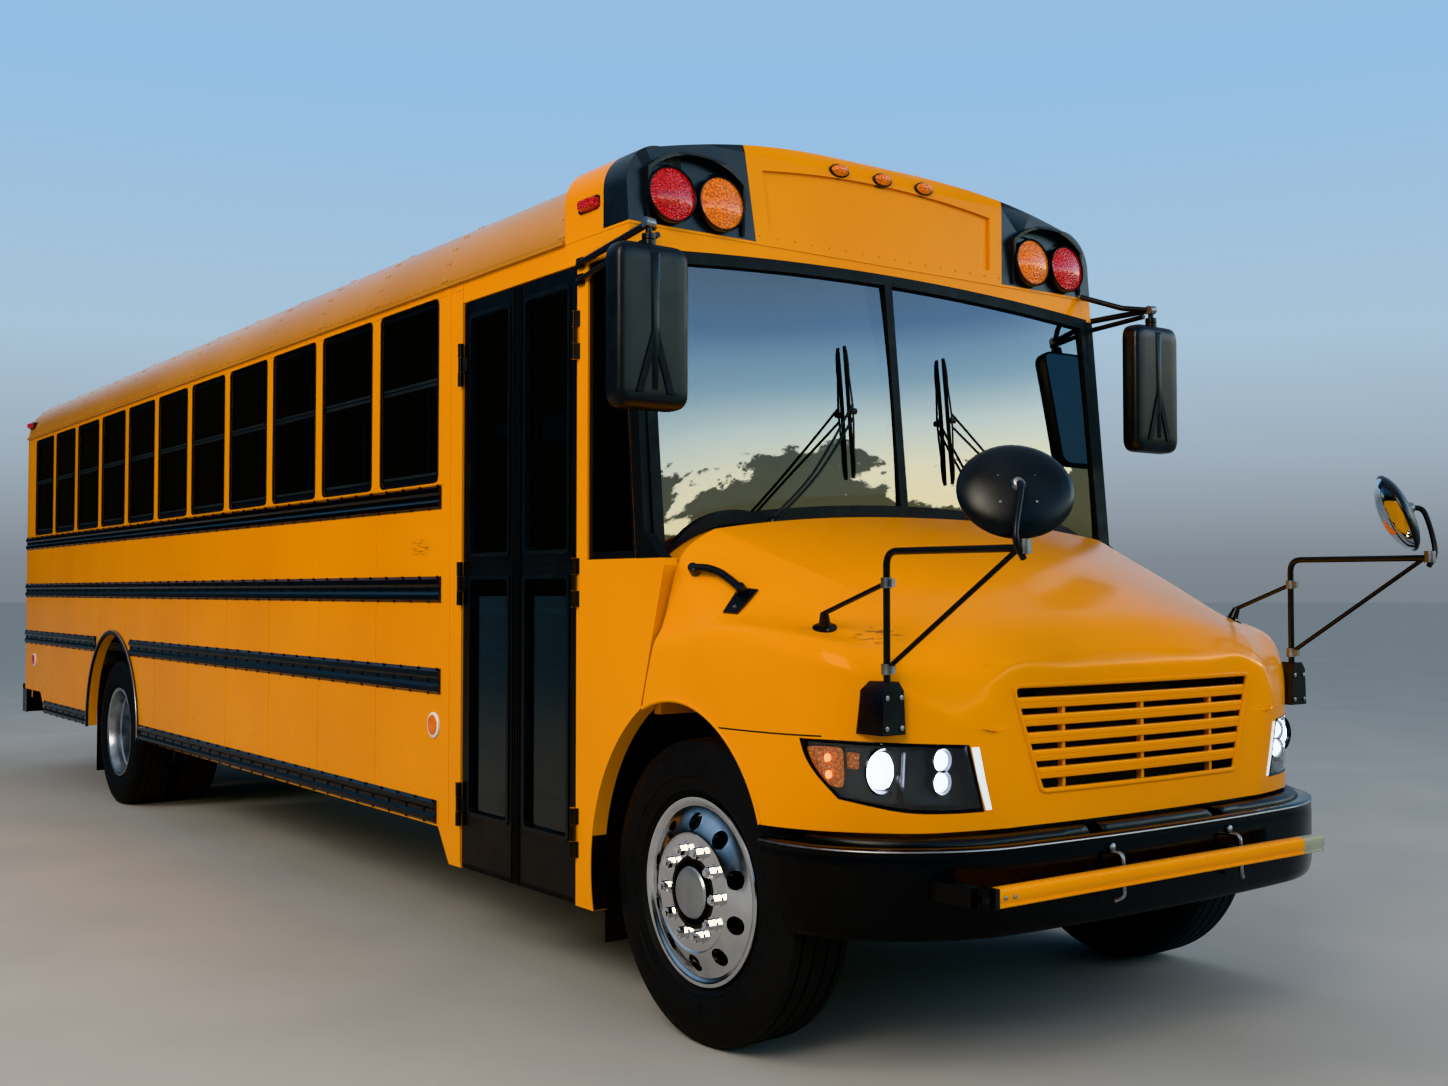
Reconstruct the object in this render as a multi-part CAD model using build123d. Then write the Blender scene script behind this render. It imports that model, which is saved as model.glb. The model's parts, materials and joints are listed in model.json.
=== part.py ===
import os
from math import atan2, cos, degrees, hypot, pi, radians, sin, sqrt, tan

from build123d import *

# A conventional (hood in front) school bus. Millimetres, +Z up from the ground, +X the driver's side,
# -Y the nose. Stations along Y count from the front axle; stand() moves them to the middle of the
# overall length when a piece is written.

# Driving dimensions of the coach body
half_width = 1219.0
wall = 60.0
tail = 9856.0
wheelbase = 7062.0
floor_top = 1130.0
floor_thickness = 58.0
skirt_bottom = 500.0
eave = 2790.0
roof_top = 3215.0
roof_shoulder = 330.0
roof_skin = 46.0
contact = 0.3
swing_gap = 6.0

# Windows: a row of equal bays, each with a lower and an upper pane
bay = 705.7
bays = 11
bay_start = 1780.0
pillar = 105.0
sill = 1967.0
window_top = 2757.0
window_corner = 34.0
sash = 28.0
sash_depth = 18.0
sash_inset = 8.0
mid_rail = 0.55
glass = 6.0

# Entrance on the curb side, and the front of the body
door_front = 673.0
door_rear = 1600.0
door_top = 2703.0
step_bottom = 356.0
leaf_thickness = 40.0
quarter_window = ((598.0, 1612.0), (598.0, 2695.0), (372.0, 2695.0), (276.0, 1612.0))
driver_window = (690.0, 1590.0, 1650.0, 2695.0)
seam_low = (247.0, 1095.0)
seam_high = (102.0, 1586.0)
screen_foot = (222.0, 1786.0)
screen_head = (317.0, 2729.0)
screen_half = 1186.0

# Running gear
tyre_radius = 505.0
tyre_width = 270.0
bead_radius = 286.0
front_face = 1165.0
rear_face = 1178.0
twin_spacing = 318.0
kingpin_x = 900.0
rail_inner = 352.0
rail_outer = 432.0
rail_low = 706.0
rail_high = 960.0
rail_web = 10.0

# Hood and bumpers
hood_wall = 8.0
hood_low = 780.0
nose = -926.0
bumper_front = -1020.0
bumper_low = 478.0
bumper_high = 748.0
bumper_plate = 10.0
hood_gap = 10.0
hood_pivot = (-950.0, 690.0)

# The farthest points fore and aft, from which the origin is set
arm_reach = -1335.0
tube = 11.0
elbow = tube + 3.0
mirror_reach = arm_reach - elbow
rear_bumper_face = tail + 96.0


def stand(shape):
    return Pos(0, -(mirror_reach + rear_bumper_face) / 2, 0) * shape


os.makedirs("parts", exist_ok=True)


def write(node, *shapes):
    solids = []
    for shape in shapes:
        solids += stand(shape).solids()
    export_step(Compound(solids) if len(solids) > 1 else solids[0], "parts/" + node + ".step")


def block(x, y, z):
    return Pos((x[0] + x[1]) / 2, (y[0] + y[1]) / 2, (z[0] + z[1]) / 2) * Box(x[1] - x[0], y[1] - y[0],
                                                                              z[1] - z[0])


def span(a, b):
    return (min(a, b), max(a, b))


def side_block(side, x, y, z):
    return block(span(side * x[0], side * x[1]), y, z)


# A closed outline from points and arcs: a 3-item entry is (through, to) of an arc written as
# ("arc", through, to), any other is the next corner.
def outline(start, *steps):
    lines = []
    here = start
    for step in steps:
        if step[0] == "arc":
            lines.append(ThreePointArc(here, step[1], step[2]))
            here = step[2]
        elif step != here:
            lines.append(Line(here, step))
            here = step
    if here != start:
        lines.append(Line(here, start))
    return make_face(Curve() + lines)


# Extrusions of a flat outline: (y, z) along X, (x, z) along Y and (x, y) along Z
def along_x(face, x):
    return Pos(x[0], 0, 0) * extrude(Plane.YZ * face, x[1] - x[0])


def along_y(face, y):
    return Pos(0, y[1], 0) * extrude(Plane.XZ * face, y[1] - y[0])


def along_z(face, z):
    return Pos(0, 0, z[0]) * extrude(face, z[1] - z[0])


def side_plate(side, face, x):
    return along_x(face, span(side * x[0], side * x[1]))


def rod(start, end, radius):
    axis = Vector(*end) - Vector(*start)
    return Plane(origin=start, z_dir=axis) * Cylinder(radius, axis.length,
                                                      align=(Align.CENTER, Align.CENTER, Align.MIN))


def rounded(y, z, radius):
    return Pos((y[0] + y[1]) / 2, (z[0] + z[1]) / 2) * RectangleRounded(y[1] - y[0], z[1] - z[0], radius)


# Hinge on a vertical axis: the pin and the end knuckles stay, the middle knuckle turns. A leaf on each
# runs from the axis to reach, which is a vector in plan.
knuckle_radius = 11.0
pin_radius = 5.0
pin_play = 0.3
knuckle_height = 60.0
hinge_plate = 8.0


def hinge(axis, heights, fixed_reach, moving_reach, height=knuckle_height):
    fixed, moving = [], []
    for z in heights:
        for k in (-1, 0, 1):
            low = z + (k - 0.5) * height + (contact if k == 0 else 0)
            tall = height - (2 * contact if k == 0 else 0)
            reach = moving_reach if k == 0 else fixed_reach
            barrel = Pos(axis[0], axis[1], low) * Cylinder(knuckle_radius, tall,
                                                           align=(Align.CENTER, Align.CENTER, Align.MIN))
            length = hypot(*reach)
            leaf = Box(length, hinge_plate, tall, align=(Align.MIN, Align.CENTER, Align.MIN))
            leaf = Pos(axis[0], axis[1], low) * Rot(0, 0, degrees(atan2(reach[1], reach[0]))) * leaf
            hole = Pos(axis[0], axis[1], low) * Cylinder(pin_radius + (pin_play if k == 0 else 0), tall,
                                                         align=(Align.CENTER, Align.CENTER, Align.MIN))
            knuckle = barrel + leaf - hole
            (moving if k == 0 else fixed).append(knuckle)
        fixed.append(Pos(axis[0], axis[1], z) * Cylinder(pin_radius, 3 * height))
    return fixed, moving


# Body section: upright sides, shoulder arcs and a crown arc tangent to both
def crown_radius(half, shoulder, top):
    a, b = half - shoulder, top - eave
    return (a * a + b * b - shoulder * shoulder) / (2 * (b - shoulder))


def section(half, shoulder, top, low):
    crown = crown_radius(half, shoulder, top)
    cx, cz = half - shoulder, eave
    lean = atan2(cx, cz - (top - crown))
    joint = (cx + shoulder * sin(lean), cz + shoulder * cos(lean))
    middle = (cx + shoulder * sin((lean + pi / 2) / 2), cz + shoulder * cos((lean + pi / 2) / 2))
    return outline((half, low), (half, eave), ("arc", middle, joint),
                   ("arc", (0, top), (-joint[0], joint[1])),
                   ("arc", (-middle[0], middle[1]), (-half, eave)), (-half, low))


inner_half = half_width - wall

# Side walls, each one panel as thick as the whole wall with its windows and arch cut
rear_arch_centre = (wheelbase - 30.0, 545.0)
rear_arch_radius = 652.0
front_arch = ("arc", (506.0, 800.0), seam_low)
skirt_steps = ((9092.0, 510.0), (9245.0, 672.0), (tail - wall, 672.0))


def window_bays():
    return [(bay_start + i * bay + pillar / 2, bay_start + (i + 1) * bay - pillar / 2) for i in range(bays)]


def wall_cuts(face):
    for y in window_bays():
        face -= rounded(y, (sill, window_top), window_corner)
    arch_y, arch_z = rear_arch_centre
    face -= Pos(arch_y, arch_z) * Circle(rear_arch_radius)
    return face - Pos(arch_y, arch_z - rear_arch_radius) * Rectangle(2 * rear_arch_radius,
                                                                     2 * rear_arch_radius)


def front_outline(back):
    return outline((552.0, step_bottom), front_arch, seam_high, (seam_high[0] + 12, 1612.0), (222.0, 1625.0),
                   (screen_head[0], door_top), (screen_head[0] + 8, eave), (back, eave), (back, step_bottom))


main_low = [(door_rear, step_bottom), (door_rear + 108, step_bottom), (door_rear + 212, skirt_bottom)]
main_outline = outline((door_rear, eave), *main_low, *skirt_steps, (tail - wall, eave))
side_panel = wall_cuts(main_outline)
pillar_face = front_outline(door_front) - outline(*quarter_window)
header_face = (Pos((door_front + door_rear) / 2 - 10, (door_top + eave) / 2)
               * Rectangle(door_rear - door_front + 20, eave - door_top))
wall_x = (inner_half, half_width)

curb_wall = side_plate(-1, side_panel, wall_x)
surround = side_plate(-1, pillar_face, wall_x) + side_plate(-1, header_face, wall_x)
left_face = front_outline(door_rear) - outline(*quarter_window)
left_face -= rounded(driver_window[:2], driver_window[2:], window_corner)
street_wall = side_plate(1, side_panel, wall_x) + side_plate(1, left_face, wall_x)

# Entrance door: two leaves, each hung on its own jamb and opening outwards
leaf_low = step_bottom + swing_gap
leaf_high = door_top - swing_gap
meeting_gap = 12.0
door_middle = (door_front + door_rear) / 2
leaf_face = half_width - 4.0
door_stile = 62.0
door_hinge_x = half_width + 12.0
hinge_heights = (620.0, 1530.0, 2440.0)
door_glass = ((590.0, 1550.0), (1650.0, 2632.0))


def door_leaf(hung, free):
    low, high = span(hung, free)
    face = Pos((low + high) / 2, (leaf_low + leaf_high) / 2) * Rectangle(high - low, leaf_high - leaf_low)
    for z in door_glass:
        face -= rounded((low + door_stile, high - door_stile), z, 24.0)
    return side_plate(-1, face, (leaf_face - leaf_thickness, leaf_face))


def leaf_glass(hung, free):
    low, high = span(hung, free)
    panes = []
    for z in door_glass:
        face = rounded((low + door_stile, high - door_stile), z, 24.0)
        panes.append(side_plate(-1, face, (leaf_face - 23.0, leaf_face - 23.0 + glass)))
    return panes


leaves = {}
for name, jamb, toward in (("front", door_front, 1), ("rear", door_rear, -1)):
    hung, free = jamb + toward * swing_gap, door_middle - toward * meeting_gap / 2
    axis = (-door_hinge_x, jamb + toward * swing_gap / 2)
    fixed, moving = hinge(axis, hinge_heights, (18.0, -toward * 24.0), (20.0, toward * 24.0))
    leaf = door_leaf(hung, free)
    for piece in moving:
        leaf += piece
    leaves[name] = (leaf, leaf_glass(hung, free))
    for piece in fixed:
        if name == "front":
            surround += piece
        else:
            curb_wall += piece

# Roof shell from the cap to the rear wall, with a drip rail over the windows on each side
cap_rear = 760.0
roof = along_y(section(half_width, roof_shoulder, roof_top, eave), (cap_rear, tail - wall))
roof_hollow = section(half_width - roof_skin, roof_shoulder - roof_skin, roof_top - roof_skin, eave - 1)
roof -= along_y(roof_hollow, (cap_rear, tail - wall))
drip = (16.0, 14.0)
for side in (-1, 1):
    roof += side_block(side, (half_width - 2, half_width + drip[0]), (cap_rear, tail - wall),
                       (eave, eave + drip[1]))
roof_solid = along_y(section(half_width, roof_shoulder, roof_top, eave), (cap_rear, tail - wall))
hatch_half, hatch_high = 310.0, 42.0
for y in (2900.0, 7300.0):
    hatch = block((-hatch_half, hatch_half), (y, y + 2 * hatch_half), (roof_top - 60, roof_top + hatch_high))
    roof += hatch - roof_solid
write("roof_panel", roof)

# Front cap: boxier than the roof, leaning back with the windshield, with a shallow panel in its face
cap_corner = 150.0
cap_low_front = 322.0
cap_lean = 0.083
cap_crown = 4537.0


def cap_section(inset, low):
    top = roof_top + 4 - inset
    half = half_width + 2 - inset
    corner = cap_corner - inset
    cx = half - corner
    drop = cap_crown - sqrt(cap_crown ** 2 - cx ** 2)
    knee = (cx, top - drop)
    cz = top - drop - corner
    middle = (cx + corner * sin(pi / 4), cz + corner * cos(pi / 4))
    return outline((half, low), (half, cz), ("arc", middle, knee), ("arc", (0, top), (-knee[0], knee[1])),
                   ("arc", (-middle[0], middle[1]), (-half, cz)), (-half, low))


def cap_side(inset, low, back):
    front = cap_low_front + inset
    high = roof_top + 10 - inset
    rise = high - low
    nose_round = 90.0 - inset
    return outline((back, low), (front, low), (front + cap_lean * (rise - nose_round), high - nose_round),
                   ("arc", (front + cap_lean * rise + 0.3 * nose_round, high - 0.29 * nose_round),
                    (front + cap_lean * rise + nose_round, high)), (back, high))


cap = along_y(cap_section(0, eave), (cap_low_front, cap_rear)) & along_x(cap_side(0, eave, cap_rear),
                                                                         (-half_width - 5, half_width + 5))
cap_inner = along_y(cap_section(roof_skin, eave - 1), (cap_low_front, cap_rear + 1))
cap_inner &= along_x(cap_side(roof_skin, eave - 1, cap_rear + 1), (-half_width, half_width))
cap -= cap_inner
pod_inner_low, pod_inner_high = 657.0, 693.0
pod_low, pod_high = 2800.0, 3128.0
pod_depth = 78.0
pod_cut = outline((pod_inner_low, pod_low), (half_width + 40, pod_low), (half_width + 40, roof_top + 60),
                  (pod_inner_high + 8, roof_top + 60))
pods = []
for side in (-1, 1):
    face = pod_cut if side > 0 else mirror(pod_cut, Plane.YZ)
    cutter = along_y(face, (cap_low_front - 60, cap_low_front + pod_depth + 90))
    pods.append(cap & cutter)
    cap -= cutter
panel_depth = 14.0
recess = outline((-590.0, 2850.0), (590.0, 2850.0), (610.0, 3080.0), ("arc", (0, 3120.0), (-610.0, 3080.0)))
recess_cut = along_y(recess, (cap_low_front - 40, cap_low_front + 60))
recess_floor = Pos(0, panel_depth, 0) * along_x(cap_side(0, eave, cap_rear), (-640.0, 640.0))
cap -= recess_cut - recess_floor

# Warning lamps: a red one outboard and an amber one inboard in each pod, under an eyebrow
lamp_radius = 92.0
lamp_z = 2936.0
lamp_x = {"amber": 822.0, "red": 1042.0}
lamp_depth = 34.0
brow = 46.0


def cap_front(z):
    return cap_low_front + cap_lean * (z - eave)


lamps = {"amber": [], "red": []}
pod_shells = []
for side, pod in zip((-1, 1), pods):
    for colour in lamp_x:
        seat = (side * lamp_x[colour], cap_front(lamp_z))
        lamp = Pos(seat[0], seat[1] - 8.0, lamp_z) * Rot(90 - degrees(atan2(cap_lean, 1)), 0, 0)
        lamps[colour].append(lamp * Cylinder(lamp_radius, lamp_depth))
        pod -= lamp * Cylinder(lamp_radius + contact, lamp_depth)
    x = span(side * 716.0, side * 1150.0)
    hood_face = outline((716.0, pod_low + 10), (716.0, 3000.0), ("arc", (932.0, 3082.0), (1150.0, 3000.0)),
                        (1150.0, pod_low + 10),
                        (1136.0, pod_low + 10), (1136.0, 2994.0), ("arc", (932.0, 3066.0), (730.0, 2994.0)),
                        (730.0, pod_low + 10))
    hood_face = hood_face if side > 0 else mirror(hood_face, Plane.YZ)
    pod += along_y(hood_face, (cap_front(3040.0) - brow, cap_front(3040.0) + 20)) & along_x(
        outline((cap_front(pod_low) + 20, pod_low), (cap_front(pod_low) - 6, pod_low),
                (cap_front(3066.0) - brow, 3066.0),
                (cap_front(3090.0) - brow + 12, 3090.0), (cap_front(3090.0) + 20, 3090.0)), x)
    pod_shells += pod.solids()
write("lamp_pods", *pod_shells)

# Windshield: a gasket frame with a centre post, leaning back, and two panes
screen_lean = degrees(atan2(screen_head[0] - screen_foot[0], screen_head[1] - screen_foot[1]))
screen_frame = 44.0
screen_depth = 40.0
screen_post = 20.0
screen_low_side = 1625.0
screen_arch = 26.0


def screen_shape(inset):
    half, low, high = screen_half - inset, screen_low_side + inset, door_top - inset
    return outline((half, low), (half, high), ("arc", (0, screen_head[1] + screen_arch - inset),
                                               (-half, high)), (-half, low),
                   (-half + 40, low - 8), ("arc", (-1000.0, 1700 + inset), (-760.0, 1742 + inset)),
                   ("arc", (0, screen_foot[1] + inset), (760.0, 1742 + inset)),
                   ("arc", (1000.0, 1700 + inset), (half - 40, low - 8)))


def screen_place(face, depth):
    lean = tan(radians(screen_lean))
    solid = along_y(face, (-400.0, 1000.0))
    low, high = 1500.0, 2900.0
    y_low = screen_foot[0] + (low - screen_foot[1]) * lean
    y_high = screen_foot[0] + (high - screen_foot[1]) * lean
    slab = outline((y_low + depth[0], low), (y_high + depth[0], high), (y_high + depth[1], high),
                   (y_low + depth[1], low))
    return solid & along_x(slab, (-half_width, half_width))


# The strip between the windshield's arched top and the cap
header_low = door_top + contact
header_shape = outline((-screen_half, eave), (screen_half, eave), (screen_half, header_low),
                       ("arc", (0, screen_head[1] + screen_arch + contact), (-screen_half, header_low)))
header = screen_place(header_shape, (2.0, screen_depth)) & block((-inner_half, inner_half), (0.0, cap_rear),
                                                                 (door_top, eave))
write("front_cap", cap + header)

screen_seat = screen_place(screen_shape(0), (-60.0, screen_depth))
surround -= screen_seat
street_wall -= screen_seat
write("side_wall_right", curb_wall)
write("entrance_surround", surround)
write("side_wall_left", street_wall)
for name in leaves:
    write("door_leaf_" + name, leaves[name][0])
    write("door_glass_" + name, *leaves[name][1])

screen_opening = screen_shape(screen_frame)
screen_ring = screen_place(screen_shape(0) - screen_opening, (0.0, screen_depth))
post_face = Pos(0, 2250.0) * Rectangle(2 * screen_post, 1000.0) & screen_shape(4)
screen_ring += screen_place(post_face, (0.0, screen_depth))
write("windshield_frame", screen_ring)
panes = []
for side in (-1, 1):
    half_pane = screen_opening & (Pos(side * (screen_post + 700), 2200.0) * Rectangle(1400.0, 1400.0))
    panes.append(screen_place(half_pane, (12.0, 12.0 + glass)))
write("windshield_glass", *panes)

# Cowl under the windshield, with the bulkhead
cowl_front = 112.0
wheelhouse_x, wheelhouse_top = 540.0, 1075.0
tunnel = 232.0
cowl_shape = outline((-1150.0, 1604.0), ("arc", (-1000.0, 1692.0), (-760.0, 1732.0)),
                     ("arc", (0, 1776.0), (760.0, 1732.0)),
                     ("arc", (1000.0, 1692.0), (1150.0, 1604.0)), (1150.0, wheelhouse_top),
                     (wheelhouse_x, wheelhouse_top),
                     (wheelhouse_x, rail_high), (-wheelhouse_x, rail_high), (-wheelhouse_x, wheelhouse_top),
                     (-1150.0, wheelhouse_top))
cowl = along_y(cowl_shape, (cowl_front, 262.0))
cowl -= block((-1200, 1200), (cowl_front - 1, 222.0), (800.0, 1560.0))
cowl -= block((-tunnel, tunnel), (cowl_front - 1, 263.0), (900.0, 1030.0))
write("cowl", cowl)

# Rear wall with an emergency door between two windows
rear_low = 672.0
door_half = 345.0
exit_low, exit_high = 1160.0, 2640.0
rear_face_shape = section(half_width, roof_shoulder, roof_top, rear_low)
rear_wall = along_y(rear_face_shape, (tail - wall, tail))
rear_rim = [edge for edge in rear_wall.edges()
            if abs(edge.center().Y - tail) < 1 and edge.center().Z > rear_low + 1]
rear_wall = fillet(rear_rim, 48.0)
exit_face = Pos(0, (exit_low + exit_high) / 2) * Rectangle(2 * door_half, exit_high - exit_low)
rear_wall -= along_y(exit_face, (tail - wall - 1, tail + 1))
rear_window = ((455.0, 1080.0), (1967.0, 2600.0))
rear_panes = []
for side in (-1, 1):
    x = span(side * rear_window[0][0], side * rear_window[0][1])
    rear_wall -= along_y(rounded(x, rear_window[1], 60.0), (tail - wall - 1, tail + 1))
    rear_panes.append(along_y(rounded(x, rear_window[1], 60.0), (tail - 30, tail - 30 + glass)))
exit_axis = (-door_half + swing_gap / 2, tail + 12.0)
fixed, moving = hinge(exit_axis, (1350.0, 1900.0, 2450.0), (-24.0, -18.0), (24.0, -20.0))
for piece in fixed:
    rear_wall += piece
write("rear_wall", rear_wall)
exit_leaf = Pos(0, (exit_low + exit_high) / 2) * Rectangle(2 * (door_half - swing_gap),
                                                           exit_high - exit_low - 2 * swing_gap)
exit_glass = [rounded((-255.0, 255.0), z, 40.0) for z in ((1260.0, 1640.0), (1967.0, 2540.0))]
for face in exit_glass:
    exit_leaf -= face
exit_door = along_y(exit_leaf, (tail - 44, tail - 4))
for piece in moving:
    exit_door += piece
write("emergency_door", exit_door)
write("emergency_door_glass", *[along_y(face, (tail - 26, tail - 26 + glass)) for face in exit_glass])

# Window sashes and panes, from the same bays as the wall's openings
sash_x = (half_width - sash_inset - sash_depth, half_width - sash_inset)
pane_x = (half_width - sash_inset - 12, half_width - sash_inset - 12 + glass)
rail_z = sill + mid_rail * (window_top - sill)
sashes, window_panes = [], []


def cell_face(y, z):
    return Pos((y[0] + y[1]) / 2, (z[0] + z[1]) / 2) * Rectangle(y[1] - y[0], z[1] - z[0])


for side in (-1, 1):
    for y, z in [(bay_y, (sill, window_top)) for bay_y in window_bays()]:
        frame_face = rounded(y, z, window_corner)
        cells = [cell_face((y[0] + sash, y[1] - sash), span_z)
                 for span_z in ((z[0] + sash, rail_z - sash / 2), (rail_z + sash / 2, z[1] - sash))]
        for cell in cells:
            frame_face -= cell
            window_panes.append(side_plate(side, cell, pane_x))
        sashes.append(side_plate(side, frame_face, sash_x))
    quarter = outline(*quarter_window)
    quarter_cell = offset(quarter, -sash)
    sashes.append(side_plate(side, quarter - quarter_cell, sash_x))
    window_panes.append(side_plate(side, quarter_cell, pane_x))
driver_face = rounded(driver_window[:2], driver_window[2:], window_corner)
driver_mid = (driver_window[0] + driver_window[1]) / 2
for y in ((driver_window[0] + sash, driver_mid - sash / 2), (driver_mid + sash / 2, driver_window[1] - sash)):
    cell = cell_face(y, (driver_window[2] + sash, driver_window[3] - sash))
    driver_face -= cell
    window_panes.append(side_plate(1, cell, pane_x))
sashes.append(side_plate(1, driver_face, sash_x))
write("window_sashes", *sashes)
write("window_panes", *window_panes, *rear_panes)

# Rub rails: a strip with two raised ribs. Rows: low and high edge, then the runs along the side
rib_out = 14.0
strip_out = 5.0
rail_start = 1795.0
rub_rails = (
    (1848.0, 1952.0, ((rail_start, tail - wall),)),
    (1448.0, 1562.0, ((rail_start, tail - wall),)),
    (1057.0, 1169.0, ((rail_start, rear_arch_centre[0] - 450), (rear_arch_centre[0] + 450, tail - wall))),
    (506.0, 608.0, ((rail_start + 30, rear_arch_centre[0] - 690), (rear_arch_centre[0] + 690, 9092.0))),
)


def rail_face(low, high):
    tall = high - low
    x0, x1, x2 = half_width, half_width + strip_out, half_width + rib_out
    return [(x0, low), (x2, low + 0.12 * tall), (x2, low + 0.3 * tall), (x1, low + 0.42 * tall),
            (x1, low + 0.58 * tall),
            (x2, low + 0.7 * tall), (x2, low + 0.88 * tall), (x0, high)]


rails = []
for low, high, runs in rub_rails:
    for run in runs:
        for side in (-1, 1):
            points = [(side * x, z) for x, z in rail_face(low, high)]
            rails.append(along_y(outline(points[0], *points[1:]), run))
write("rub_rails", *rails)

flares = []
flare_ring = Circle(rear_arch_radius + 26) - Circle(rear_arch_radius)
flare_ring = Pos(*rear_arch_centre) * (flare_ring & (Pos(0, 500) * Rectangle(2000, 1090)))
for side in (-1, 1):
    flares.append(side_plate(side, flare_ring, (half_width, half_width + 16)))
write("arch_flares", *flares)

# Floor with cross sills under it, the stairwell at the entrance
well_inner = -(rail_outer + 28.0)
well_y = (door_front - 24, door_rear + 24)
treads = 3
rise = (floor_top - 402.0) / treads
going = (inner_half + well_inner) / treads
floor_face = Pos(0, (262.0 + tail - wall) / 2) * Rectangle(2 * inner_half, tail - wall - 262.0)
well_width, well_length = inner_half + well_inner, well_y[1] - well_y[0]
floor_face -= (Pos((well_inner - inner_half) / 2, (well_y[0] + well_y[1]) / 2)
               * Rectangle(well_width, well_length))
floor = along_z(floor_face, (floor_top - floor_thickness, floor_top))
sill_step = 705.7
sills = 11
for i in range(sills):
    y = door_rear + 200 + i * sill_step
    floor += block((-inner_half, inner_half), (y, y + 60), (rail_high, floor_top - floor_thickness))
write("floor_panel", floor)

sheet = 24.0
stair = [(-inner_half, floor_top - treads * rise)]
for i in range(treads):
    x = -inner_half + (i + 1) * going
    stair += [(x, stair[-1][1]), (x, stair[-1][1] + rise)]
under = [(x + sheet, z - sheet) for x, z in stair]
stair_face = outline(stair[0], *stair[1:-1], (well_inner, floor_top - floor_thickness),
                     (well_inner + sheet, floor_top - floor_thickness),
                     *[(x, z) for x, z in reversed(under[1:-1])],
                     (-inner_half, stair[0][1] - sheet))
well = along_y(stair_face, well_y)
end_face = outline((-inner_half, step_bottom), (-inner_half, floor_top - floor_thickness),
                   (well_inner + sheet, floor_top - floor_thickness),
                   (well_inner + sheet, floor_top - rise - sheet),
                   (-inner_half + going + sheet, step_bottom))
for y in ((well_y[0], well_y[0] + 20), (well_y[1] - 20, well_y[1])):
    well += along_y(end_face, y)
write("step_well", well)

# Chassis frame: two channel rails with cross members
frame_front, frame_rear = -930.0, tail - wall
horn_high = hood_low - 15.0
frame = []
for side in (-1, 1):
    rail = side_block(side, (rail_inner, rail_outer), (frame_front, frame_rear), (rail_low, rail_high))
    rail -= side_block(side, (rail_inner - 1, rail_outer - rail_web), (frame_front - 1, frame_rear + 1),
                       (rail_low + rail_web, rail_high - rail_web))
    rail -= side_block(side, (rail_inner - 1, rail_outer + 1), (frame_front - 1, -845.0),
                       (horn_high, rail_high + 1))
    frame.append(rail)
ladder = frame[0] + frame[1]
for y in (-790.0, 1150.0, 2300.0, 3700.0, 5100.0, 6250.0, 7800.0, 8700.0, 9700.0):
    ladder += block((-rail_outer + rail_web, rail_outer - rail_web), (y - 40, y + 40),
                    (rail_low + 60, rail_high - 40))
write("chassis_frame", ladder)

# Engine and gearbox as plain blocks, radiator, drive shaft, tank and exhaust
engine_top = 1420.0
engine = block((-330, 330), (-600, 200), (660, engine_top)) + block((-215, 215), (150, 1000), (560, 1010))
for y in ((-300, -200), (700, 780)):
    engine += block((-rail_outer + 20, rail_outer - 20), y, (rail_high, rail_high + 40))
write("engine_block", engine)
write("radiator", block((-345, 345), (-750, -670), (720, 1330)))


# Suspension and axles. Each leaf pack hangs from the rail above it
spring_x = (rail_inner + rail_outer) / 2
leaf_width = 76.0
axle_z = tyre_radius


def leaf_spring(x, y, seat, half_length, leaves):
    pack = []
    for i in range(leaves):
        run = half_length * (1 - 0.16 * i)
        low = seat + (leaves - 1 - i) * 14.0
        arc = ThreePointArc((y - run, low + 0.06 * run * run / half_length), (y, low),
                            (y + run, low + 0.06 * run * run / half_length))
        top = ThreePointArc((y + run, low + 14 + 0.06 * run * run / half_length), (y, low + 14),
                            (y - run, low + 14 + 0.06 * run * run / half_length))
        ends = [Line(arc @ 1, top @ 0), Line(top @ 1, arc @ 0)]
        pack.append(along_x(make_face(Curve() + [arc, ends[0], top, ends[1]]),
                            (x - leaf_width / 2, x + leaf_width / 2)))
    spring = pack[0]
    for leaf in pack[1:]:
        spring += leaf
    eye_z = seat + (leaves - 1) * 14.0 + 0.06 * half_length + 14
    for end in (-1, 1):
        spring += block((x - leaf_width / 2, x + leaf_width / 2),
                        (y + end * half_length - 30, y + end * half_length + 30),
                        (eye_z - 34, rail_low))
    return spring


front_seat, rear_seat = 520.0, 590.0
springs = []
for side in (-1, 1):
    springs.append(leaf_spring(side * spring_x, 0.0, front_seat, 640.0, 4))
    springs.append(leaf_spring(side * spring_x, wheelbase, rear_seat, 760.0, 4))
write("leaf_springs", *springs)

# Front axle: a beam that drops between its ends, with an eye for each kingpin
eye_radius, pin_hole, kingpin = 44.0, 22.3, 22.0
eye_half = 62.0
beam_low = front_seat - 92.0
beam = outline((-kingpin_x, axle_z - 40), (-kingpin_x + 150, axle_z - 40), (-kingpin_x + 260, beam_low),
               (kingpin_x - 260, beam_low),
               (kingpin_x - 150, axle_z - 40), (kingpin_x, axle_z - 40), (kingpin_x, axle_z + 34),
               (kingpin_x - 130, axle_z + 34),
               (kingpin_x - 250, front_seat), (-kingpin_x + 250, front_seat),
               (-kingpin_x + 130, axle_z + 34), (-kingpin_x, axle_z + 34))
front_axle = along_y(beam, (-45.0, 45.0))
for side in (-1, 1):
    front_axle += Pos(side * kingpin_x, 0, axle_z) * Cylinder(eye_radius, 2 * eye_half)
for side in (-1, 1):
    front_axle -= Pos(side * kingpin_x, 0, axle_z) * Cylinder(pin_hole, 2 * eye_half + 2)
write("front_axle", front_axle)

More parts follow.
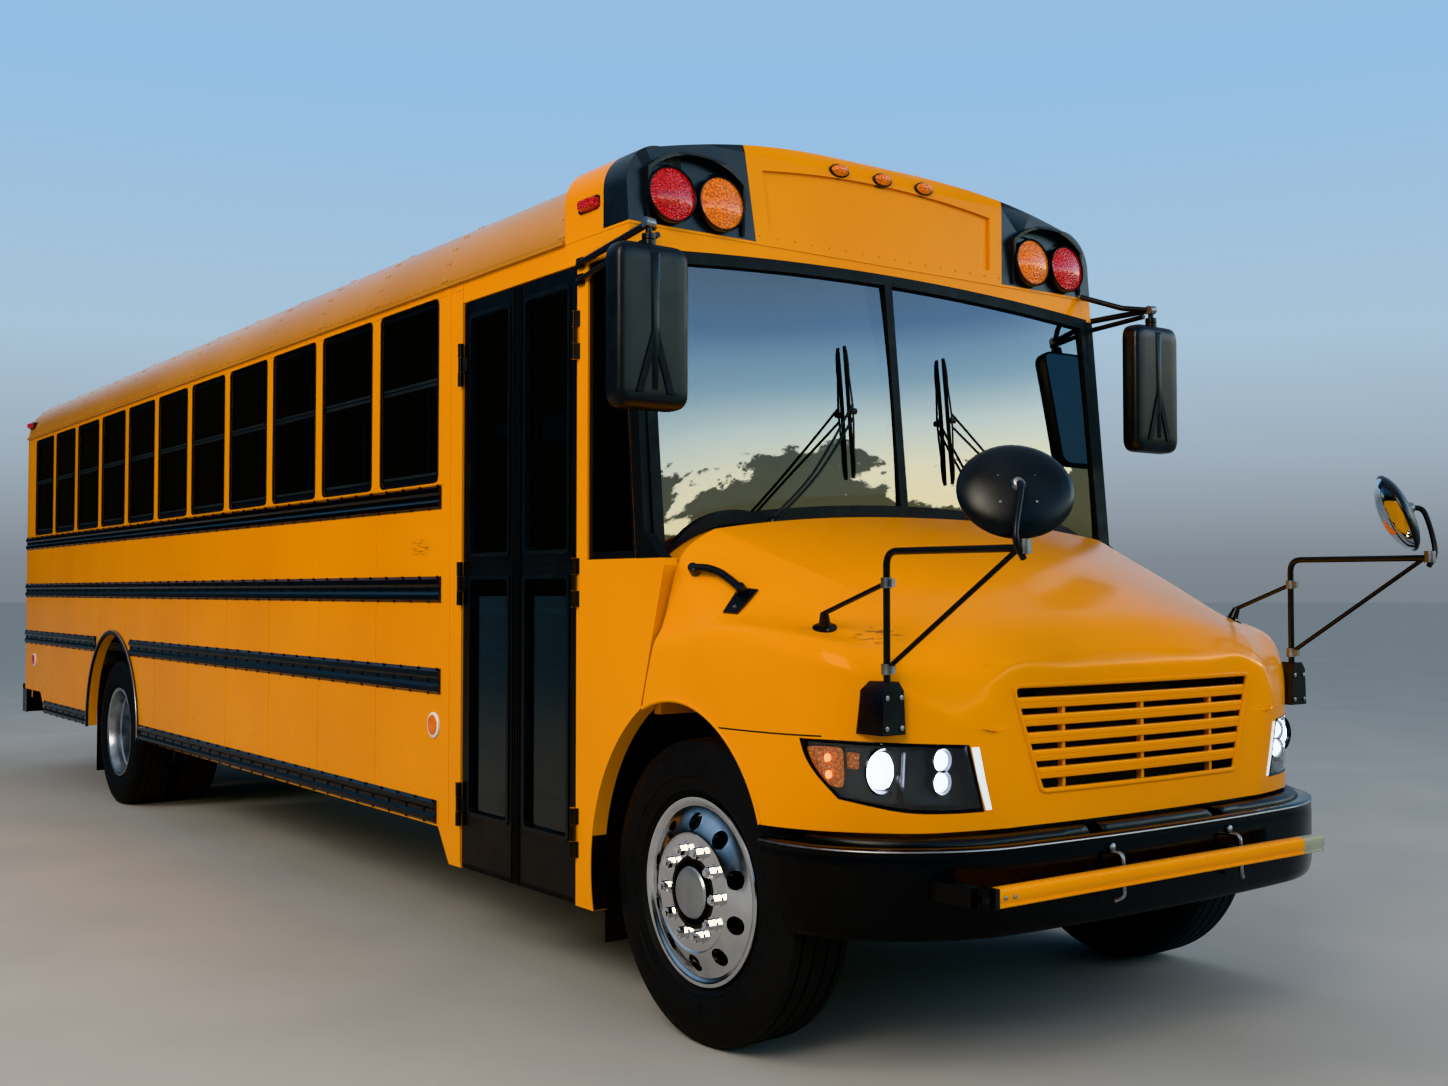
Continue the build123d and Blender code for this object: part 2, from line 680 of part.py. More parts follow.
# Wheel parts, revolved about X. Rows of (x outwards from the tyre's middle, radius)
spindle_radius, spindle_play = 42.0, 0.3
tyre_rows = ((-0.36, bead_radius + contact), (-0.385, 312.0), (-0.5, 392.0), (-0.46, 478.0),
             (-0.36, tyre_radius),
             (0.36, tyre_radius), (0.46, 478.0), (0.5, 392.0), (0.385, 312.0), (0.36, bead_radius + contact))
rim_half = 0.44 * tyre_width
flange_radius = 311.0
holes, hole_radius, hole_circle = 10, 29.0, 221.0
disc_thickness = 18.0


def turned(rows):
    face = Plane.XZ * make_face(Polyline(*[(x, r) for x, r in rows], close=True))
    return revolve(face, Axis.X)


def tyre(x, y):
    return Pos(x, y, axle_z) * turned([(share * tyre_width, r) for share, r in tyre_rows])


# A disc wheel: barrel, flanges and a dished disc. The disc leaves the barrel at dish, carries its hand holes
# in a flat band at band, and bolts to the hub at seat
hole_band = (190.0, 252.0)


def rim(seat, band, dish, bore, with_holes=True):
    barrel = turned([(-rim_half, bead_radius - 16), (-rim_half, flange_radius),
                     (-rim_half + 10, flange_radius),
                     (-rim_half + 12, bead_radius), (rim_half - 12, bead_radius),
                     (rim_half - 10, flange_radius),
                     (rim_half, flange_radius), (rim_half, bead_radius - 16)])
    front = [(dish, bead_radius - 10), (band, hole_band[1]), (band, hole_band[0]), (seat, 176.0),
             (seat, bore)]
    wheel = barrel + turned(front + [(x - disc_thickness, r) for x, r in reversed(front)])
    for k in range(holes if with_holes else 0):
        angle = radians((k + 0.5) * 360 / holes)
        place = Pos(band - disc_thickness / 2, hole_circle * cos(angle),
                    hole_circle * sin(angle)) * Rot(0, 90, 0)
        wheel -= place * Cylinder(hole_radius, disc_thickness + 2)
    return wheel


front_tyre_x = front_face - tyre_width / 2
rear_tyre_x = rear_face - tyre_width / 2
bore = spindle_radius + spindle_play
front_wheel = rim(88.0, 94.0, 62.0, 108.0)
hub = turned([(-48.0, bore), (-48.0, 118.0), (40.0, 118.0), (70.0, 112.0), (88.0, 112.0), (88.0, 86.0),
              (128.0, 82.0), (134.0, 70.0), (134.0, 50.0),
              (100.0, 50.0), (100.0, bore)])
drum = turned([(-118.0, 196.0), (-118.0, 208.0), (30.0, 208.0), (68.0, 150.0), (68.0, 110.0), (50.0, 110.0),
               (50.0, 150.0),
               (22.0, 196.0)])
front_wheel = front_wheel + hub + drum
rear_outer = rim(-70.0, -60.0, -44.0, 108.0)
rear_inner = mirror(rim(-70.0, -60.0, -44.0, 108.0, with_holes=False), Plane.YZ)
rear_hub = turned([(-twin_spacing + 40, bore), (-twin_spacing + 40, 110.0), (10.0, 110.0), (24.0, 100.0),
                   (24.0, 60.0), (16.0, 60.0), (16.0, bore)])
for side, name in ((-1, "right"), (1, "left")):
    place = Pos(side * front_tyre_x, 0, axle_z)
    facing = (lambda shape: shape) if side > 0 else (lambda shape: mirror(shape, Plane.YZ))
    write("front_wheel_" + name, place * facing(front_wheel))
    write("front_tyre_" + name, Pos(side * front_tyre_x, 0, 0) * tyre(0, 0))
    twin = rear_outer + Pos(-twin_spacing, 0, 0) * rear_inner + rear_hub
    place = Pos(side * rear_tyre_x, wheelbase, axle_z)
    write("rear_wheels_" + name, place * facing(twin))
    write("rear_tyres_" + name, tyre(side * rear_tyre_x, wheelbase),
          tyre(side * (rear_tyre_x - twin_spacing), wheelbase))

# Knuckles: a yoke on the kingpin that carries the spindle
yoke_gap = contact
for side, name in ((-1, "right"), (1, "left")):
    x = side * kingpin_x
    yoke = Pos(x, 0, axle_z) * Cylinder(kingpin, 2 * eye_half + 90)
    for end in (-1, 1):
        low = axle_z + end * (eye_half + yoke_gap + 22)
        yoke += Pos(x, 0, low) * Cylinder(46.0, 44.0)
        yoke += side_block(side, (kingpin_x, kingpin_x + 78), (-46, 46), (low - 22, low + 22))
    yoke += side_block(side, (kingpin_x + eye_radius + 6, kingpin_x + 78), (-60, 60),
                       (axle_z - eye_half - 44, axle_z + eye_half + 44))
    yoke = yoke - (Pos(x, 0, axle_z) * (Cylinder(eye_radius + 5, 2 * eye_half + 2 * yoke_gap)
                                        - Cylinder(kingpin, 2 * eye_half + 8)))
    yoke += rod((side * (kingpin_x + 70), 0, axle_z), (side * (front_tyre_x + 98), 0, axle_z), spindle_radius)
    write("steering_knuckle_" + name, yoke)

# Rear axle: a tube with the differential in the middle and a spindle at each end
housing = rod((-(rear_tyre_x - twin_spacing - 160), wheelbase, axle_z),
              (rear_tyre_x - twin_spacing - 160, wheelbase, axle_z), 78.0)
housing += rod((-rear_tyre_x, wheelbase, axle_z), (rear_tyre_x, wheelbase, axle_z), spindle_radius)
banjo = turned([(-125.0, 0.0), (-125.0, 105.0), (-62.0, 205.0), (62.0, 205.0), (125.0, 105.0), (125.0, 0.0)])
housing += Pos(0, wheelbase, axle_z) * Rot(0, 0, 90) * banjo
housing += rod((0, wheelbase - 330, axle_z + 30), (0, wheelbase - 100, axle_z + 30), 92.0)
for side in (-1, 1):
    housing += side_block(side, (spring_x - 42, spring_x + 42), (wheelbase - 70, wheelbase + 70),
                          (axle_z, rear_seat))
write("rear_axle", housing)

shaft = rod((0, 1001.3, 700), (0, 3700, 640), 45.0) + rod((0, 3700, 640),
                                                          (0, wheelbase - 331.9, axle_z + 30), 45.0)
shaft += block((-60, 60), (3640, 3740), (600, rail_low + 60))
write("drive_shaft", shaft)

tank = Pos(-(rail_outer + 40 + 290), 3700.0, 715.0) * Box(580, 1500, 430)
tank = fillet(tank.edges().filter_by(Axis.Y), 60.0)
for y in (3200.0, 4200.0):
    tank += block((-rail_outer - 80, -rail_outer), (y - 30, y + 30), (760, 900))
write("fuel_tank", tank)

muffler = rod((560, 1300, 640), (560, 2500, 640), 125.0)
exhaust_path = FilletPolyline((560, 2480, 640), (560, 5000, 640), (282, 5700, 655), (282, 8500, 655),
                              (282, 9250, 412), (282, 9940, 412),
                              radius=160.0)
pipe = sweep(Plane(origin=exhaust_path @ 0, z_dir=exhaust_path % 0) * Circle(50.0), path=exhaust_path)
inlet = rod((560, 620, 640), (560, 1320, 640), 50.0)
exhaust = muffler + pipe + inlet
exhaust += block((rail_outer, 600), (1500, 1560), (740, 800)) + block((rail_outer, 600), (2200, 2260),
                                                                      (740, 800))
write("exhaust", exhaust)

# Seats: rows of benches either side of the aisle, a driver's seat, and the controls
seat_rows = 11
seat_start = 1760.0
bench_width = 980.0
bench_out = inner_half - 25.0
bench_seat = floor_top + 430.0
bench_back = floor_top + 1120.0
cushions, legs = [], []
cushion_side = outline((0, bench_seat - 110), (0, bench_seat - 20), (30, bench_seat), (400, bench_seat - 22),
                       (400, bench_seat - 110))
back_side = outline((400 + contact, bench_seat - 110), (400 + contact, bench_seat - 22),
                    (470, bench_back - 40), (500, bench_back),
                    (545, bench_back), (575, bench_back - 60), (510, bench_seat - 110))
for i in range(seat_rows):
    y = seat_start + i * bay
    for side in (-1, 1):
        x = (bench_out - bench_width, bench_out)
        cushions.append(side_plate(side, Pos(y, 0) * cushion_side, x))
        cushions.append(side_plate(side, Pos(y, 0) * back_side, x))
        leg = side_block(side, (x[0] + 40, x[1]), (y + 60, y + 460),
                         (bench_seat - 140, bench_seat - 110 - contact))
        for leg_y in (y + 90, y + 400):
            leg += side_block(side, (x[0] + 60, x[0] + 95), (leg_y, leg_y + 35),
                              (floor_top, bench_seat - 130))
        legs.append(leg)
write("seat_cushions", *cushions)
write("seat_frames", *legs)

driver_x = 600.0
driver_y = 1180.0
driver_pan = floor_top + 440.0
write("driver_seat",
      Pos(driver_x, driver_y, 0) * (fillet(block((-250, 250), (-250, 230),
                                                 (driver_pan - 120, driver_pan)).edges().filter_by(Axis.Y),
                                           30.0)
                                    + along_x(outline((200, driver_pan - 60), (330, driver_pan + 760),
                                                      (400, driver_pan + 740), (300, driver_pan - 60)),
                                              (-240.0, 240.0))
                                    + block((-130, 130), (-160, 160), (floor_top, driver_pan - 110))))
wheel_centre = (driver_x, 560.0, 1840.0)
wheel_tilt = -38.0
grip = Rot(0, 90, 0) * turned([(-7.0, 240.0), (7.0, 240.0), (14.0, 232.0), (14.0, 218.0), (7.0, 210.0),
                               (-7.0, 210.0),
                               (-14.0, 218.0), (-14.0, 232.0)])
steering = grip + Cylinder(48.0, 40.0) + Box(440, 34, 14) + Pos(0, 110, 0) * Box(34, 220, 14)
steering += Pos(0, 0, -130) * Cylinder(30.0, 230)
steering = Pos(*wheel_centre) * Rot(wheel_tilt, 0, 0) * steering
write("steering_wheel", steering)
dash_side = outline((262.0, floor_top), (262.0, 1700.0), (330.0, 1750.0), (500.0, 1710.0), (540.0, 1560.0),
                    (470.0, 1480.0), (400.0, floor_top))
dash = along_x(dash_side, (-420.0, inner_half))
dash += block((-330, 230), (400, 760), (floor_top, floor_top + 330))
dash -= Pos(*wheel_centre) * Rot(wheel_tilt, 0, 0) * Pos(0, 0, -140) * Cylinder(30.0 + contact, 330)
write("dashboard", dash)

# Bumpers. The front one's plan has a wide front arc, a corner arc and a side arc, each tangent to the next
bumper_side_radius, bumper_side_turn = 472.0, -480.0
bumper_corner_radius = 648.0
bumper_join = 48.8
bumper_front_turn = 85.67
bumper_end = ((-560.0, bumper_low), (-470.0, 600.0), (-412.0, bumper_high))
bumper_lip = 46.0
lip_end = -470.0


def on_arc(centre, radius, angle):
    return (centre[0] + radius * cos(radians(angle)), centre[1] - radius * sin(radians(angle)))


def bumper_plan(inset):
    side_centre = (half_width - bumper_side_radius, bumper_side_turn)
    join = on_arc(side_centre, bumper_side_radius, bumper_join)
    corner_centre = on_arc(join, -bumper_corner_radius, bumper_join)
    side, corner = bumper_side_radius - inset, bumper_corner_radius - inset
    right = [(half_width - inset, bumper_side_turn), on_arc(side_centre, side, bumper_join / 2),
             on_arc(side_centre, side, bumper_join),
             on_arc(corner_centre, corner, (bumper_join + bumper_front_turn) / 2),
             on_arc(corner_centre, corner, bumper_front_turn)]
    left = [(-x, y) for x, y in reversed(right)]
    back = bumper_end[2][0] + 2
    return outline((half_width - inset, back), right[0], ("arc", right[1], right[2]),
                   ("arc", right[3], right[4]),
                   ("arc", (0, bumper_front + inset), left[0]), ("arc", left[1], left[2]),
                   ("arc", left[3], left[4]),
                   (inset - half_width, back))


pivot_x, pivot_pin, pivot_play = 310.0, 12.0, 0.3
tow_x, tow_thickness, tow_bore, tow_radius = 284.0, 16.0, 22.0, 36.0
tow_eye = (-1044.0, 618.0)
tow_plate = outline((bumper_front + 30, tow_eye[1] - tow_radius), (tow_eye[0], tow_eye[1] - tow_radius),
                    ("arc", (tow_eye[0] - tow_radius, tow_eye[1]), (tow_eye[0], tow_eye[1] + tow_radius)),
                    (bumper_front + 30, tow_eye[1] + tow_radius))
tow_hole = Pos(*tow_eye) * Circle(tow_bore)
bumper = along_z(bumper_plan(0), (bumper_low, bumper_high)) - along_z(bumper_plan(bumper_plate),
                                                                      (bumper_low - 1, bumper_high + 1))
bumper &= along_x(outline((bumper_front - 10, bumper_low), *bumper_end, (bumper_front - 10, bumper_high)),
                  (-half_width - 1, half_width + 1))
lips = along_z(bumper_plan(0) - bumper_plan(bumper_lip), (bumper_high - bumper_plate, bumper_high))
bumper += lips & block((-half_width, half_width), (bumper_front, lip_end), (bumper_low, bumper_high))
for side in (-1, 1):
    bumper += side_block(side, (rail_inner, rail_outer), (bumper_front + 12, frame_front),
                         (rail_low - 100, bumper_high - 12))
    bumper += rod((side * (rail_inner + 5), *hood_pivot), (side * (pivot_x - 14), *hood_pivot), pivot_pin)
    bumper += side_plate(side, tow_plate - tow_hole, (tow_x, tow_x + tow_thickness))
write("front_bumper", bumper)

rear_bumper = along_y(Pos(0, 590.0) * Rectangle(2 * half_width - 20, 240.0), (tail + 12, rear_bumper_face))
rear_bumper -= along_y(Pos(0, 590.0) * Rectangle(2 * half_width - 20 + 2, 220.0),
                       (tail + 11, rear_bumper_face - 10))
for side in (-1, 1):
    rear_bumper += side_block(side, (rail_inner, rail_outer), (frame_rear - 200, rear_bumper_face - 5),
                              (rail_low - 116, rear_low - 4))
    rear_bumper += side_block(side, (rail_inner, rail_outer), (frame_rear - 200, frame_rear - 5),
                              (rail_low - 60, rail_low))
    rear_bumper += side_block(side, (half_width - 20, half_width - 10), (tail - 60, rear_bumper_face),
                              (470, rear_low - 4))
write("rear_bumper", rear_bumper)

# Hood: one shell. Sections across the bus are lofted over the bonnet, its flanks and the fenders' crowns, and
# an upright plan outline of arcs cuts the sides and the nose. A smaller loft and plan hollow it
def hood_plan(inset):
    w = half_width - inset
    a, b, c = (w, -290.0), (1088.0 - 0.8 * inset, -680.0 + 0.6 * inset), (747.0 - 0.4 * inset, -893.0 + inset)
    return outline((w, 300.0), a, ("arc", b, c), ("arc", (0, nose + inset), (-c[0], c[1])),
                   ("arc", (-b[0], b[1]), (-a[0], a[1])), (-w, 300.0))


hood_sections = (
    # station, then x and height of: the shoulder outside the plan, the fender's edge, the flank, the ridge;
    # and the height of the crown over the middle
    (300.0, (1226.0, 1262.0), (1200.0, 1385.0), (1185.0, 1640.0), (1068.0, 1791.0), 1843.0),
    (-262.0, (1226.0, 1255.0), (1186.0, 1393.0), (1050.0, 1477.0), (903.0, 1570.0), 1651.0),
    (-446.0, (1215.0, 1220.0), (1162.0, 1378.0), (1010.0, 1428.0), (850.0, 1495.0), 1574.0),
    (-624.0, (1155.0, 1180.0), (1099.0, 1340.0), (958.0, 1379.0), (804.0, 1418.0), 1495.0),
    (-750.0, (1030.0, 1110.0), (976.0, 1286.0), (870.0, 1330.0), (759.0, 1353.0), 1427.0),
    (-850.0, (885.0, 1020.0), (834.0, 1190.0), (772.0, 1262.0), (704.0, 1290.0), 1350.0),
    (-893.0, (790.0, 1000.0), (730.0, 1165.0), (704.0, 1212.0), (668.0, 1250.0), 1300.0),
    (-950.0, (780.0, 960.0), (700.0, 1110.0), (660.0, 1150.0), (620.0, 1185.0), 1215.0),
)
section_foot = 560.0
section_flare = 40.0


def hood_section(row, inset):
    station, *corners, crown = row
    corners = [(x - inset, z - inset) for x, z in corners]
    foot = (corners[0][0] + section_flare, section_foot)
    right = [foot, *corners]
    left = [(-x, z) for x, z in reversed(right)]
    face = outline(*right, ("arc", (0, crown - inset), left[0]), *left[1:])
    return Pos(0, station, 0) * (Plane.XZ * face)


def hood_form(inset):
    loaf = loft([hood_section(row, inset) for row in hood_sections], ruled=True)
    return loaf & along_z(hood_plan(inset), (section_foot - 10, 1900.0))


hood_outer = hood_form(0)
hood = hood_outer - hood_form(hood_wall)
hood_trim = outline((-2000.0, hood_low), (-398.0, hood_low),
                    ("arc", (-70.0, 1118.0), (seam_low[0] - hood_gap, seam_low[1] + 4)),
                    (seam_high[0] - hood_gap, seam_high[1]), (cowl_front - hood_gap, seam_high[1] + 30),
                    (cowl_front - hood_gap, 2000.0), (-2000.0, 2000.0))
hood = hood & along_x(hood_trim, (-half_width, half_width))
grille_half, grille_low, grille_high = 603.0, 880.0, 1208.0
grille_foot, grille_corner = 492.0, 22.0
grille_shape = outline((-grille_foot, grille_low), (grille_foot, grille_low), (grille_half, grille_high),
                       (-grille_half, grille_high))
grille_shape = fillet(grille_shape.vertices(), grille_corner)
hood -= along_y(grille_shape, (nose - 40, nose + 160))

# Hinge arms: goosenecks that swing round the bumper's top lip, each on a pin of the frame's bracket
arm_face = outline((hood_pivot[0], hood_pivot[1] - 24), (-895.0, 676.0), (-868.0, 700.0), (-862.0, 872.0),
                   (nose + 9, 872.0), (nose + 9, 790.0),
                   (-890.0, 780.0), (-904.0, 714.0), (hood_pivot[0], hood_pivot[1] + 24))
arm_face += Pos(*hood_pivot) * Circle(24.0)
arm_face -= Pos(*hood_pivot) * Circle(pivot_pin + pivot_play)
for side in (-1, 1):
    hood += side_plate(side, arm_face, (pivot_x - 8, pivot_x + 8))

# Grille: bars that follow the nose, with ribs set back behind all rows but the top one
bar_count, bar_high, bar_depth, bar_set_back = 5, 34.0, 22.0, 6.0
rib_x, rib_wide, rib_set_back = (-375.0, 0.0, 375.0), 14.0, 8.0
bar_pitch = (grille_high - grille_low) / (bar_count + 1)


def grille_layer(rows, set_back):
    face = Sketch() + [Pos(x, z) * Rectangle(wide, tall) for x, z, wide, tall in rows]
    band = hood_plan(bar_set_back + set_back) - hood_plan(bar_set_back + bar_depth)
    return along_y(face & grille_shape, (nose - 40, nose + 160)) & along_z(band, (grille_low - 10,
                                                                                  grille_high + 10))


rib_tall = bar_count * bar_pitch
grille = grille_layer([(0, grille_low + (i + 1) * bar_pitch, 2 * grille_half, bar_high)
                       for i in range(bar_count)], 0.0)
grille += grille_layer([(x, grille_low + rib_tall / 2, rib_wide, rib_tall) for x in rib_x], rib_set_back)
write("grille", grille)

# Headlamps fill a cut-out in each fender
headlamp_face = outline((726.0, 836.0), (782.0, 1038.0), (1166.0, 1056.0), (1148.0, 961.0), (1101.0, 876.0),
                        (976.0, 844.0))
headlamp_depth = 70.0
lamp_band = along_z(hood_plan(0.0) - hood_plan(headlamp_depth), (800.0, 1100.0))
headlamps = []
for side in (-1, 1):
    face = headlamp_face if side > 0 else mirror(headlamp_face, Plane.YZ)
    cutter = along_y(face, (nose - 20, -380.0))
    headlamps.append(cutter & lamp_band)
    hood -= cutter
write("headlamps", *headlamps)
write("hood", hood)

# Crossing mirrors on the fenders: a post, an arm that runs forward, two braces and an oval head
post_x, post_y, post_low, post_high = 1027.0, -788.0, 1140.0, 1622.0
head_centre = (981.0, -1276.0, 1767.0)
foot = (1040.0, -520.0)
foot_top = 1405.0
head_tilt, head_half = 0.18, (160.0, 127.0)
mirrors = []
for side in (-1, 1):
    x = side * post_x
    elbow_at = (x, arm_reach, post_high - 6)
    head_at = (side * head_centre[0], head_centre[1], head_centre[2])
    foot_at = (side * foot[0], foot[1])
    stand_off = side_block(side, (post_x - 46, post_x + 46), (post_y - 16, post_y + 120),
                           (post_low - 50, post_low + 70)) - hood_outer
    post = stand_off + rod((x, post_y, post_low), (x, post_y, post_high), tube)
    post += rod((x, post_y, post_high), elbow_at, tube) + Pos(x, post_y, post_high) * Sphere(tube)
    post += rod((x, post_y, 1267), (x, arm_reach + 30, post_high - 6), 8.0)
    foot_post = rod((*foot_at, foot_top - 120), (*foot_at, foot_top + 10), 12.0) - hood_outer
    post += foot_post.solids().sort_by(Axis.Z)[-1]
    post += rod((*foot_at, foot_top), (x, post_y, 1523), 8.0)
    neck = rod(elbow_at, (head_at[0], head_at[1] - 60, head_at[2] - 40), 9.0) + Pos(*elbow_at) * Sphere(elbow)
    front = Plane(origin=head_at, x_dir=(1, 0, 0), z_dir=(0, -1, head_tilt))
    rear = Plane(origin=head_at, x_dir=(1, 0, 0), z_dir=(0, 1, -head_tilt))
    mirrors.append(post + neck + front * extrude(Ellipse(*head_half), 36.0, taper=30)
                   + rear * extrude(Ellipse(*head_half), 22.0))
write("crossing_mirrors", *mirrors)

# Side mirrors beside the windshield, each on a bracket over the quarter window
mirror_rows = ((-1, 1455.0, 1165.0, 100.0, 2100.0, 2650.0), (1, 1455.0, 1165.0, 100.0, 2100.0, 2650.0))
side_mirrors = []
for side, outer, inner, y, low, high in mirror_rows:
    face = rounded(span(side * inner, side * outer), (low, high), 60.0)
    head = along_y(face, (y - 80, y))
    mid = (inner + outer) / 2
    top = (side * mid, y - 40, high + 70)
    bracket = rod((side * (half_width + 14), 420, 2745), top, 13.0)
    bracket += rod((side * mid, y - 40, high - 10), top, 13.0) + Pos(*top) * Sphere(15.0)
    plate = side_block(side, (half_width, half_width + 28), (380, 470), (2725, 2770))
    side_mirrors.append(head + bracket + plate)
write("side_mirrors", *side_mirrors)

# Wipers: a pivot on the cowl, two arm rods and an upright blade
wiper_base = (717.0, 150.0)
blade_x, blade_low, blade_high = 264.0, 1936.0, 2434.0


def screen_y(z):
    slope = (screen_head[0] - screen_foot[0]) / (screen_head[1] - screen_foot[1])
    return screen_foot[0] + (z - screen_foot[1]) * slope


cowl_body = along_y(cowl_shape, (cowl_front, 262.0))
wipers = []
for side in (-1, 1):
    pivot = side_block(side, (wiper_base[0] - 40, wiper_base[0] + 40),
                       (wiper_base[1] - 26, wiper_base[1] + 26), (1700, 1770)) - cowl_body
    pivot = pivot.solids().sort_by(Axis.Z)[-1]
    mid_z = (blade_low + blade_high) / 2
    arm = pivot
    for step in (-12, 12):
        arm += rod((side * (wiper_base[0] + step), wiper_base[1], 1762),
                   (side * blade_x, screen_y(mid_z + step) - 26, mid_z + 2 * step), 6.0)
    blade = rod((side * blade_x, screen_y(blade_low) - 20, blade_low),
                (side * blade_x, screen_y(blade_high) - 20, blade_high), 10.0)
    wipers.append(arm + blade + rod((side * blade_x, screen_y(mid_z) - 36, mid_z),
                                    (side * blade_x, screen_y(mid_z) + 11.2, mid_z), 5.0))
write("wipers", *wipers)

# Stop arm on the driver's side: a blank octagon that folds flat against the wall
stop_y, stop_z = 1190.0, 1290.0
stop_axis_x = half_width + 46.0
stop_flats, stop_thickness = 457.0, 6.0
stop_base = block((half_width, half_width + 30), (stop_y - 120, stop_y - 20), (stop_z - 150, stop_z + 150))
stop_fixed, stop_moving = hinge((stop_axis_x, stop_y), (stop_z - 100, stop_z + 100), (-22.0, -34.0),
                                (0.0, 40.0))
for piece in stop_fixed:
    stop_base += piece
octagon = RegularPolygon(stop_flats / 2, 8, major_radius=False, rotation=22.5)
stop_blade = along_x(Pos(stop_y + 50 + stop_flats / 2, stop_z) * octagon,
                     (stop_axis_x - stop_thickness / 2, stop_axis_x + stop_thickness / 2))
stop_blade += block((stop_axis_x - 4, stop_axis_x + 4), (stop_y + 24, stop_y + 80),
                    (stop_z - 130, stop_z + 130))
for piece in stop_moving:
    stop_blade += piece
write("stop_arm", stop_blade)

# Crossing arm: a bar across the bumper that swings forward from its curb end
cross_x, cross_y = -950.0, -1106.0
cross_low, cross_high = 606.0, 662.0
cross_length = 1645.0
cross_fixed, cross_moving = hinge((cross_x, cross_y), ((cross_low + cross_high) / 2,), (-6.0, 90.0),
                                  (40.0, 0.0), (cross_high - cross_low) / 3)
bumper_solid = along_z(bumper_plan(0), (bumper_low, bumper_high))
cross_base = block((cross_x - 22, cross_x + 18), (cross_y + 34, cross_y + 240),
                   (cross_low, cross_high)) - bumper_solid
cross_base = cross_base.solids().sort_by(Axis.Y)[0]
for piece in cross_fixed:
    cross_base += piece - bumper_solid
write("arm_housings", stop_base, cross_base)
cross_bar = block((cross_x + 26, cross_x + cross_length), (cross_y - 15, cross_y + 15),
                  (cross_low, cross_high))
for piece in cross_moving:
    cross_bar += piece
write("crossing_arm", cross_bar)

# Mud flaps behind each axle, roof hatches, and the lamps at the rear and along the top
flaps = []
for side in (-1, 1):
    flaps.append(side_block(side, (900.0, 1150.0), (576.0, 584.0), (230.0, floor_top - floor_thickness)))
    flaps.append(side_block(side, (560.0, 1150.0), (wheelbase + 640.0, wheelbase + 648.0),
                            (170.0, floor_top - floor_thickness)))
write("mud_flaps", *flaps)

# Lamps on the rear wall and above the windshield. Rows: colour, x, z, radius, length out of the wall
rear_lamp_rows = (
    ("red", 1010.0, 2880.0, 88.0, 26.0),
    ("amber", 800.0, 2880.0, 88.0, 26.0),
    ("red", 1080.0, 1560.0, 88.0, 26.0),
    ("amber", 1080.0, 1340.0, 88.0, 26.0),
    ("red", 227.0, 3120.0, 28.0, 14.0),
)
for side in (-1, 1):
    for colour, x, z, radius, out in rear_lamp_rows:
        lamps[colour].append(rod((side * x, tail, z), (side * x, tail + out, z), radius))
lamps["red"].append(rod((0, tail, 3120.0), (0, tail + 14.0, 3120.0), 28.0))
marker_z = 3143.0
cap_wedge = along_x(cap_side(0, eave, cap_rear), (-400.0, 400.0))
for x in (-227.0, 0.0, 227.0):
    marker = rod((x, cap_front(marker_z) - 14, marker_z), (x, cap_front(marker_z) + 60, marker_z),
                 28.0) - cap_wedge
    lamps["amber"].append(marker.solids().sort_by(Axis.Y)[0])
for colour in lamps:
    write(colour + "_lamps", *lamps[colour])
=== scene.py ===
import json
from math import atan2, cos, hypot, pi, radians, sin, tan

import bmesh
import bpy
import numpy as np
from mathutils import Matrix, Vector
from mathutils.bvhtree import BVHTree

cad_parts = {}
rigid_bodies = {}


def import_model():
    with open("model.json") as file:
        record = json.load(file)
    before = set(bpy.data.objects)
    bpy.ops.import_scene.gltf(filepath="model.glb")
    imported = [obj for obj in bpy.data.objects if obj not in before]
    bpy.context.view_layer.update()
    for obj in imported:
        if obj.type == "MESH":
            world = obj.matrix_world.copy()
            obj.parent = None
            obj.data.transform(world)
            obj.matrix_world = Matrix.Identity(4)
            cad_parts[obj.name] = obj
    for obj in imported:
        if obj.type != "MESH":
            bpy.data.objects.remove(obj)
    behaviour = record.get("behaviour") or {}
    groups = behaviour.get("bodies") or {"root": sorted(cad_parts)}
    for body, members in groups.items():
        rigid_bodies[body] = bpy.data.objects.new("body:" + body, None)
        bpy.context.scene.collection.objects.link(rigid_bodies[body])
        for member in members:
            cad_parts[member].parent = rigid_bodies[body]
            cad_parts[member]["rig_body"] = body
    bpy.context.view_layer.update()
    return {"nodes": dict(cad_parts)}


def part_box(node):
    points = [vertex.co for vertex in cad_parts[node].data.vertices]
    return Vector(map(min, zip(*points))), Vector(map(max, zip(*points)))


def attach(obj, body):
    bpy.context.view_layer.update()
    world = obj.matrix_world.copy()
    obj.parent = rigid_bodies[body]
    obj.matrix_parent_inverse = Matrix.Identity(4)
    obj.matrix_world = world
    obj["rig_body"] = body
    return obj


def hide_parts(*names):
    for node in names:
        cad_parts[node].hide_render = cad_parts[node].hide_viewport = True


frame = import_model()
nodes = frame["nodes"]
noseShift = 4301.5  # millimetres from the front axle's station to the middle of the overall length
bodySide = 1219  # millimetres from the middle to the outer face of the side panels
bodyEnd = 9780  # the station where the side panels' rows of rivets and trim end
capSlope = 0.083  # how far the face over the windshield leans back as it rises
rearArch = {"station": 7032, "z": 545}
print("frame loaded")


def at(x, station, z):
    # a point given in millimetres, its station counted back from the front axle
    return Vector((x, station - noseShift, z)) / 1000


def turns(count):
    # angles evenly round a circle
    return [2 * pi * k / count for k in range(count)]


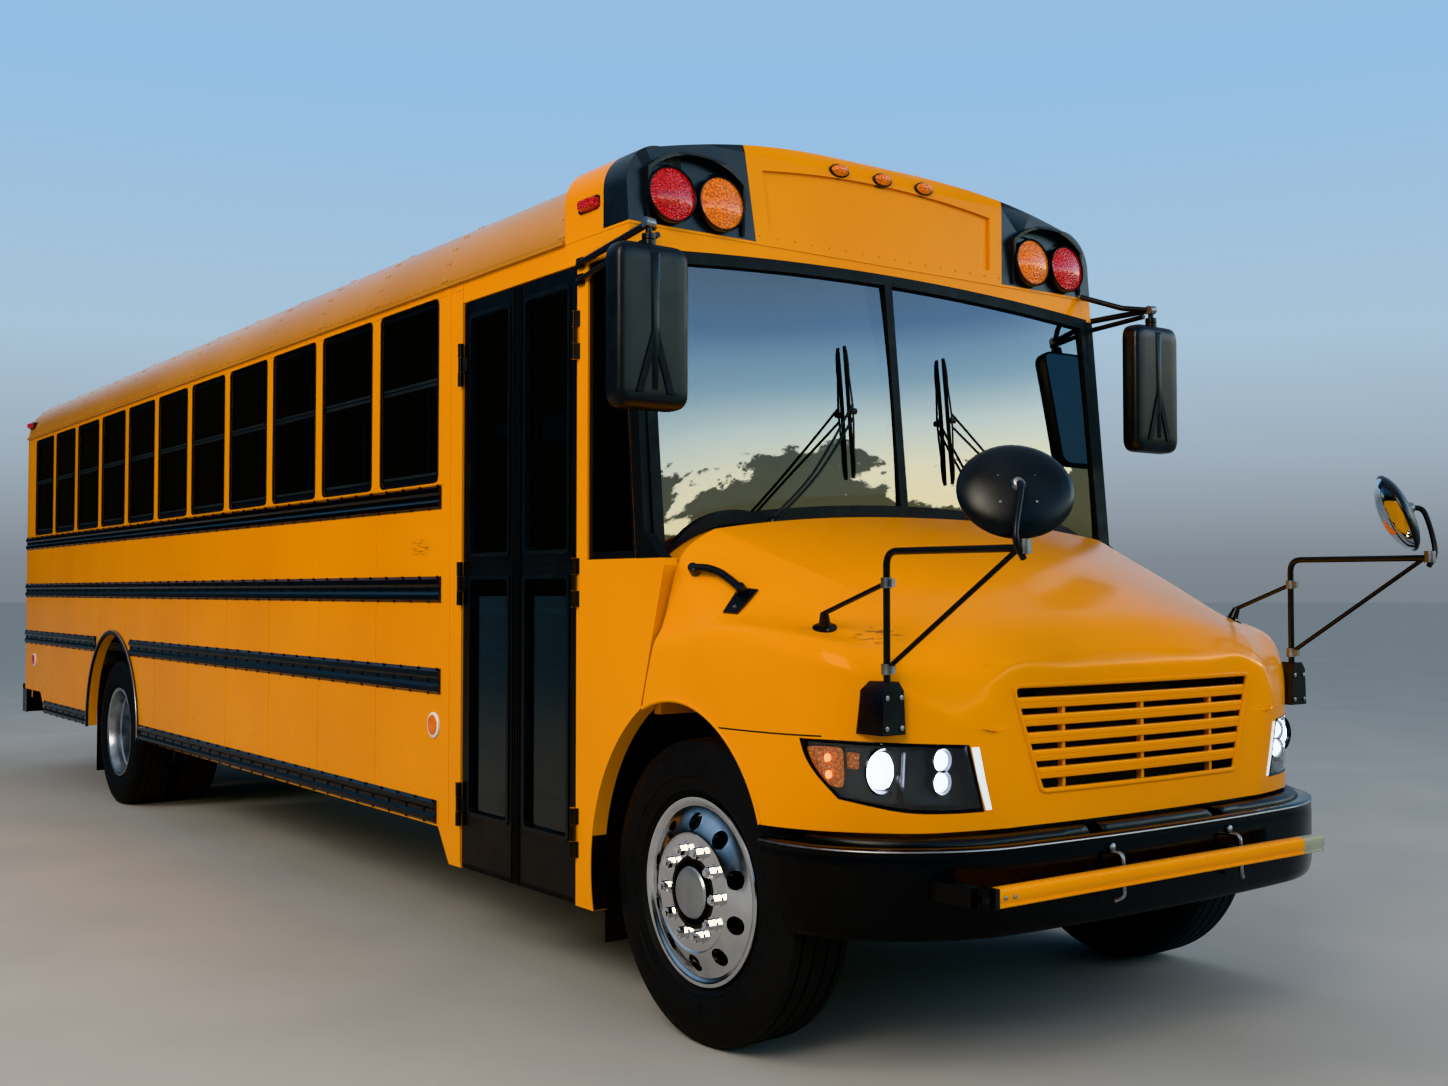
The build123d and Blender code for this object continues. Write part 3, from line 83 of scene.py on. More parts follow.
def hexColour(text):
    parts = [int(text[i:i + 2], 16) / 255 for i in (1, 3, 5)]
    return tuple(p / 12.92 if p <= 0.04045 else ((p + 0.055) / 1.055) ** 2.4 for p in parts) + (1.0,)


def addNode(tree, kind, links=None, **settings):
    node = tree.nodes.new(kind)
    for name, value in settings.items():
        setattr(node, name, value)
    for name, value in (links or {}).items():
        if isinstance(value, bpy.types.NodeSocket):
            tree.links.new(value, node.inputs[name])
        else:
            node.inputs[name].default_value = value
    return node


def noise(tree, place, scale, detail, **more):
    links = {"Vector": place, "Scale": scale, "Detail": detail, **more}
    return addNode(tree, "ShaderNodeTexNoise", links).outputs[0]


def ranged(tree, value, *ends):
    # the ends that the value runs between, then those of the result
    return addNode(tree, "ShaderNodeMapRange", {"Value": value, **dict(enumerate(ends, 1))}).outputs[0]


def maths(tree, operation, first, second):
    return addNode(tree, "ShaderNodeMath", {0: first, 1: second}, operation=operation).outputs[0]


def blended(tree, share, low, high):
    low, high = (hexColour(tone) if isinstance(tone, str) else tone for tone in (low, high))
    return addNode(tree, "ShaderNodeMix", {0: share, 6: low, 7: high}, data_type="RGBA").outputs[2]


def relief(tree, height, distance, **more):
    links = {"Height": height, "Distance": distance / 1000, **more}
    return addNode(tree, "ShaderNodeBump", links).outputs[0]


# Finishes. Patterns are on Object coordinates; sizes are millimetres
def startMaterial(name, constants):
    material = bpy.data.materials.new(name)
    material.use_nodes = True
    tree = material.node_tree
    shader = tree.nodes["Principled BSDF"]
    for socket, value in constants.items():
        shader.inputs[socket].default_value = value
    place = addNode(tree, "ShaderNodeTexCoord").outputs["Object"]
    return material, tree, shader, place


def wired(material, tree, shader, links):
    for socket, output in links.items():
        tree.links.new(output, shader.inputs[socket])
    return material


def mottled(name, colours, roughness, patch, grain, height, **constants):
    # two tones in soft patches, a roughness range, and a fine grain in relief
    material, tree, shader, place = startMaterial(name, constants)
    cloud = noise(tree, place, 1000 / patch, 5.0)
    return wired(material, tree, shader, {
        "Base Color": blended(tree, ranged(tree, cloud, 0.3, 0.7), *colours),
        "Roughness": ranged(tree, cloud, 0.3, 0.7, *roughness),
        "Normal": relief(tree, noise(tree, place, 1000 / grain, 3.0), height)})


def busEnamel(name, colours, dust, marks):
    # school bus yellow enamel, sprayed over steel: gloss, slight orange peel, road film towards the skirt
    material, tree, shader, place = startMaterial(name, {
        "Coat Weight": 0.12, "Coat Roughness": 0.08, "Specular IOR Level": 0.32,
        "Specular Tint": hexColour("#FFB060")})
    fade = noise(tree, place, 0.9, 3.0)
    height = addNode(tree, "ShaderNodeSeparateXYZ", {0: place}).outputs["Z"]
    film = noise(tree, place, 7.0, 8.0, Roughness=0.65)
    filmLevel = maths(tree, "MULTIPLY", film, ranged(tree, height, 1.15, 0.35, 0.0, 1.0))
    filmShare = maths(tree, "MULTIPLY", filmLevel, 0.2)
    colour = blended(tree, filmShare, blended(tree, ranged(tree, fade, 0.35, 0.65), *colours), dust)
    for centre, reach, stretch in marks:
        # a scuff through to grey primer: short strokes inside a soft ellipse
        where = addNode(tree, "ShaderNodeMapping",
                        {0: place, "Location": [-c / r for c, r in zip(centre, reach)],
                                                    "Scale": [1 / r for r in reach]}).outputs[0]
        far = addNode(tree, "ShaderNodeVectorMath", {0: where}, operation="LENGTH").outputs["Value"]
        run = addNode(tree, "ShaderNodeMapping", {0: place, "Scale": stretch}).outputs[0]
        strokes = noise(tree, run, 60.0, 4.0)
        mask = maths(tree, "MULTIPLY", ranged(tree, far, 1.0, 0.5), ranged(tree, strokes, 0.53, 0.60))
        colour = blended(tree, mask, colour, "#9A5F14")
    sheetWave = relief(tree, noise(tree, place, 2.2, 1.0), 12.0, Strength=0.35)
    return wired(material, tree, shader, {
        "Base Color": colour,
        "Roughness": ranged(tree, filmShare, 0.0, 0.16, 0.2, 0.42),
        "Normal": relief(tree, noise(tree, place, 260.0, 1.0), 0.06, Normal=sheetWave)})


def lensAcrylic(name, colours, cell, glow):
    # moulded acrylic lens: a field of small prisms, with a faint emission in its own colour that gives it a
    # lit look: painted glow, also where it serves as a reflector
    # the emission strength is painted glow, for the lamps and the reflectors that share these lenses
    material, tree, shader, place = startMaterial(name, {
        "Roughness": 0.12, "Coat Weight": 0.6, "Coat Roughness": 0.04,
                                                         "Emission Color": hexColour(colours[0]),
        "Emission Strength": glow})
    cells = addNode(tree, "ShaderNodeTexVoronoi", {"Vector": place, "Scale": 1000 / cell}, feature="F1")
    prisms = cells.outputs["Distance"]
    return wired(material, tree, shader, {
        "Base Color": blended(tree, ranged(tree, prisms, 0.1, 0.75), *colours),
        "Normal": relief(tree, prisms, 4.0)})


def sheetGlass(name, colour, bend, film):
    # toughened glass with a body tint, and a faint film of dust that dulls the polish in patches
    material, tree, shader, place = startMaterial(name, {
        "Base Color": hexColour(colour), "IOR": bend, "Transmission Weight": 1.0})
    cloud = noise(tree, place, 3.0, 6.0)
    return wired(material, tree, shader, {"Roughness": ranged(tree, cloud, 0.35, 0.75, 0.0, film)})


def litPlastic(name, colour, roughness, glowColour, glow):
    return startMaterial(name, {
        "Base Color": hexColour(colour), "Roughness": roughness, "Emission Color": hexColour(glowColour),
        "Emission Strength": glow})[0]


sideScuff = ((-1.219, (2000 - noseShift) / 1000, 1.69), (0.05, 0.13, 0.045), (1.0, 0.25, 3.0))
hoodScuff = ((-0.93, (-640 - noseShift) / 1000, 1.36), (0.12, 0.07, 0.06), (0.4, 0.4, 3.0))
finishes = {
    "enamel": busEnamel("schoolBusYellowEnamel", ("#EC9300", "#E48B00"), "#8F6F3C", (sideScuff, hoodScuff)),
    # the roof panels get a paler, greyer copy of the enamel: painted sky light on the top of the bus
    "roofEnamelPaintedSkyLight": busEnamel("paintedSkyLightRoofEnamel", ("#C58A46", "#BB7F3C"), "#A08455", ()),
    # gloss black enamel on rolled steel: deep reflections, a little road dust
    "blackGloss": mottled("glossBlackEnamel", ("#08090B", "#101114"), (0.12, 0.24), 160, 4, 0.03,
                          **{"Specular IOR Level": 0.35}),
    # satin powder coat on folded steel and extrusions
    "blackSatin": mottled("satinBlackPowderCoat", ("#0D0E10", "#17181A"), (0.32, 0.45), 120, 1.5, 0.05),
    # injection-moulded black nylon, a fine leather-like grain
    "blackMoulded": mottled("mouldedBlackNylon", ("#121417", "#1C1F23"), (0.30, 0.42), 90, 1.2, 0.12),
    # slate-black enamel round the warning lamps
    "slate": mottled("slateBlackEnamel", ("#1B1F24", "#272C31"), (0.25, 0.38), 140, 3, 0.05),
    # extruded EPDM rubber, matt
    "gasket": mottled("extrudedRubberGasket", ("#0A0A0B", "#141415"), (0.55, 0.7), 60, 2, 0.1),
    # tyre rubber, carbon black with a bloom of road dust
    "tyre": mottled("tyreRubberDusted", ("#121315", "#1D1E20"), (0.62, 0.8), 70, 3, 0.2),
    # forged aluminium, polished
    "aluminium": mottled("polishedForgedAluminium", ("#C9CCD0", "#DADCDF"), (0.12, 0.24), 60, 6, 0.02,
                         Metallic=1.0),
    # forged aluminium left machined, as on the twin wheels
    "machined": mottled("machinedAluminium", ("#A9ADB2", "#BEC2C6"), (0.28, 0.42), 60, 3, 0.03, Metallic=1.0),
    # chrome-plated steel nuts and caps
    "chrome": mottled("chromePlatedSteel", ("#D6D8DB", "#E4E6E8"), (0.05, 0.12), 40, 8, 0.01, Metallic=1.0),
    # zinc-plated steel hardware
    "zinc": mottled("zincPlatedSteel", ("#8D9094", "#A7AAAD"), (0.3, 0.45), 30, 2, 0.02, Metallic=1.0),
    # chassis paint over hot-rolled steel
    "chassis": mottled("satinChassisPaint", ("#101113", "#1E1D1C"), (0.45, 0.65), 180, 4, 0.25),
    # sand-cast iron with a light rust bloom
    "cast": mottled("castIronRustBloom", ("#242120", "#3A2C24"), (0.6, 0.8), 90, 3, 0.5),
    # aluminised steel pipe, heat-stained
    "pipe": mottled("aluminisedSteelPipe", ("#6B655D", "#857E74"), (0.4, 0.6), 140, 5, 0.15, Metallic=0.8),
    # coated-fabric seat covers, dark green-grey
    "vinyl": mottled("coatedFabricVinyl", ("#2B3A38", "#34443F"), (0.42, 0.55), 160, 1.4, 0.12),
    "seatSteel": mottled("powderCoatedSeatTube", ("#222426", "#2C2E30"), (0.4, 0.5), 80, 2, 0.05),
    # ribbed rubber floor covering
    "floor": mottled("rubberFloorCovering", ("#1C1D1E", "#262727"), (0.55, 0.7), 300, 2, 0.1),
    "mirror": mottled("silveredMirrorGlass", ("#C8D0D6", "#D2D9DE"), (0.0, 0.02), 300, 60, 0.0, Metallic=1.0),
    # red and amber lenses glow faintly: painted glow
    "red": lensAcrylic("redPrismAcrylicPaintedGlow", ("#E8221C", "#7A0A0C"), 9, 0.12),
    "amber": lensAcrylic("amberPrismAcrylicPaintedGlow", ("#FF8A12", "#B34A02"), 9, 0.12),
    "sideGlass": sheetGlass("tintedSideGlass", "#1F2A2F", 1.5, 0.03),
    # laminated windshield glass with a solar film: it mirrors the sky more than plain glass does
    "screenGlass": sheetGlass("solarFilmScreenGlass", "#2E3B40", 2.0, 0.01),
    "doorGlass": sheetGlass("tintedDoorGlass", "#6F8586", 1.6, 0.02),
    # dark anodised window rails, lighter than the black sashes: the rails' tone and a painted highlight along
    # each rail
    "sashRailAndHighlight": mottled("darkAnodisedSashRailAndPaintedHighlight", ("#4B5054", "#585E62"), (0.3, 0.42), 90, 2, 0.03,
                        Metallic=0.7),
    # bright rolled edge of the flares
    "brightEdge": mottled("brushedAluminiumEdge", ("#B9BCC0", "#CBCED1"), (0.25, 0.35), 50, 3, 0.02,
                          Metallic=1.0),
    # grey moulded rubber of the wheel arch flares
    "flare": mottled("greyMouldedFlare", ("#2F3235", "#3B3F42"), (0.4, 0.55), 80, 2, 0.1),
    "signRed": mottled("redReflectiveSheet", ("#A30F16", "#B0141B"), (0.3, 0.4), 120, 1.5, 0.03),
    "signWhite": mottled("whiteReflectiveSheet", ("#D9DBDC", "#E3E4E4"), (0.3, 0.4), 120, 1.5, 0.03),
}
print("finishes made:", len(finishes))


# Meshes from rings of points
class Sketch:
    def __init__(self):
        self.points, self.faces, self.finishes = [], [], []

    def add(self, points, faces, finish=0):
        base = len(self.points)
        self.points += [Vector(p) for p in points]
        self.faces += [[base + i for i in face] for face in faces]
        self.finishes += [finish] * len(faces)

    def net(self, rings, closed=False, caps=False, finish=0):
        count = len(rings[0])
        spans = count if closed else count - 1
        faces = [[r * count + i, r * count + (i + 1) % count, (r + 1) * count + (i + 1) % count,
                  (r + 1) * count + i]
                 for r in range(len(rings) - 1) for i in range(spans)]
        if caps:
            faces += [list(range(count))[::-1], [(len(rings) - 1) * count + i for i in range(count)]]
        self.add([p for ring in rings for p in ring], faces, finish)

    def turn(self, profile, centre, axis, steps=32, finish=0, closed=False):
        # profile rows are (along the axis, radius); closed joins the last row to the first
        axis = Vector(axis).normalized()
        side = axis.orthogonal().normalized()
        up = axis.cross(side)
        rows = list(profile) + ([profile[0]] if closed else [])
        self.net([[centre + axis * a + (side * cos(t) + up * sin(t)) * max(r, 0.0) for t in turns(steps)]
                  for a, r in rows], closed=True, finish=finish)

    def tube(self, path, radius, sides=12, finish=0):
        radii = radius if isinstance(radius, (list, tuple)) else [radius] * len(path)
        across = None
        rings = []
        for i, point in enumerate(path):
            ahead = (path[min(i + 1, len(path) - 1)] - path[max(i - 1, 0)]).normalized()
            across = ahead.orthogonal() if across is None else across - ahead * across.dot(ahead)
            across.normalize()
            other = ahead.cross(across)
            rings.append([point + (across * cos(t) + other * sin(t)) * radii[i] for t in turns(sides)])
        self.net(rings, closed=True, caps=True, finish=finish)

    def prism(self, outline, depth, finish=0):
        # a flat outline of points, pushed out along the vector depth
        self.net([outline, [p + depth for p in outline]], closed=True, caps=True, finish=finish)

    def block(self, low, high, finish=0):
        (x0, y0, z0), (x1, y1, z1) = low, high
        base = [Vector((x0, y0, z0)), Vector((x1, y0, z0)), Vector((x1, y1, z0)), Vector((x0, y1, z0))]
        self.prism(base, Vector((0, 0, z1 - z0)), finish)

    def strip(self, side, s0, s1, z0, z1, out0, out1, finish=0):
        # a block on one side, between two stations, two heights and two distances from the middle
        inner, outer = sorted((side * out0, side * out1))
        self.block(at(inner, s0, z0), at(outer, s1, z1), finish)

    def make(self, name, looks, sharp=35):
        # looks are names of finishes
        mesh = bpy.data.meshes.new(name)
        mesh.from_pydata(self.points, [], self.faces)
        for look in looks:
            mesh.materials.append(finishes[look])
        mesh.polygons.foreach_set("material_index", self.finishes)
        work = bmesh.new()
        work.from_mesh(mesh)
        bmesh.ops.remove_doubles(work, verts=work.verts, dist=1e-5)
        bmesh.ops.recalc_face_normals(work, faces=work.faces)
        work.to_mesh(mesh)
        work.free()
        return placeMesh(name, mesh, sharp)


def linked(name, data):
    piece = bpy.data.objects.new(name, data)
    bpy.context.scene.collection.objects.link(piece)
    return piece


def collar(low, high, inner, outer):
    # the profile of a sleeve or of a drum
    return [(low, inner), (low, outer), (high, outer), (high, inner)]


def placeMesh(name, mesh, sharp=35):
    mesh.shade_smooth()
    mesh.set_sharp_from_angle(angle=radians(sharp))
    return linked(name, mesh)


def settle(piece, body, slot, *replaced):
    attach(piece, body)
    if replaced:
        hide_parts(*replaced)
    return piece


def modified(piece, kind, **settings):
    modifier = piece.modifiers.new(kind.lower(), kind)
    for name, value in settings.items():
        setattr(modifier, name, value)
    return modifier


def applied(piece):
    # the piece's evaluated shape as a plain mesh, with its modifiers gone
    bpy.context.view_layer.update()
    evaluated = piece.evaluated_get(bpy.context.evaluated_depsgraph_get())
    mesh = bpy.data.meshes.new_from_object(evaluated)
    piece.modifiers.clear()
    old = piece.data
    piece.data = mesh
    bpy.data.meshes.remove(old)
    return piece


def cutAway(piece, cutter):
    modified(piece, "BOOLEAN", object=cutter, operation="DIFFERENCE", solver="EXACT")
    applied(piece)
    bpy.data.objects.remove(cutter)
    return piece


def surfaceOf(mesh):
    # what rays are cast on
    work = bmesh.new()
    work.from_mesh(mesh)
    surface = BVHTree.FromBMesh(work)
    work.free()
    return surface


def bent(points, radius, steps=6):
    # a path whose corners are rounded to a radius
    path = [points[0]]
    for before, corner, after in zip(points, points[1:], points[2:]):
        back, ahead = (before - corner), (after - corner)
        angle = back.angle(ahead)
        reach = min(radius / max(tan(angle / 2), 1e-3), 0.48 * back.length, 0.48 * ahead.length)
        start, end = corner + back.normalized() * reach, corner + ahead.normalized() * reach
        for k in range(steps + 1):
            t = k / steps
            path.append(start * (1 - t) ** 2 + corner * 2 * t * (1 - t) + end * t * t)
    return path + [points[-1]]


def smoothLine(points, steps=8):
    # Catmull-Rom line through a few points
    out = []
    for i in range(len(points) - 1):
        p0 = points[max(i - 1, 0)]
        p1, p2 = points[i], points[i + 1]
        p3 = points[min(i + 2, len(points) - 1)]
        for k in range(steps):
            t = k / steps
            out.append(0.5 * (2 * p1 + (p2 - p0) * t + (2 * p0 - 5 * p1 + 4 * p2 - p3) * t * t
                              + (3 * p1 - p0 - 3 * p2 + p3) * t ** 3))
    return out + [points[-1]]


def softened(node, look, width, slot, sharp=30):
    # a CAD node's own shape with its edges rounded
    mesh = nodes[node].data.copy()
    mesh.materials.clear()
    mesh.materials.append(finishes[look])
    work = bmesh.new()
    work.from_mesh(mesh)
    bmesh.ops.remove_doubles(work, verts=work.verts, dist=2e-6)
    bmesh.ops.dissolve_limit(work, angle_limit=radians(0.4), verts=work.verts, edges=work.edges)
    work.to_mesh(mesh)
    work.free()
    piece = placeMesh(node + "Softened", mesh, sharp)
    modified(piece, "BEVEL", width=width / 1000, segments=2, limit_method="ANGLE", angle_limit=radians(sharp),
             use_clamp_overlap=True)
    return settle(piece, nodes[node]["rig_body"], slot, node)


# Node trees that set out repeats, with their numbers and sizes as inputs of the modifier
def geometryTree(name, inputs):
    # inputs are (name, kind)
    tree = bpy.data.node_groups.new(name, "GeometryNodeTree")
    for label, kind in (("Geometry", "Geometry"), *inputs):
        tree.interface.new_socket(label, in_out="INPUT", socket_type="NodeSocket" + kind)
    tree.interface.new_socket("Geometry", in_out="OUTPUT", socket_type="NodeSocketGeometry")
    return tree, addNode(tree, "NodeGroupInput").outputs


def setOut(name, mesh, tree, sizes):
    # a mesh of points run through a node tree
    piece = linked(name, mesh)
    repeat = modified(piece, "NODES", node_group=tree)
    for item in tree.interface.items_tree:
        if item.name in sizes:
            repeat[item.identifier] = sizes[item.name]
    return applied(piece)


# Studs along lines: the line's own spacing, facing away from what carries them
def studTree(name, look):
    tree, given = geometryTree(name, [(label, "Float") for label in ("Spacing", "Radius", "Height")])
    line = addNode(tree, "GeometryNodeMeshToCurve", {"Mesh": given["Geometry"]})
    even = addNode(tree, "GeometryNodeResampleCurve", {"Curve": line.outputs[0], "Length": given["Spacing"]},
                   mode="LENGTH")
    facing = addNode(tree, "GeometryNodeInputNamedAttribute", {"Name": "facing"}, data_type="FLOAT_VECTOR")
    turned = addNode(tree, "FunctionNodeAlignRotationToVector", {"Vector": facing.outputs[0]}, axis="Z")
    dome = addNode(tree, "GeometryNodeMeshUVSphere", {"Segments": 7, "Rings": 4, "Radius": 1.0})
    size = addNode(tree, "ShaderNodeCombineXYZ", {0: given["Radius"], 1: given["Radius"], 2: given["Height"]})
    placed = addNode(tree, "GeometryNodeInstanceOnPoints", {
        "Points": even.outputs[0], "Instance": dome.outputs[0], "Rotation": turned.outputs[0],
        "Scale": size.outputs[0]})
    real = addNode(tree, "GeometryNodeRealizeInstances", {0: placed.outputs[0]})
    smooth = addNode(tree, "GeometryNodeSetShadeSmooth", {0: real.outputs[0]})
    coloured = addNode(tree, "GeometryNodeSetMaterial", {"Geometry": smooth.outputs[0], "Material": look})
    addNode(tree, "NodeGroupOutput", {"Geometry": coloured.outputs[0]})
    return tree


def studs(name, lines, spacing, radius, height, look, body, slot):
    # lines are (points, facing)
    points, edges, facings = [], [], []
    for line, facing in lines:
        edges += [(len(points) + i, len(points) + i + 1) for i in range(len(line) - 1)]
        points += line
        facings += [Vector(facing).normalized()] * len(line)
    mesh = bpy.data.meshes.new(name)
    mesh.from_pydata(points, edges, [])
    carried = mesh.attributes.new("facing", "FLOAT_VECTOR", "POINT")
    carried.data.foreach_set("vector", [c for f in facings for c in f])
    sizes = {"Spacing": spacing / 1000, "Radius": radius / 1000, "Height": height / 1000}
    return settle(setOut(name, mesh, studTree(name + "Tree", finishes[look]), sizes), body, slot)


# Camera, floor and light, from the photograph's measured view
view = {"place": (-4.05526, -8.38851, 1.49839), "yaw": 36.3847, "pitch": 1.8342, "focal": 1504.82,
        "width": 1448}
camera = bpy.data.cameras.new("photoView")
camera.sensor_width = 36.0
camera.lens = view["focal"] * 36.0 / view["width"]
camera.clip_end = 200.0
viewer = linked("photoView", camera)
viewer.location = view["place"]
viewer.rotation_euler = (radians(90 + view["pitch"]), 0, radians(-view["yaw"]))
bpy.context.scene.camera = viewer
bpy.context.scene.view_settings.view_transform = "Khronos PBR Neutral"

floorMesh = bpy.data.meshes.new("studioFloor")
floorMesh.from_pydata([(-400, -400, 0), (400, -400, 0), (400, 400, 0), (-400, 400, 0)], [], [(0, 1, 2, 3)])
floorPlane = linked("studioFloor", floorMesh)
floorMesh.materials.append(mottled("paleStudioFloor", ("#A5A39F", "#AEABA7"), (0.9, 1.0), 900, 3, 0.05))

sky = bpy.data.worlds.new("softStudioSky")
sky.use_nodes = True
bpy.context.scene.world = sky
skyTree = sky.node_tree
skyPlace = addNode(skyTree, "ShaderNodeTexCoord").outputs["Generated"]
skyX, skyY, skyZ = addNode(skyTree, "ShaderNodeSeparateXYZ", {0: skyPlace}).outputs


def skyBand(stops):
    ramp = addNode(skyTree, "ShaderNodeValToRGB", {0: skyZ})
    for place, tone in stops:
        stop = ramp.color_ramp.elements.new(place) if place else ramp.color_ramp.elements[0]
        stop.color = hexColour(tone)
    ramp.color_ramp.elements.remove(ramp.color_ramp.elements[-1])
    return ramp.outputs[0]


# behind the bus a plain pale sky; ahead of it a bright warm band under blue, over a dark uneven foot
behind = skyBand(((0.0, "#868E96"), (0.02, "#8B939B"), (0.08, "#A5B3BF"), (0.16, "#B0C9DC"),
                  (0.32, "#9DC6EA"),
                  (0.75, "#B2BCC6")))
ahead = skyBand(((0.0, "#6B6656"), (0.10, "#9A9276"), (0.15, "#FBEFC4"), (0.20, "#F3EED2"),
                 (0.245, "#CFDEDB"),
                 (0.29, "#93B3C6"), (0.35, "#6E8FB2"), (0.45, "#8C9EB4"), (0.75, "#A2ADB8")))
crest = ranged(skyTree, noise(skyTree, skyPlace, 11.0, 8.0, Roughness=0.62), 0.35, 0.65, 0.145, 0.262)
dark = ranged(skyTree, maths(skyTree, "SUBTRACT", crest, skyZ), 0.0, 0.006, 0.0, 0.88)
isAhead = ranged(skyTree, skyY, 0.05, -0.15)
around = blended(skyTree, isAhead, behind, blended(skyTree, dark, ahead, "#26302A"))
# the curb side stands against darker surroundings, low down, so its glass and paint stay deep
shaded = maths(skyTree, "MULTIPLY", ranged(skyTree, skyX, 0.10, -0.10), ranged(skyTree, skyZ, 0.5, 0.2))
skyTone = blended(skyTree, shaded, around, "#2C2B27")
# the low band ahead is brighter than the rest of the sky
notShaded = maths(skyTree, "SUBTRACT", 1.0, shaded)
band = maths(skyTree, "MULTIPLY", ranged(skyTree, skyZ, 0.5, 0.32), notShaded)
power = ranged(skyTree, maths(skyTree, "MULTIPLY", band, isAhead), 0.0, 1.0, 1.0, 6.5)
# the picture's own backdrop is the plain one on every side; the rest only lights and is mirrored
seen = addNode(skyTree, "ShaderNodeLightPath").outputs["Is Camera Ray"]
background = skyTree.nodes["Background"]
skyTree.links.new(blended(skyTree, seen, skyTone, behind), background.inputs["Color"])
skyTree.links.new(ranged(skyTree, seen, 0.0, 1.0, power, 1.0), background.inputs["Strength"])

lampRows = (
    # name, place, aimed at, size, watts, colour
    ("keySoftbox", (-9.0, -9.5, 7.5), (0.0, -3.0, 1.4), 5.0, 660.0, "#FFF0DA"),
    ("sideSoftbox", (-12.0, 1.0, 7.5), (0.0, 1.0, 1.5), 6.0, 860.0, "#FFF0DA"),
    ("noseSoftbox", (5.0, -12.0, 5.5), (0.3, -4.5, 1.3), 4.0, 200.0, "#F7F4EC"),
    ("roofSoftbox", (2.0, 2.0, 10.0), (0.0, 0.0, 3.0), 6.0, 260.0, "#EAF1FF"),
)
for name, place, aim, size, watts, colour in lampRows:
    lamp = bpy.data.lights.new(name, "AREA")
    lamp.size = size
    lamp.energy = watts
    lamp.color = hexColour(colour)[:3]
    holder = linked(name, lamp)
    holder.location = place
    holder.rotation_euler = (Vector(aim) - Vector(place)).to_track_quat("-Z", "Y").to_euler()
    holder.visible_glossy = name == "keySoftbox"
print("camera, floor and light placed")

# Finishes of the CAD nodes that keep their own shape
nodeLooks = {
    "enamel": ("side_wall_left", "side_wall_right", "entrance_surround", "front_cap", "cowl", "rear_wall",
               "emergency_door", "hood", "grille", "crossing_arm"),
    "roofEnamelPaintedSkyLight": ("roof_panel",),
    "blackGloss": ("rub_rails", "front_bumper", "rear_bumper", "arm_housings"),
    "blackSatin": ("door_leaf_front", "door_leaf_rear", "window_sashes", "wipers"),
    "blackMoulded": ("crossing_mirrors", "side_mirrors", "dashboard", "steering_wheel", "headlamps"),
    "slate": ("lamp_pods",),
    "gasket": ("windshield_frame", "mud_flaps"),
    "tyre": ("front_tyre_left", "front_tyre_right", "rear_tyres_left", "rear_tyres_right"),
    "aluminium": ("front_wheel_left", "front_wheel_right"),
    "machined": ("rear_wheels_left", "rear_wheels_right"),
    "chassis": ("chassis_frame", "leaf_springs", "radiator", "fuel_tank"),
    "cast": ("front_axle", "rear_axle", "engine_block", "drive_shaft", "steering_knuckle_left",
             "steering_knuckle_right"),
    "pipe": ("exhaust",),
    "vinyl": ("seat_cushions", "driver_seat"),
    "seatSteel": ("seat_frames",),
    "floor": ("floor_panel", "step_well"),
    "red": ("red_lamps",),
    "amber": ("amber_lamps",),
    "sideGlass": ("window_panes", "emergency_door_glass"),
    "doorGlass": ("door_glass_front", "door_glass_rear"),
    "screenGlass": ("windshield_glass",),
    "signRed": ("stop_arm",),
    "flare": ("arch_flares",),
}
for look, members in nodeLooks.items():
    for member in members:
        slots = nodes[member].data.materials
        slots.clear()
        slots.append(finishes[look])
missing = sorted(set(nodes) - {m for members in nodeLooks.values() for m in members})
print("finishes given to the CAD nodes, without:", missing)

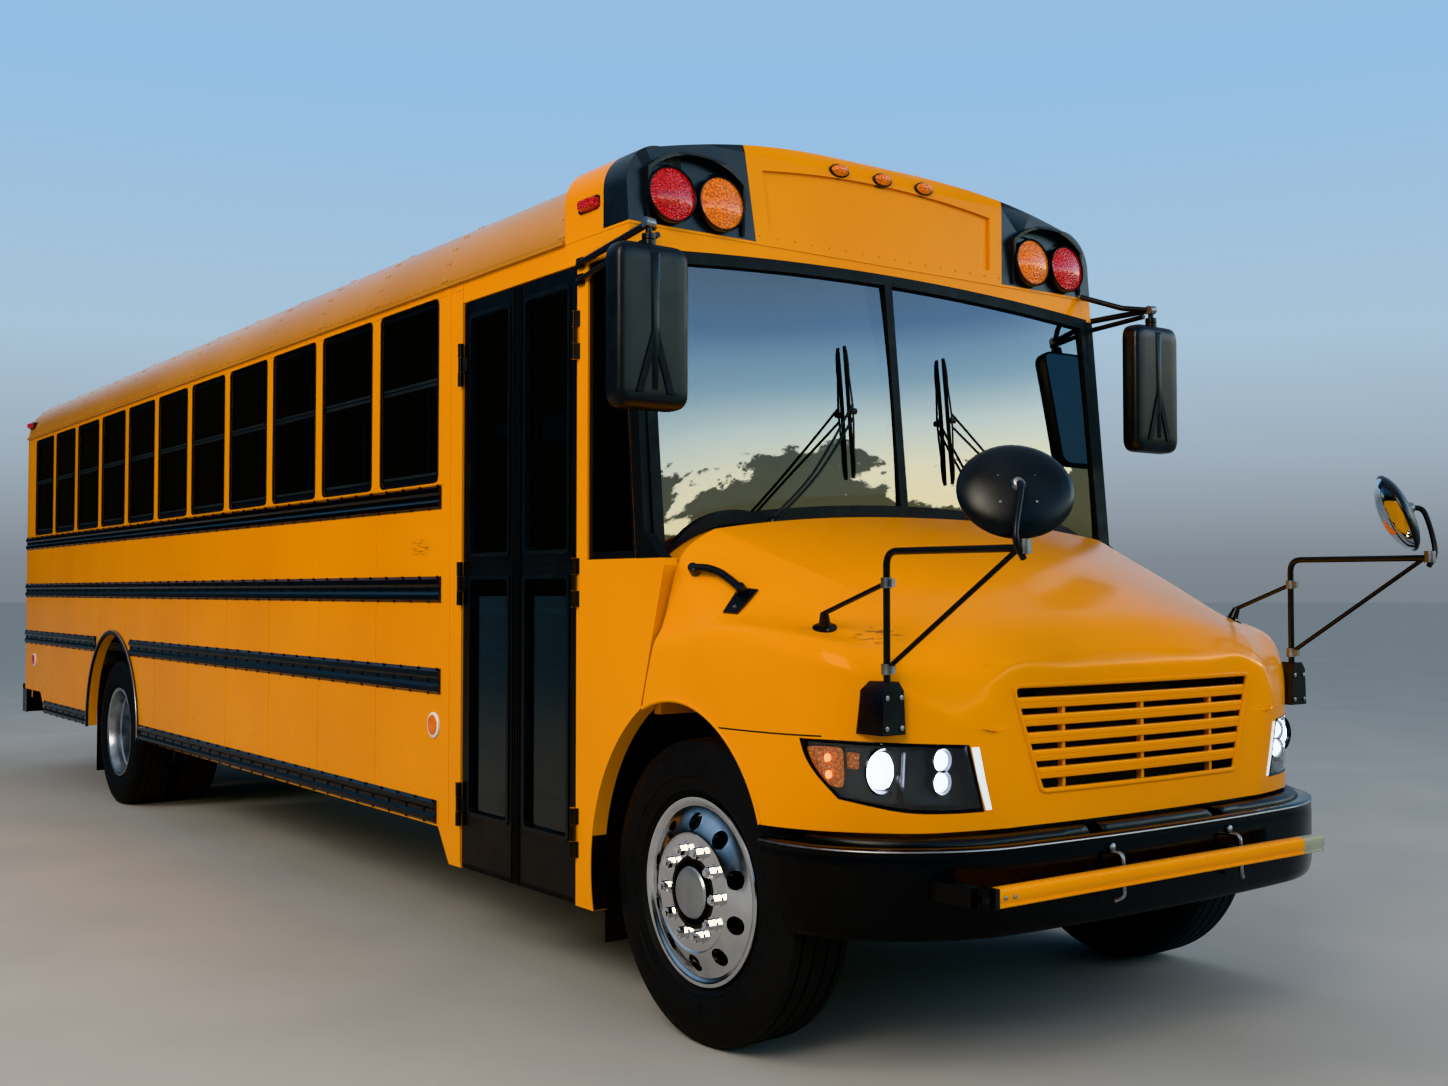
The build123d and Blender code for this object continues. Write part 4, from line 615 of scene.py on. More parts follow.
# Hood: one moulded shell. Sections run from the ridge over the fender's crown to the lower edge; the first
# eight stand along the side, the last four across the nose. Rows are (x, station, z)
hoodForm = {"wall": 8.0, "levels": 3, "passes": 6, "crown": 2.3}
topRows = (
    # station, ridge x, ridge z, centre z, centre station
    (102, 1008, 1713, 1778, 102),
    (-80, 952, 1641, 1718, -80),
    (-262, 903, 1570, 1651, -262),
    (-422, 857, 1505, 1585, -422),
    (-580, 816, 1437, 1515, -580),
    (-700, 779, 1381, 1455, -705),
    (-790, 742, 1331, 1398, -805),
    (-868, 690, 1272, 1306, -893),
)
sideRows = (
    ((1008, 102, 1713), (1095, 102, 1668), (1158, 100, 1600), (1181, 120, 1490), (1193, 153, 1378),
     (1212, 167, 1330),
     (1218, 191, 1250), (1218, 237, 1090), (1218, 250, 930), (1218, 250, 780)),
    ((952, -80, 1641), (1030, -76, 1592), (1098, -66, 1532), (1150, -52, 1458), (1190, -42, 1387),
     (1210, -40, 1338),
     (1218, -38, 1250), (1218, -34, 1062), (1218, -34, 930), (1218, -34, 780)),
    ((903, -262, 1570), (975, -258, 1529), (1050, -250, 1477), (1124, -242, 1427), (1186, -237, 1393),
     (1207, -237, 1347), (1216, -237, 1250), (1217, -242, 1062), (1217, -242, 930), (1217, -242, 780)),
    ((857, -422, 1505), (930, -422, 1469), (1010, -426, 1428), (1090, -434, 1394), (1160, -446, 1378),
     (1186, -452, 1334), (1195, -454, 1250), (1195, -446, 1062), (1195, -440, 930), (1194, -434, 780)),
    ((816, -580, 1437), (884, -589, 1408), (958, -602, 1379), (1033, -615, 1355), (1097, -624, 1340),
     (1124, -632, 1298), (1134, -632, 1230), (1133, -620, 1062), (1130, -615, 930), (1126, -612, 780)),
    ((779, -700, 1381), (830, -714, 1354), (882, -728, 1328), (932, -740, 1306), (976, -748, 1286),
     (998, -762, 1240), (1006, -768, 1180), (1004, -768, 1062), (1000, -768, 930), (990, -770, 780)),
    ((742, -790, 1331), (772, -808, 1300), (797, -824, 1268), (817, -838, 1232), (834, -848, 1190),
     (848, -854, 1148), (858, -855, 1108), (864, -852, 1062), (866, -849, 930), (862, -849, 780)),
    ((690, -868, 1272), (705, -881, 1238), (714, -889, 1202), (719, -894, 1166), (720, -897, 1130),
     (718, -898, 1096), (714, -899, 1078), (708, -899, 1062), (690, -898, 930), (664, -898, 780)),
)
noseRows = []
for x, lift in ((586, 8), (414, 16), (207, 24), (0, 34)):
    bow = 26 * (x / 640) ** 2
    noseRows.append([(x, -893 + 25 * (x / 690) ** 2, 1306 - 34 * (x / 690) ** 2)] + [
        (x, -926 + bow + inset, z) for inset, z in ((20, 1272), (15, 1240), (13, 1210), (12, 1170),
                                                    (10, 1120),
                                                    (9, 1090), (8, 1062), (4, 930), (0, 780))])


def hoodCage():
    # points by name, so that the top and the sides share the ridge
    shares = (0.0, 0.3, 0.6, 0.85, 1.0)
    names, places = {}, []

    def put(key, place):
        if key not in names:
            names[key] = len(places)
            places.append(Vector(place))
        return names[key]

    top = []
    for r, (station, ridgeX, ridgeZ, centreZ, centreStation) in enumerate(topRows):
        row = []
        for c, share in enumerate(shares):
            z = centreZ + (ridgeZ - centreZ) * share ** hoodForm["crown"]
            here = centreStation + (station - centreStation) * share ** 2
            row.append(put(("top", r, c), (ridgeX * share, here, z)))
        top.append(row)
    faces = [(top[r][c], top[r][c + 1], top[r + 1][c + 1], top[r + 1][c])
             for r in range(len(top) - 1) for c in range(len(shares) - 1)]
    edge = [top[r][-1] for r in range(len(top))] + [top[-1][c] for c in (3, 2, 1, 0)]
    columns = [list(rows) for rows in sideRows] + noseRows
    skirt = []
    for k, rows in enumerate(columns):
        skirt.append([edge[k]] + [put(("side", k, level), rows[level]) for level in range(1, len(rows))])
    faces += [(skirt[k][v], skirt[k + 1][v], skirt[k + 1][v + 1], skirt[k][v + 1])
              for k in range(len(skirt) - 1) for v in range(len(skirt[0]) - 1)]
    # the other half
    twin = {}
    for i in range(len(places)):
        if abs(places[i].x) < 1e-6:
            twin[i] = i
        else:
            twin[i] = len(places)
            places.append(Vector((-places[i].x, places[i].y, places[i].z)))
    faces += [tuple(twin[i] for i in reversed(face)) for face in faces[:]]
    return [at(*p) for p in places], faces


def throughPoints(name, targets, faces, levels, passes):
    # moves the cage until the subdivided surface passes through the targets
    mesh = bpy.data.meshes.new(name)
    mesh.from_pydata(targets, [], faces)
    piece = linked(name, mesh)
    modified(piece, "SUBSURF", levels=levels, render_levels=levels, boundary_smooth="PRESERVE_CORNERS")
    wanted = np.array([tuple(p) for p in targets])
    cage = wanted.copy()
    for _ in range(passes):
        bpy.context.view_layer.update()
        shown = piece.evaluated_get(bpy.context.evaluated_depsgraph_get()).data
        got = np.array([tuple(shown.vertices[i].co) for i in range(len(targets))])
        cage += (wanted - got) * 0.8
        mesh.vertices.foreach_set("co", cage.ravel())
        mesh.update()
    return applied(piece)


def circleThrough(a, b, c, steps):
    # points of the arc from a over b to c, in the plane of the side
    ax, ay, bx, by, cx, cy = *a, *b, *c
    d = 2 * (ax * (by - cy) + bx * (cy - ay) + cx * (ay - by))
    ux = ((ax ** 2 + ay ** 2) * (by - cy) + (bx ** 2 + by ** 2) * (cy - ay)
          + (cx ** 2 + cy ** 2) * (ay - by)) / d
    uy = ((ax ** 2 + ay ** 2) * (cx - bx) + (bx ** 2 + by ** 2) * (ax - cx)
          + (cx ** 2 + cy ** 2) * (bx - ax)) / d
    radius = hypot(ax - ux, ay - uy)
    start, middle, end = (atan2(p[1] - uy, p[0] - ux) for p in (a, b, c))
    if not (start > middle > end):
        start += 2 * pi if start < middle else 0
        end -= 2 * pi if end > middle else 0
    return [(ux + radius * cos(start + (end - start) * k / steps),
             uy + radius * sin(start + (end - start) * k / steps))
            for k in range(steps + 1)]


archFront, archTop, archRear = (-398, 780), (-70, 1120), (237, 1099)
archArc = circleThrough(archFront, archTop, archRear, 28)
targets, cageFaces = hoodCage()
hoodSkin = throughPoints("hoodSkin", targets, cageFaces, hoodForm["levels"], hoodForm["passes"])
work = bmesh.new()
work.from_mesh(hoodSkin.data)
bmesh.ops.recalc_face_normals(work, faces=work.faces)
if max(work.faces, key=lambda f: f.calc_center_median().z).normal.z < 0:
    bmesh.ops.reverse_faces(work, faces=work.faces)
work.to_mesh(hoodSkin.data)
hoodTree = BVHTree.FromBMesh(work)
work.free()
hoodSurface = hoodSkin.data
bpy.data.objects.remove(hoodSkin)


def onNose(x, z, inset=0.0):
    # the hood's surface met from ahead, at x and z in millimetres
    hit, normal, _, _ = hoodTree.ray_cast(at(x, -1600, z), Vector((0, 1, 0)))
    return (hit - normal * inset / 1000, normal) if hit else (at(x, -900 + inset, z), Vector((0, -1, 0)))


def onFlank(side, station, z, inset=0.0):
    hit, normal, _, _ = hoodTree.ray_cast(at(side * 1700, station, z), Vector((-side, 0, 0)))
    return (hit - normal * inset / 1000, normal) if hit else (at(side * bodySide, station, z),
                                                              Vector((side, 0, 0)))


def roundedOutline(corners, radius, steps=5):
    # a closed outline of (x, z) corners, each rounded
    out = []
    count = len(corners)
    for i in range(count):
        before, corner, after = (Vector(corners[j % count]) for j in (i - 1, i, i + 1))
        back, ahead = (before - corner), (after - corner)
        reach = radius / tan(back.angle(ahead) / 2)
        start, end = corner + back.normalized() * reach, corner + ahead.normalized() * reach
        for k in range(steps + 1):
            t = k / steps
            out.append(tuple(start * (1 - t) ** 2 + corner * 2 * t * (1 - t) + end * t * t))
    return out


def roundedBox(x0, x1, z0, z1, radius, steps=5):
    return roundedOutline(((x0, z0), (x1, z0), (x1, z1), (x0, z1)), radius, steps)


grilleCorners = ((-492, 880), (492, 880), (603, 1208), (-603, 1208))
grilleOutline = roundedOutline(grilleCorners, 24)


def gridEdge(across, up):
    # (row, column) round a grid of points, without its corner twice
    loop = [(0, i) for i in range(across + 1)] + [(j, across) for j in range(1, up + 1)]
    return loop + [(up, i) for i in range(across - 1, -1, -1)] + [(j, 0) for j in range(up - 1, 0, -1)]


def lampOutline(u, v):
    # the headlamp's outline as a patch: u from inboard to outboard, v from the foot up
    foot = smoothLine([Vector((726, 836)), Vector((850, 836)), Vector((976, 844)), Vector((1101, 878))], 8)
    head = [Vector((782, 1038)), Vector((1166, 1056))]
    place = u * (len(foot) - 1)
    i = min(int(place), len(foot) - 2)
    low = foot[i].lerp(foot[i + 1], place - i)
    high = head[0].lerp(head[1], u)
    mid = low.lerp(high, v)
    return mid.x + 14 * sin(pi * v) * u ** 4, mid.y


def lampRing(grow, steps=14):
    # points (x, z) round the headlamp, moved inwards by grow as a share
    ring = [lampOutline(k / steps, 0) for k in range(steps)] + [lampOutline(1, k / steps)
                                                                for k in range(steps)]
    ring += [lampOutline(1 - k / steps, 1) for k in range(steps)] + [lampOutline(0, 1 - k / steps)
                                                                     for k in range(steps)]
    cx = sum(p[0] for p in ring) / len(ring)
    cz = sum(p[1] for p in ring) / len(ring)
    return [(cx + (x - cx) * (1 - grow), cz + (z - cz) * (1 - grow * 1.6)) for x, z in ring]


def makeHood():
    shell = linked("hoodShell", hoodSurface.copy())
    shell.data.materials.append(finishes["enamel"])
    modified(shell, "SOLIDIFY", thickness=hoodForm["wall"] / 1000, offset=-1.0)
    applied(shell)
    cutter = Sketch()
    arch = [at(-1400, s, z) for s, z in archArc + [(300, 1099), (300, 600), (-398, 600)]]
    cutter.prism(arch, Vector((2.8, 0, 0)))
    cutAway(shell, cutter.make("archCutter", ()))
    cutter = Sketch()
    cutter.prism([at(x, -1200, z) for x, z in grilleOutline], Vector((0, 0.5, 0)))
    cutAway(shell, cutter.make("grilleCutter", ()))
    for side in (-1, 1):
        cutter = Sketch()
        cutter.prism([at(side * x, -1200, z) for x, z in lampRing(0)], Vector((0, 0.8, 0)))
        cutAway(shell, cutter.make("lampCutter", ()))
    shell.data.shade_smooth()
    shell.data.set_sharp_from_angle(angle=radians(38))
    return settle(shell, "hood", "yellow_paint", "hood")


hoodShell = makeHood()
print("hood:", len(hoodShell.data.polygons), "faces")


def makeHoodTrim():
    # rolled lip round each arch, the seam above it, and the rounded lip of the grille opening
    lips = Sketch()
    for side in (-1, 1):
        line = []
        for s, z in archArc:
            skin, _ = onFlank(side, s, z + 4)
            line.append(Vector((skin.x, skin.y, at(0, 0, z).z)) - Vector((side * 0.004, 0, 0)))
        lips.tube(line, 0.009, 10)
    rim = []
    ring = [Vector((x, 0, z)) for x, z in grilleOutline]
    for a, b in zip(ring, ring[1:] + ring[:1]):
        count = max(1, int((b - a).length / 40))
        rim += [onNose(p.x, p.z, 2)[0] for p in (a.lerp(b, k / count) for k in range(count))]
    rings = []
    count = len(rim)
    for i, p in enumerate(rim):
        ahead = (rim[(i + 1) % count] - rim[i - 1]).normalized()
        out = Vector((0, -1, 0))
        across = ahead.cross(out).normalized()
        rings.append([p + (across * cos(t) + out * sin(t)) * 0.009 for t in turns(10)])
    lips.net(rings + [rings[0]], closed=True)
    settle(lips.make("hoodLips", ["enamel"]), "hood", "yellow_paint")
    seam = Sketch()
    for side in (-1, 1):
        line = [onFlank(side, s, 1064, 1.5)[0] for s in range(-176, -620, -20)]
        seam.tube(line, 0.0032, 8)
    settle(seam.make("hoodSeam", ["gasket"]), "hood", "trim_rubber")


makeHoodTrim()

# Grille: five rounded bars that follow the nose, and three ribs set behind them
grilleForm = {"bars": 5, "barHigh": 37.0, "barDeep": 26.0, "ribs": (-375, 0, 375), "ribWide": 13.0,
              "setBack": 3.0}


def grilleHalf(z):
    low, high = grilleCorners[1], grilleCorners[2]
    return low[0] + (high[0] - low[0]) * (z - low[1]) / (high[1] - low[1])


def makeGrille():
    bars = Sketch()
    low, high = grilleCorners[1][1], grilleCorners[2][1]
    pitch = (high - low) / (grilleForm["bars"] + 1)
    tall, deep = grilleForm["barHigh"] / 1000, grilleForm["barDeep"] / 1000
    # section of a bar: (back from its face, up from its middle); a fine line runs along the face
    section = ((0.26, 0.5), (0.06, 0.44), (0.0, 0.30), (0.0, 0.06), (0.07, 0.03), (0.07, -0.03), (0.0, -0.06),
               (0.0, -0.30), (0.06, -0.44), (0.26, -0.5), (1.0, -0.38), (1.0, 0.38))
    for i in range(grilleForm["bars"]):
        z = low + (i + 1) * pitch
        half = grilleHalf(z) - 2
        rings = []
        for k in range(33):
            x = -half + 2 * half * k / 32
            skin, _ = onNose(x * 0.985, z)
            face = skin.y + grilleForm["setBack"] / 1000
            rings.append([Vector((x / 1000, face + back * deep, (z / 1000) + up * tall))
                          for back, up in section])
        bars.net(rings, closed=True, caps=True)
    for x in grilleForm["ribs"]:
        skin, _ = onNose(x, 1040)
        y = skin.y + (grilleForm["setBack"] + 12) / 1000
        half = grilleForm["ribWide"] / 2000
        bars.block((x / 1000 - half, y, low / 1000), (x / 1000 + half, y + 0.02, (high - pitch) / 1000))
    return settle(bars.make("grilleBars", ["enamel"], 50), "hood", "yellow_paint", "grille")


makeGrille()

# Headlamps: a black tray with its lamps, behind a clear lens that carries on the fender's surface
lampForm = {
    "lensThick": 3.0, "trayDeep": 62.0,
    # x, z, half width, half height, how deep
    "lamps": ((1002, 962, 60, 57, 34), (850, 992, 30, 30, 34), (850, 926, 30, 30, 34)),
    "amber": ((1086, 898), (1124, 928), (1148, 985), (1152, 1034), (1092, 1032)),
}
finishes.update({
    "clearLens": sheetGlass("clearPolycarbonateLens", "#F4F8FA", 1.58, 0.02),
    "darkChrome": mottled("smokedChromeReflector", ("#3A3D42", "#4C5056"), (0.12, 0.2), 40, 10, 0.02,
                          Metallic=1.0),
    "litWhite": litPlastic("litProjectorLens", "#FFFFFF", 0.1, "#F6FAFF", 9.0),
    "litAmber": litPlastic("litAmberBulb", "#FF9A20", 0.2, "#FFA030", 3.0),
    # a pale finish with a faint emission for the strip beside each headlamp: painted highlight
    "paintedHighlightGlow": litPlastic("paintedHighlightGlowStrip", "#E9EEF2", 0.3, "#F2F6FA", 0.22),
})


def lampSkin(side, x, z, inset=0.0):
    place, normal = onNose(side * x, z)
    return place + Vector((0, inset / 1000, 0)), normal


def lampPanel(sketch, side, corners, inset, deep, radius, finish):
    # a rounded panel of the lamp's front, following the fender's surface
    ring = [lampSkin(side, x, z, inset)[0] for x, z in roundedOutline(corners, radius)]
    sketch.prism(ring, Vector((0, deep / 1000, 0)), finish)


def makeHeadlamps():
    tray, lens, bright = Sketch(), Sketch(), Sketch()
    for side in (-1, 1):
        outer, inner, deep = lampRing(-0.004), lampRing(0.035), lampRing(0.06)
        rings = [[lampSkin(side, x, z, inset)[0] for x, z in ring]
                 for ring, inset in ((outer, 2.0), (outer, -1.5), (lampRing(0.02), -3.0), (inner, 0.0),
                                     (inner, 9.0),
                                     (deep, lampForm["trayDeep"]))]
        tray.net(rings, closed=True)
        tray.add(rings[-1], [list(range(len(rings[-1])))])
        grid = [[lampSkin(side, *lampOutline(0.025 + 0.95 * i / 24, 0.05 + 0.90 * j / 8))[0]
                 for i in range(25)]
                for j in range(9)]
        back = [[p + Vector((0, lampForm["lensThick"] / 1000, 0)) for p in row] for row in grid]
        lens.net(grid)
        lens.net(back)
        lens.net([[rows[j][i] for j, i in gridEdge(24, 8)] for rows in (grid, back)], closed=True)
        # smoked reflector panels round the lamps, in stepped facets
        lampPanel(bright, side, ((965, 862), (1072, 880), (1078, 1030), (958, 1030)), 40, 4, 12, 1)
        lampPanel(bright, side, ((806, 858), (918, 858), (922, 1022), (822, 1020)), 40, 4, 12, 1)
        lampPanel(bright, side, ((926, 866), (954, 866), (948, 1026), (930, 1024)), 26, 16, 6, 1)
        ahead = Vector((0, -1, 0))
        for x, z, wide, tall, deepAt in lampForm["lamps"]:
            centre = lampSkin(side, x, z, deepAt)[0]
            for rows, finish in ((((0.012, 1.28), (0.018, 1.22), (0.012, 1.12), (-0.004, 1.0), (-0.01, 0.0)),
                                  1),
                                 (((0.0, 0.98), (0.010, 0.9), (0.018, 0.62), (0.021, 0.3), (0.0215, 0.0)),
                                  2)):
                bright.net([[centre + ahead * a + Vector((side * cos(t) * wide, 0,
                                                          sin(t) * tall)) * (r / 1000)
                             for t in turns(32)] for a, r in rows], closed=True,
                           finish=finish)
        lampPanel(bright, side, lampForm["amber"], 10, 14, 16, 3)
        lampPanel(bright, side, ((1058, 968), (1075, 968), (1077, 1018), (1058, 1016)), 14, 14, 5, 3)
        for x, z in ((1120, 1000), (1117, 950)):
            bright.turn([(0.0, 0.013), (0.006, 0.011), (0.010, 0.0)], lampSkin(side, x, z, 9)[0], ahead, 16,
                        4)
        # pale, faintly glowing strip on the skin beside the lamp's inboard edge: a painted highlight
        strip = roundedOutline(((748, 1031), (774, 1031), (750, 932), (720, 839), (698, 839), (724, 932)), 4)
        front = [lampSkin(side, x, z, -2.2)[0] for x, z in strip]
        bright.net([[p + Vector((0, 0.006, 0)) for p in front], front], closed=True, caps=True, finish=5)
    looks = ["blackMoulded", "darkChrome", "litWhite", "amber", "litAmber", "paintedHighlightGlow"]
    settle(tray.make("headlampTrays", ["blackGloss"]), "hood", "lamp_unit", "headlamps")
    settle(bright.make("headlampLamps", looks), "hood", "lamp_unit")
    settle(lens.make("headlampLenses", ["clearLens"]), "hood", "lamp_unit")


makeHeadlamps()
print("grille and headlamps made")

# Tyres: four grooves round the tread, a shoulder step and two beads of rubber on the sidewall
tyreForm = {"radius": 505.0, "width": 270.0, "bead": 286.5, "steps": 120, "grooves": (-78, -27, 27, 78),
            "groove": 9.0,
            "deep": 13.0}
wheelForm = {"twinGap": 318.0, "holes": 10, "holeRing": 232.0, "holeLong": 31.0, "holeWide": 29.0,
             "nutRing": 142.5, "nuts": 10}
wheelPlaces = (
    # name, side, tyre centre x, station, tyre node, wheel node, body, twin
    ("FrontRight", -1, 1030.0, 0.0, "front_tyre_right", "front_wheel_right", "wheel_front_right", False),
    ("FrontLeft", 1, 1030.0, 0.0, "front_tyre_left", "front_wheel_left", "wheel_front_left", False),
    ("RearRight", -1, 1043.0, 7062.0, "rear_tyres_right", "rear_wheels_right", "wheels_rear_right", True),
    ("RearLeft", 1, 1043.0, 7062.0, "rear_tyres_left", "rear_wheels_left", "wheels_rear_left", True),
)


def tyreProfile():
    top, groove, deep = tyreForm["radius"], tyreForm["groove"] / 2, tyreForm["deep"]
    half = [(0.0, top)]
    for g in [g for g in tyreForm["grooves"] if g > 0]:
        crown = top - 2.5 * (g / 100) ** 2
        half += [(g - groove - 1, crown), (g - groove + 1, crown - 2), (g - groove + 2, crown - deep),
                 (g + groove - 2, crown - deep), (g + groove - 1, crown - 2), (g + groove + 1, crown)]
    half += [(104, 501.5), (112, 498), (117, 491), (119, 482), (123, 476), (129, 455), (133.5, 432),
             (135, 405),
             (134, 386), (135, 384), (135, 380), (132.5, 378), (129, 358), (125, 343), (127, 340), (126, 335),
             (118, 330), (110, 318), (103, 308), (102, 296), (97, tyreForm["bead"])]
    return [(-x, r) for x, r in reversed(half[1:])] + half


def makeTyres():
    profile = [(x / 1000, r / 1000) for x, r in tyreProfile()]
    for name, side, x, station, tyreNode, wheelNode, body, twin in wheelPlaces:
        rubber = Sketch()
        for offset in ((0.0, wheelForm["twinGap"]) if twin else (0.0,)):
            rubber.turn(profile, at(side * (x - offset), station, tyreForm["radius"]), (side, 0, 0),
                        tyreForm["steps"],
                        closed=True)
        settle(rubber.make("tyre" + name, ["tyre"], 30), body, "tyre_rubber", tyreNode)


makeTyres()

# Disc wheels. Rows are (outwards from the tyre's middle, radius) in millimetres
barrelRows = [(-119, 272), (-119, 311), (-114, 313), (-109, 309), (-107, 287), (-60, 286), (-40, 262),
              (30, 262),
              (56, 284), (107, 287), (109, 309), (114, 313), (119, 310), (119, 300), (117, 293), (113, 288)]
frontDisc = [(110, 281), (113, 270), (121, 252), (132, 234), (139, 217), (145, 204), (147, 196), (143, 190),
             (143, 112), (131, 112), (130, 186), (125, 206), (115, 224), (104, 242), (92, 256), (72, 262),
             (40, 258),
             (40, 250), (-119, 250), (-119, 272)]
rearDisc = [(84, 276), (60, 272), (10, 268), (-30, 262), (-38, 250), (-46, 234), (-56, 214), (-64, 196),
            (-70, 184),
            (-70, 112), (-84, 112), (-84, 186), (-78, 200), (-70, 218), (-60, 240), (-54, 252), (-119, 254),
            (-119, 272)]
frontHub = [(-48, 43), (-48, 110), (112, 110), (112, 88), (150, 86), (156, 80), (158, 66), (159, 30),
            (159, 0)]
brakeDrum = [(26, 108), (26, 190), (20, 204), (4, 226), (-18, 230), (-18, 222)]
frontRecess = [(141, 118), (144.5, 118), (144.5, 106), (116, 104), (113, 86)]
rearHub = [(-278, 43), (-278, 110), (-88, 110), (-70, 108), (-66, 92), (-30, 88), (-24, 82), (12, 78),
           (20, 70), (22, 0)]


def nutTree(name, look):
    # flanged hexagon nuts on a circle
    tree, given = geometryTree(name, [("Count", "Int")]
                               + [(label, "Float") for label in ("Ring", "Across", "Tall")])
    ring = addNode(tree, "GeometryNodeMeshCircle", {"Vertices": given["Count"], "Radius": given["Ring"]})
    lift = addNode(tree, "ShaderNodeCombineXYZ", {2: maths(tree, "MULTIPLY", given["Tall"], 0.5)})
    nut = addNode(tree, "GeometryNodeJoinGeometry")
    barrel = addNode(tree, "GeometryNodeMeshCylinder", {
        "Vertices": 6, "Radius": given["Across"], "Depth": given["Tall"]})
    raised = addNode(tree, "GeometryNodeTransform",
                     {"Geometry": barrel.outputs[0], "Translation": lift.outputs[0]})
    flange = addNode(tree, "GeometryNodeMeshCylinder", {
        "Vertices": 20, "Radius": maths(tree, "MULTIPLY", given["Across"], 1.32), "Depth": 0.009})
    stud = addNode(tree, "GeometryNodeMeshCylinder", {
        "Vertices": 12, "Radius": maths(tree, "MULTIPLY", given["Across"], 0.62),
        "Depth": maths(tree, "MULTIPLY", given["Tall"], 2.7)})
    for part in (raised, flange, stud):
        tree.links.new(part.outputs[0], nut.inputs[0])
    placed = addNode(tree, "GeometryNodeInstanceOnPoints",
                     {"Points": ring.outputs[0], "Instance": nut.outputs[0]})
    real = addNode(tree, "GeometryNodeRealizeInstances", {0: placed.outputs[0]})
    coloured = addNode(tree, "GeometryNodeSetMaterial", {"Geometry": real.outputs[0], "Material": look})
    addNode(tree, "NodeGroupOutput", {"Geometry": coloured.outputs[0]})
    return tree


def makeWheels():
    nuts = nutTree("wheelNutTree", finishes["chrome"])
    for name, side, x, station, tyreNode, wheelNode, body, twin in wheelPlaces:
        disc, hub = (rearDisc, rearHub) if twin else (frontDisc, frontHub)
        hubCentre = at(side * x, station, tyreForm["radius"])
        out = Vector((side, 0, 0))
        wheel = Sketch()
        scaled = [(a / 1000, r / 1000) for a, r in barrelRows + disc]
        wheel.turn(scaled, hubCentre, out, 96, closed=True)
        if twin:
            wheel.turn(scaled, at(side * (x - wheelForm["twinGap"]), station, tyreForm["radius"]), -out, 96,
                       closed=True)
        piece = wheel.make("wheel" + name, ["machined" if twin else "aluminium"], 28)
        cutter = Sketch()
        for k in range(wheelForm["holes"]):
            angle = (k + 0.5) * 2 * pi / wheelForm["holes"]
            radial = Vector((0, cos(angle), sin(angle)))
            along = Vector((0, -sin(angle), cos(angle)))
            middle = hubCentre + radial * wheelForm["holeRing"] / 1000
            low, high = (-0.38, 0.1) if twin else (0.03, 0.18)
            ring = [middle + (along * cos(t) * wheelForm["holeLong"]
                              + radial * sin(t) * wheelForm["holeWide"]) / 1000
                    for t in turns(20)]
            cutter.prism([p + out * low for p in ring], out * (high - low))
        cutAway(piece, cutter.make("holeCutter", ()))
        piece.data.shade_smooth()
        piece.data.set_sharp_from_angle(angle=radians(28))
        settle(piece, body, "wheel_aluminium", wheelNode)
        cap = Sketch()
        cap.turn([(a / 1000, r / 1000) for a, r in hub], hubCentre, out, 48)
        if not twin:
            for profile in (frontRecess, brakeDrum):
                cap.turn([(a / 1000, r / 1000) for a, r in profile], hubCentre, out, 48, 1)
        looks = ["machined", "chassis"]
        settle(cap.make("hub" + name, looks, 28), body, "wheel_aluminium")
        sizes = {"Count": wheelForm["nuts"], "Ring": wheelForm["nutRing"] / 1000, "Across": 0.019,
                 "Tall": 0.026}
        nutPiece = setOut("nuts" + name, bpy.data.meshes.new("nuts" + name), nuts, sizes)
        seat = -0.070 if twin else 0.143
        turned = Matrix.Translation(hubCentre + out * seat) @ out.to_track_quat("Z", "Y").to_matrix().to_4x4()
        nutPiece.data.transform(turned)
        nutPiece.data.set_sharp_from_angle(angle=radians(28))
        settle(nutPiece, body, "wheel_aluminium")


makeWheels()
print("tyres and wheels made")

# Front bumper: a pressed skin whose plan is a wide front arc with a corner arc and a side arc on each hand
bumperForm = {"low": 478, "high": 748, "sideRadius": 472, "sideTurn": -480, "cornerRadius": 648, "join": 48.8,
              "frontTurn": 85.67, "front": -1020, "thick": 10}
bumperEnd = ((478, -560), (600, -470), (748, -412))
bumperRows = ((46, 746), (16, 747.5), (6, 744), (1, 738), (3, 728), (1, 716), (0, 690), (0, 540), (3, 508),
              (9, 488),
              (16, 479), (22, 478), (24, 484), (16, 506), (11, 540), (11, 735), (46, 737))


def bumperPlan(inset):
    # (x, station) from the side's rear to the middle of the front
    form = bumperForm
    sideX, sideY = 1219 - form["sideRadius"], form["sideTurn"]
    turn = radians(form["join"])
    joinX, joinY = sideX + form["sideRadius"] * cos(turn), sideY - form["sideRadius"] * sin(turn)
    cornerX, cornerY = joinX - form["cornerRadius"] * cos(turn), joinY + form["cornerRadius"] * sin(turn)
    line = [(1219 - inset, s) for s in range(-400, -480, -10)]
    for k in range(19):
        a = turn * k / 18
        line.append((sideX + (form["sideRadius"] - inset) * cos(a),
                     sideY - (form["sideRadius"] - inset) * sin(a)))
    for k in range(1, 19):
        a = turn + (radians(form["frontTurn"]) - turn) * k / 18
        line.append((cornerX + (form["cornerRadius"] - inset) * cos(a),
                     cornerY - (form["cornerRadius"] - inset) * sin(a)))
    endX, endY = line[-1]
    front = form["front"] + inset
    for k in range(1, 9):
        x = endX * (1 - k / 8)
        line.append((x, front + (endY - front) * (x / endX) ** 2))
    return line


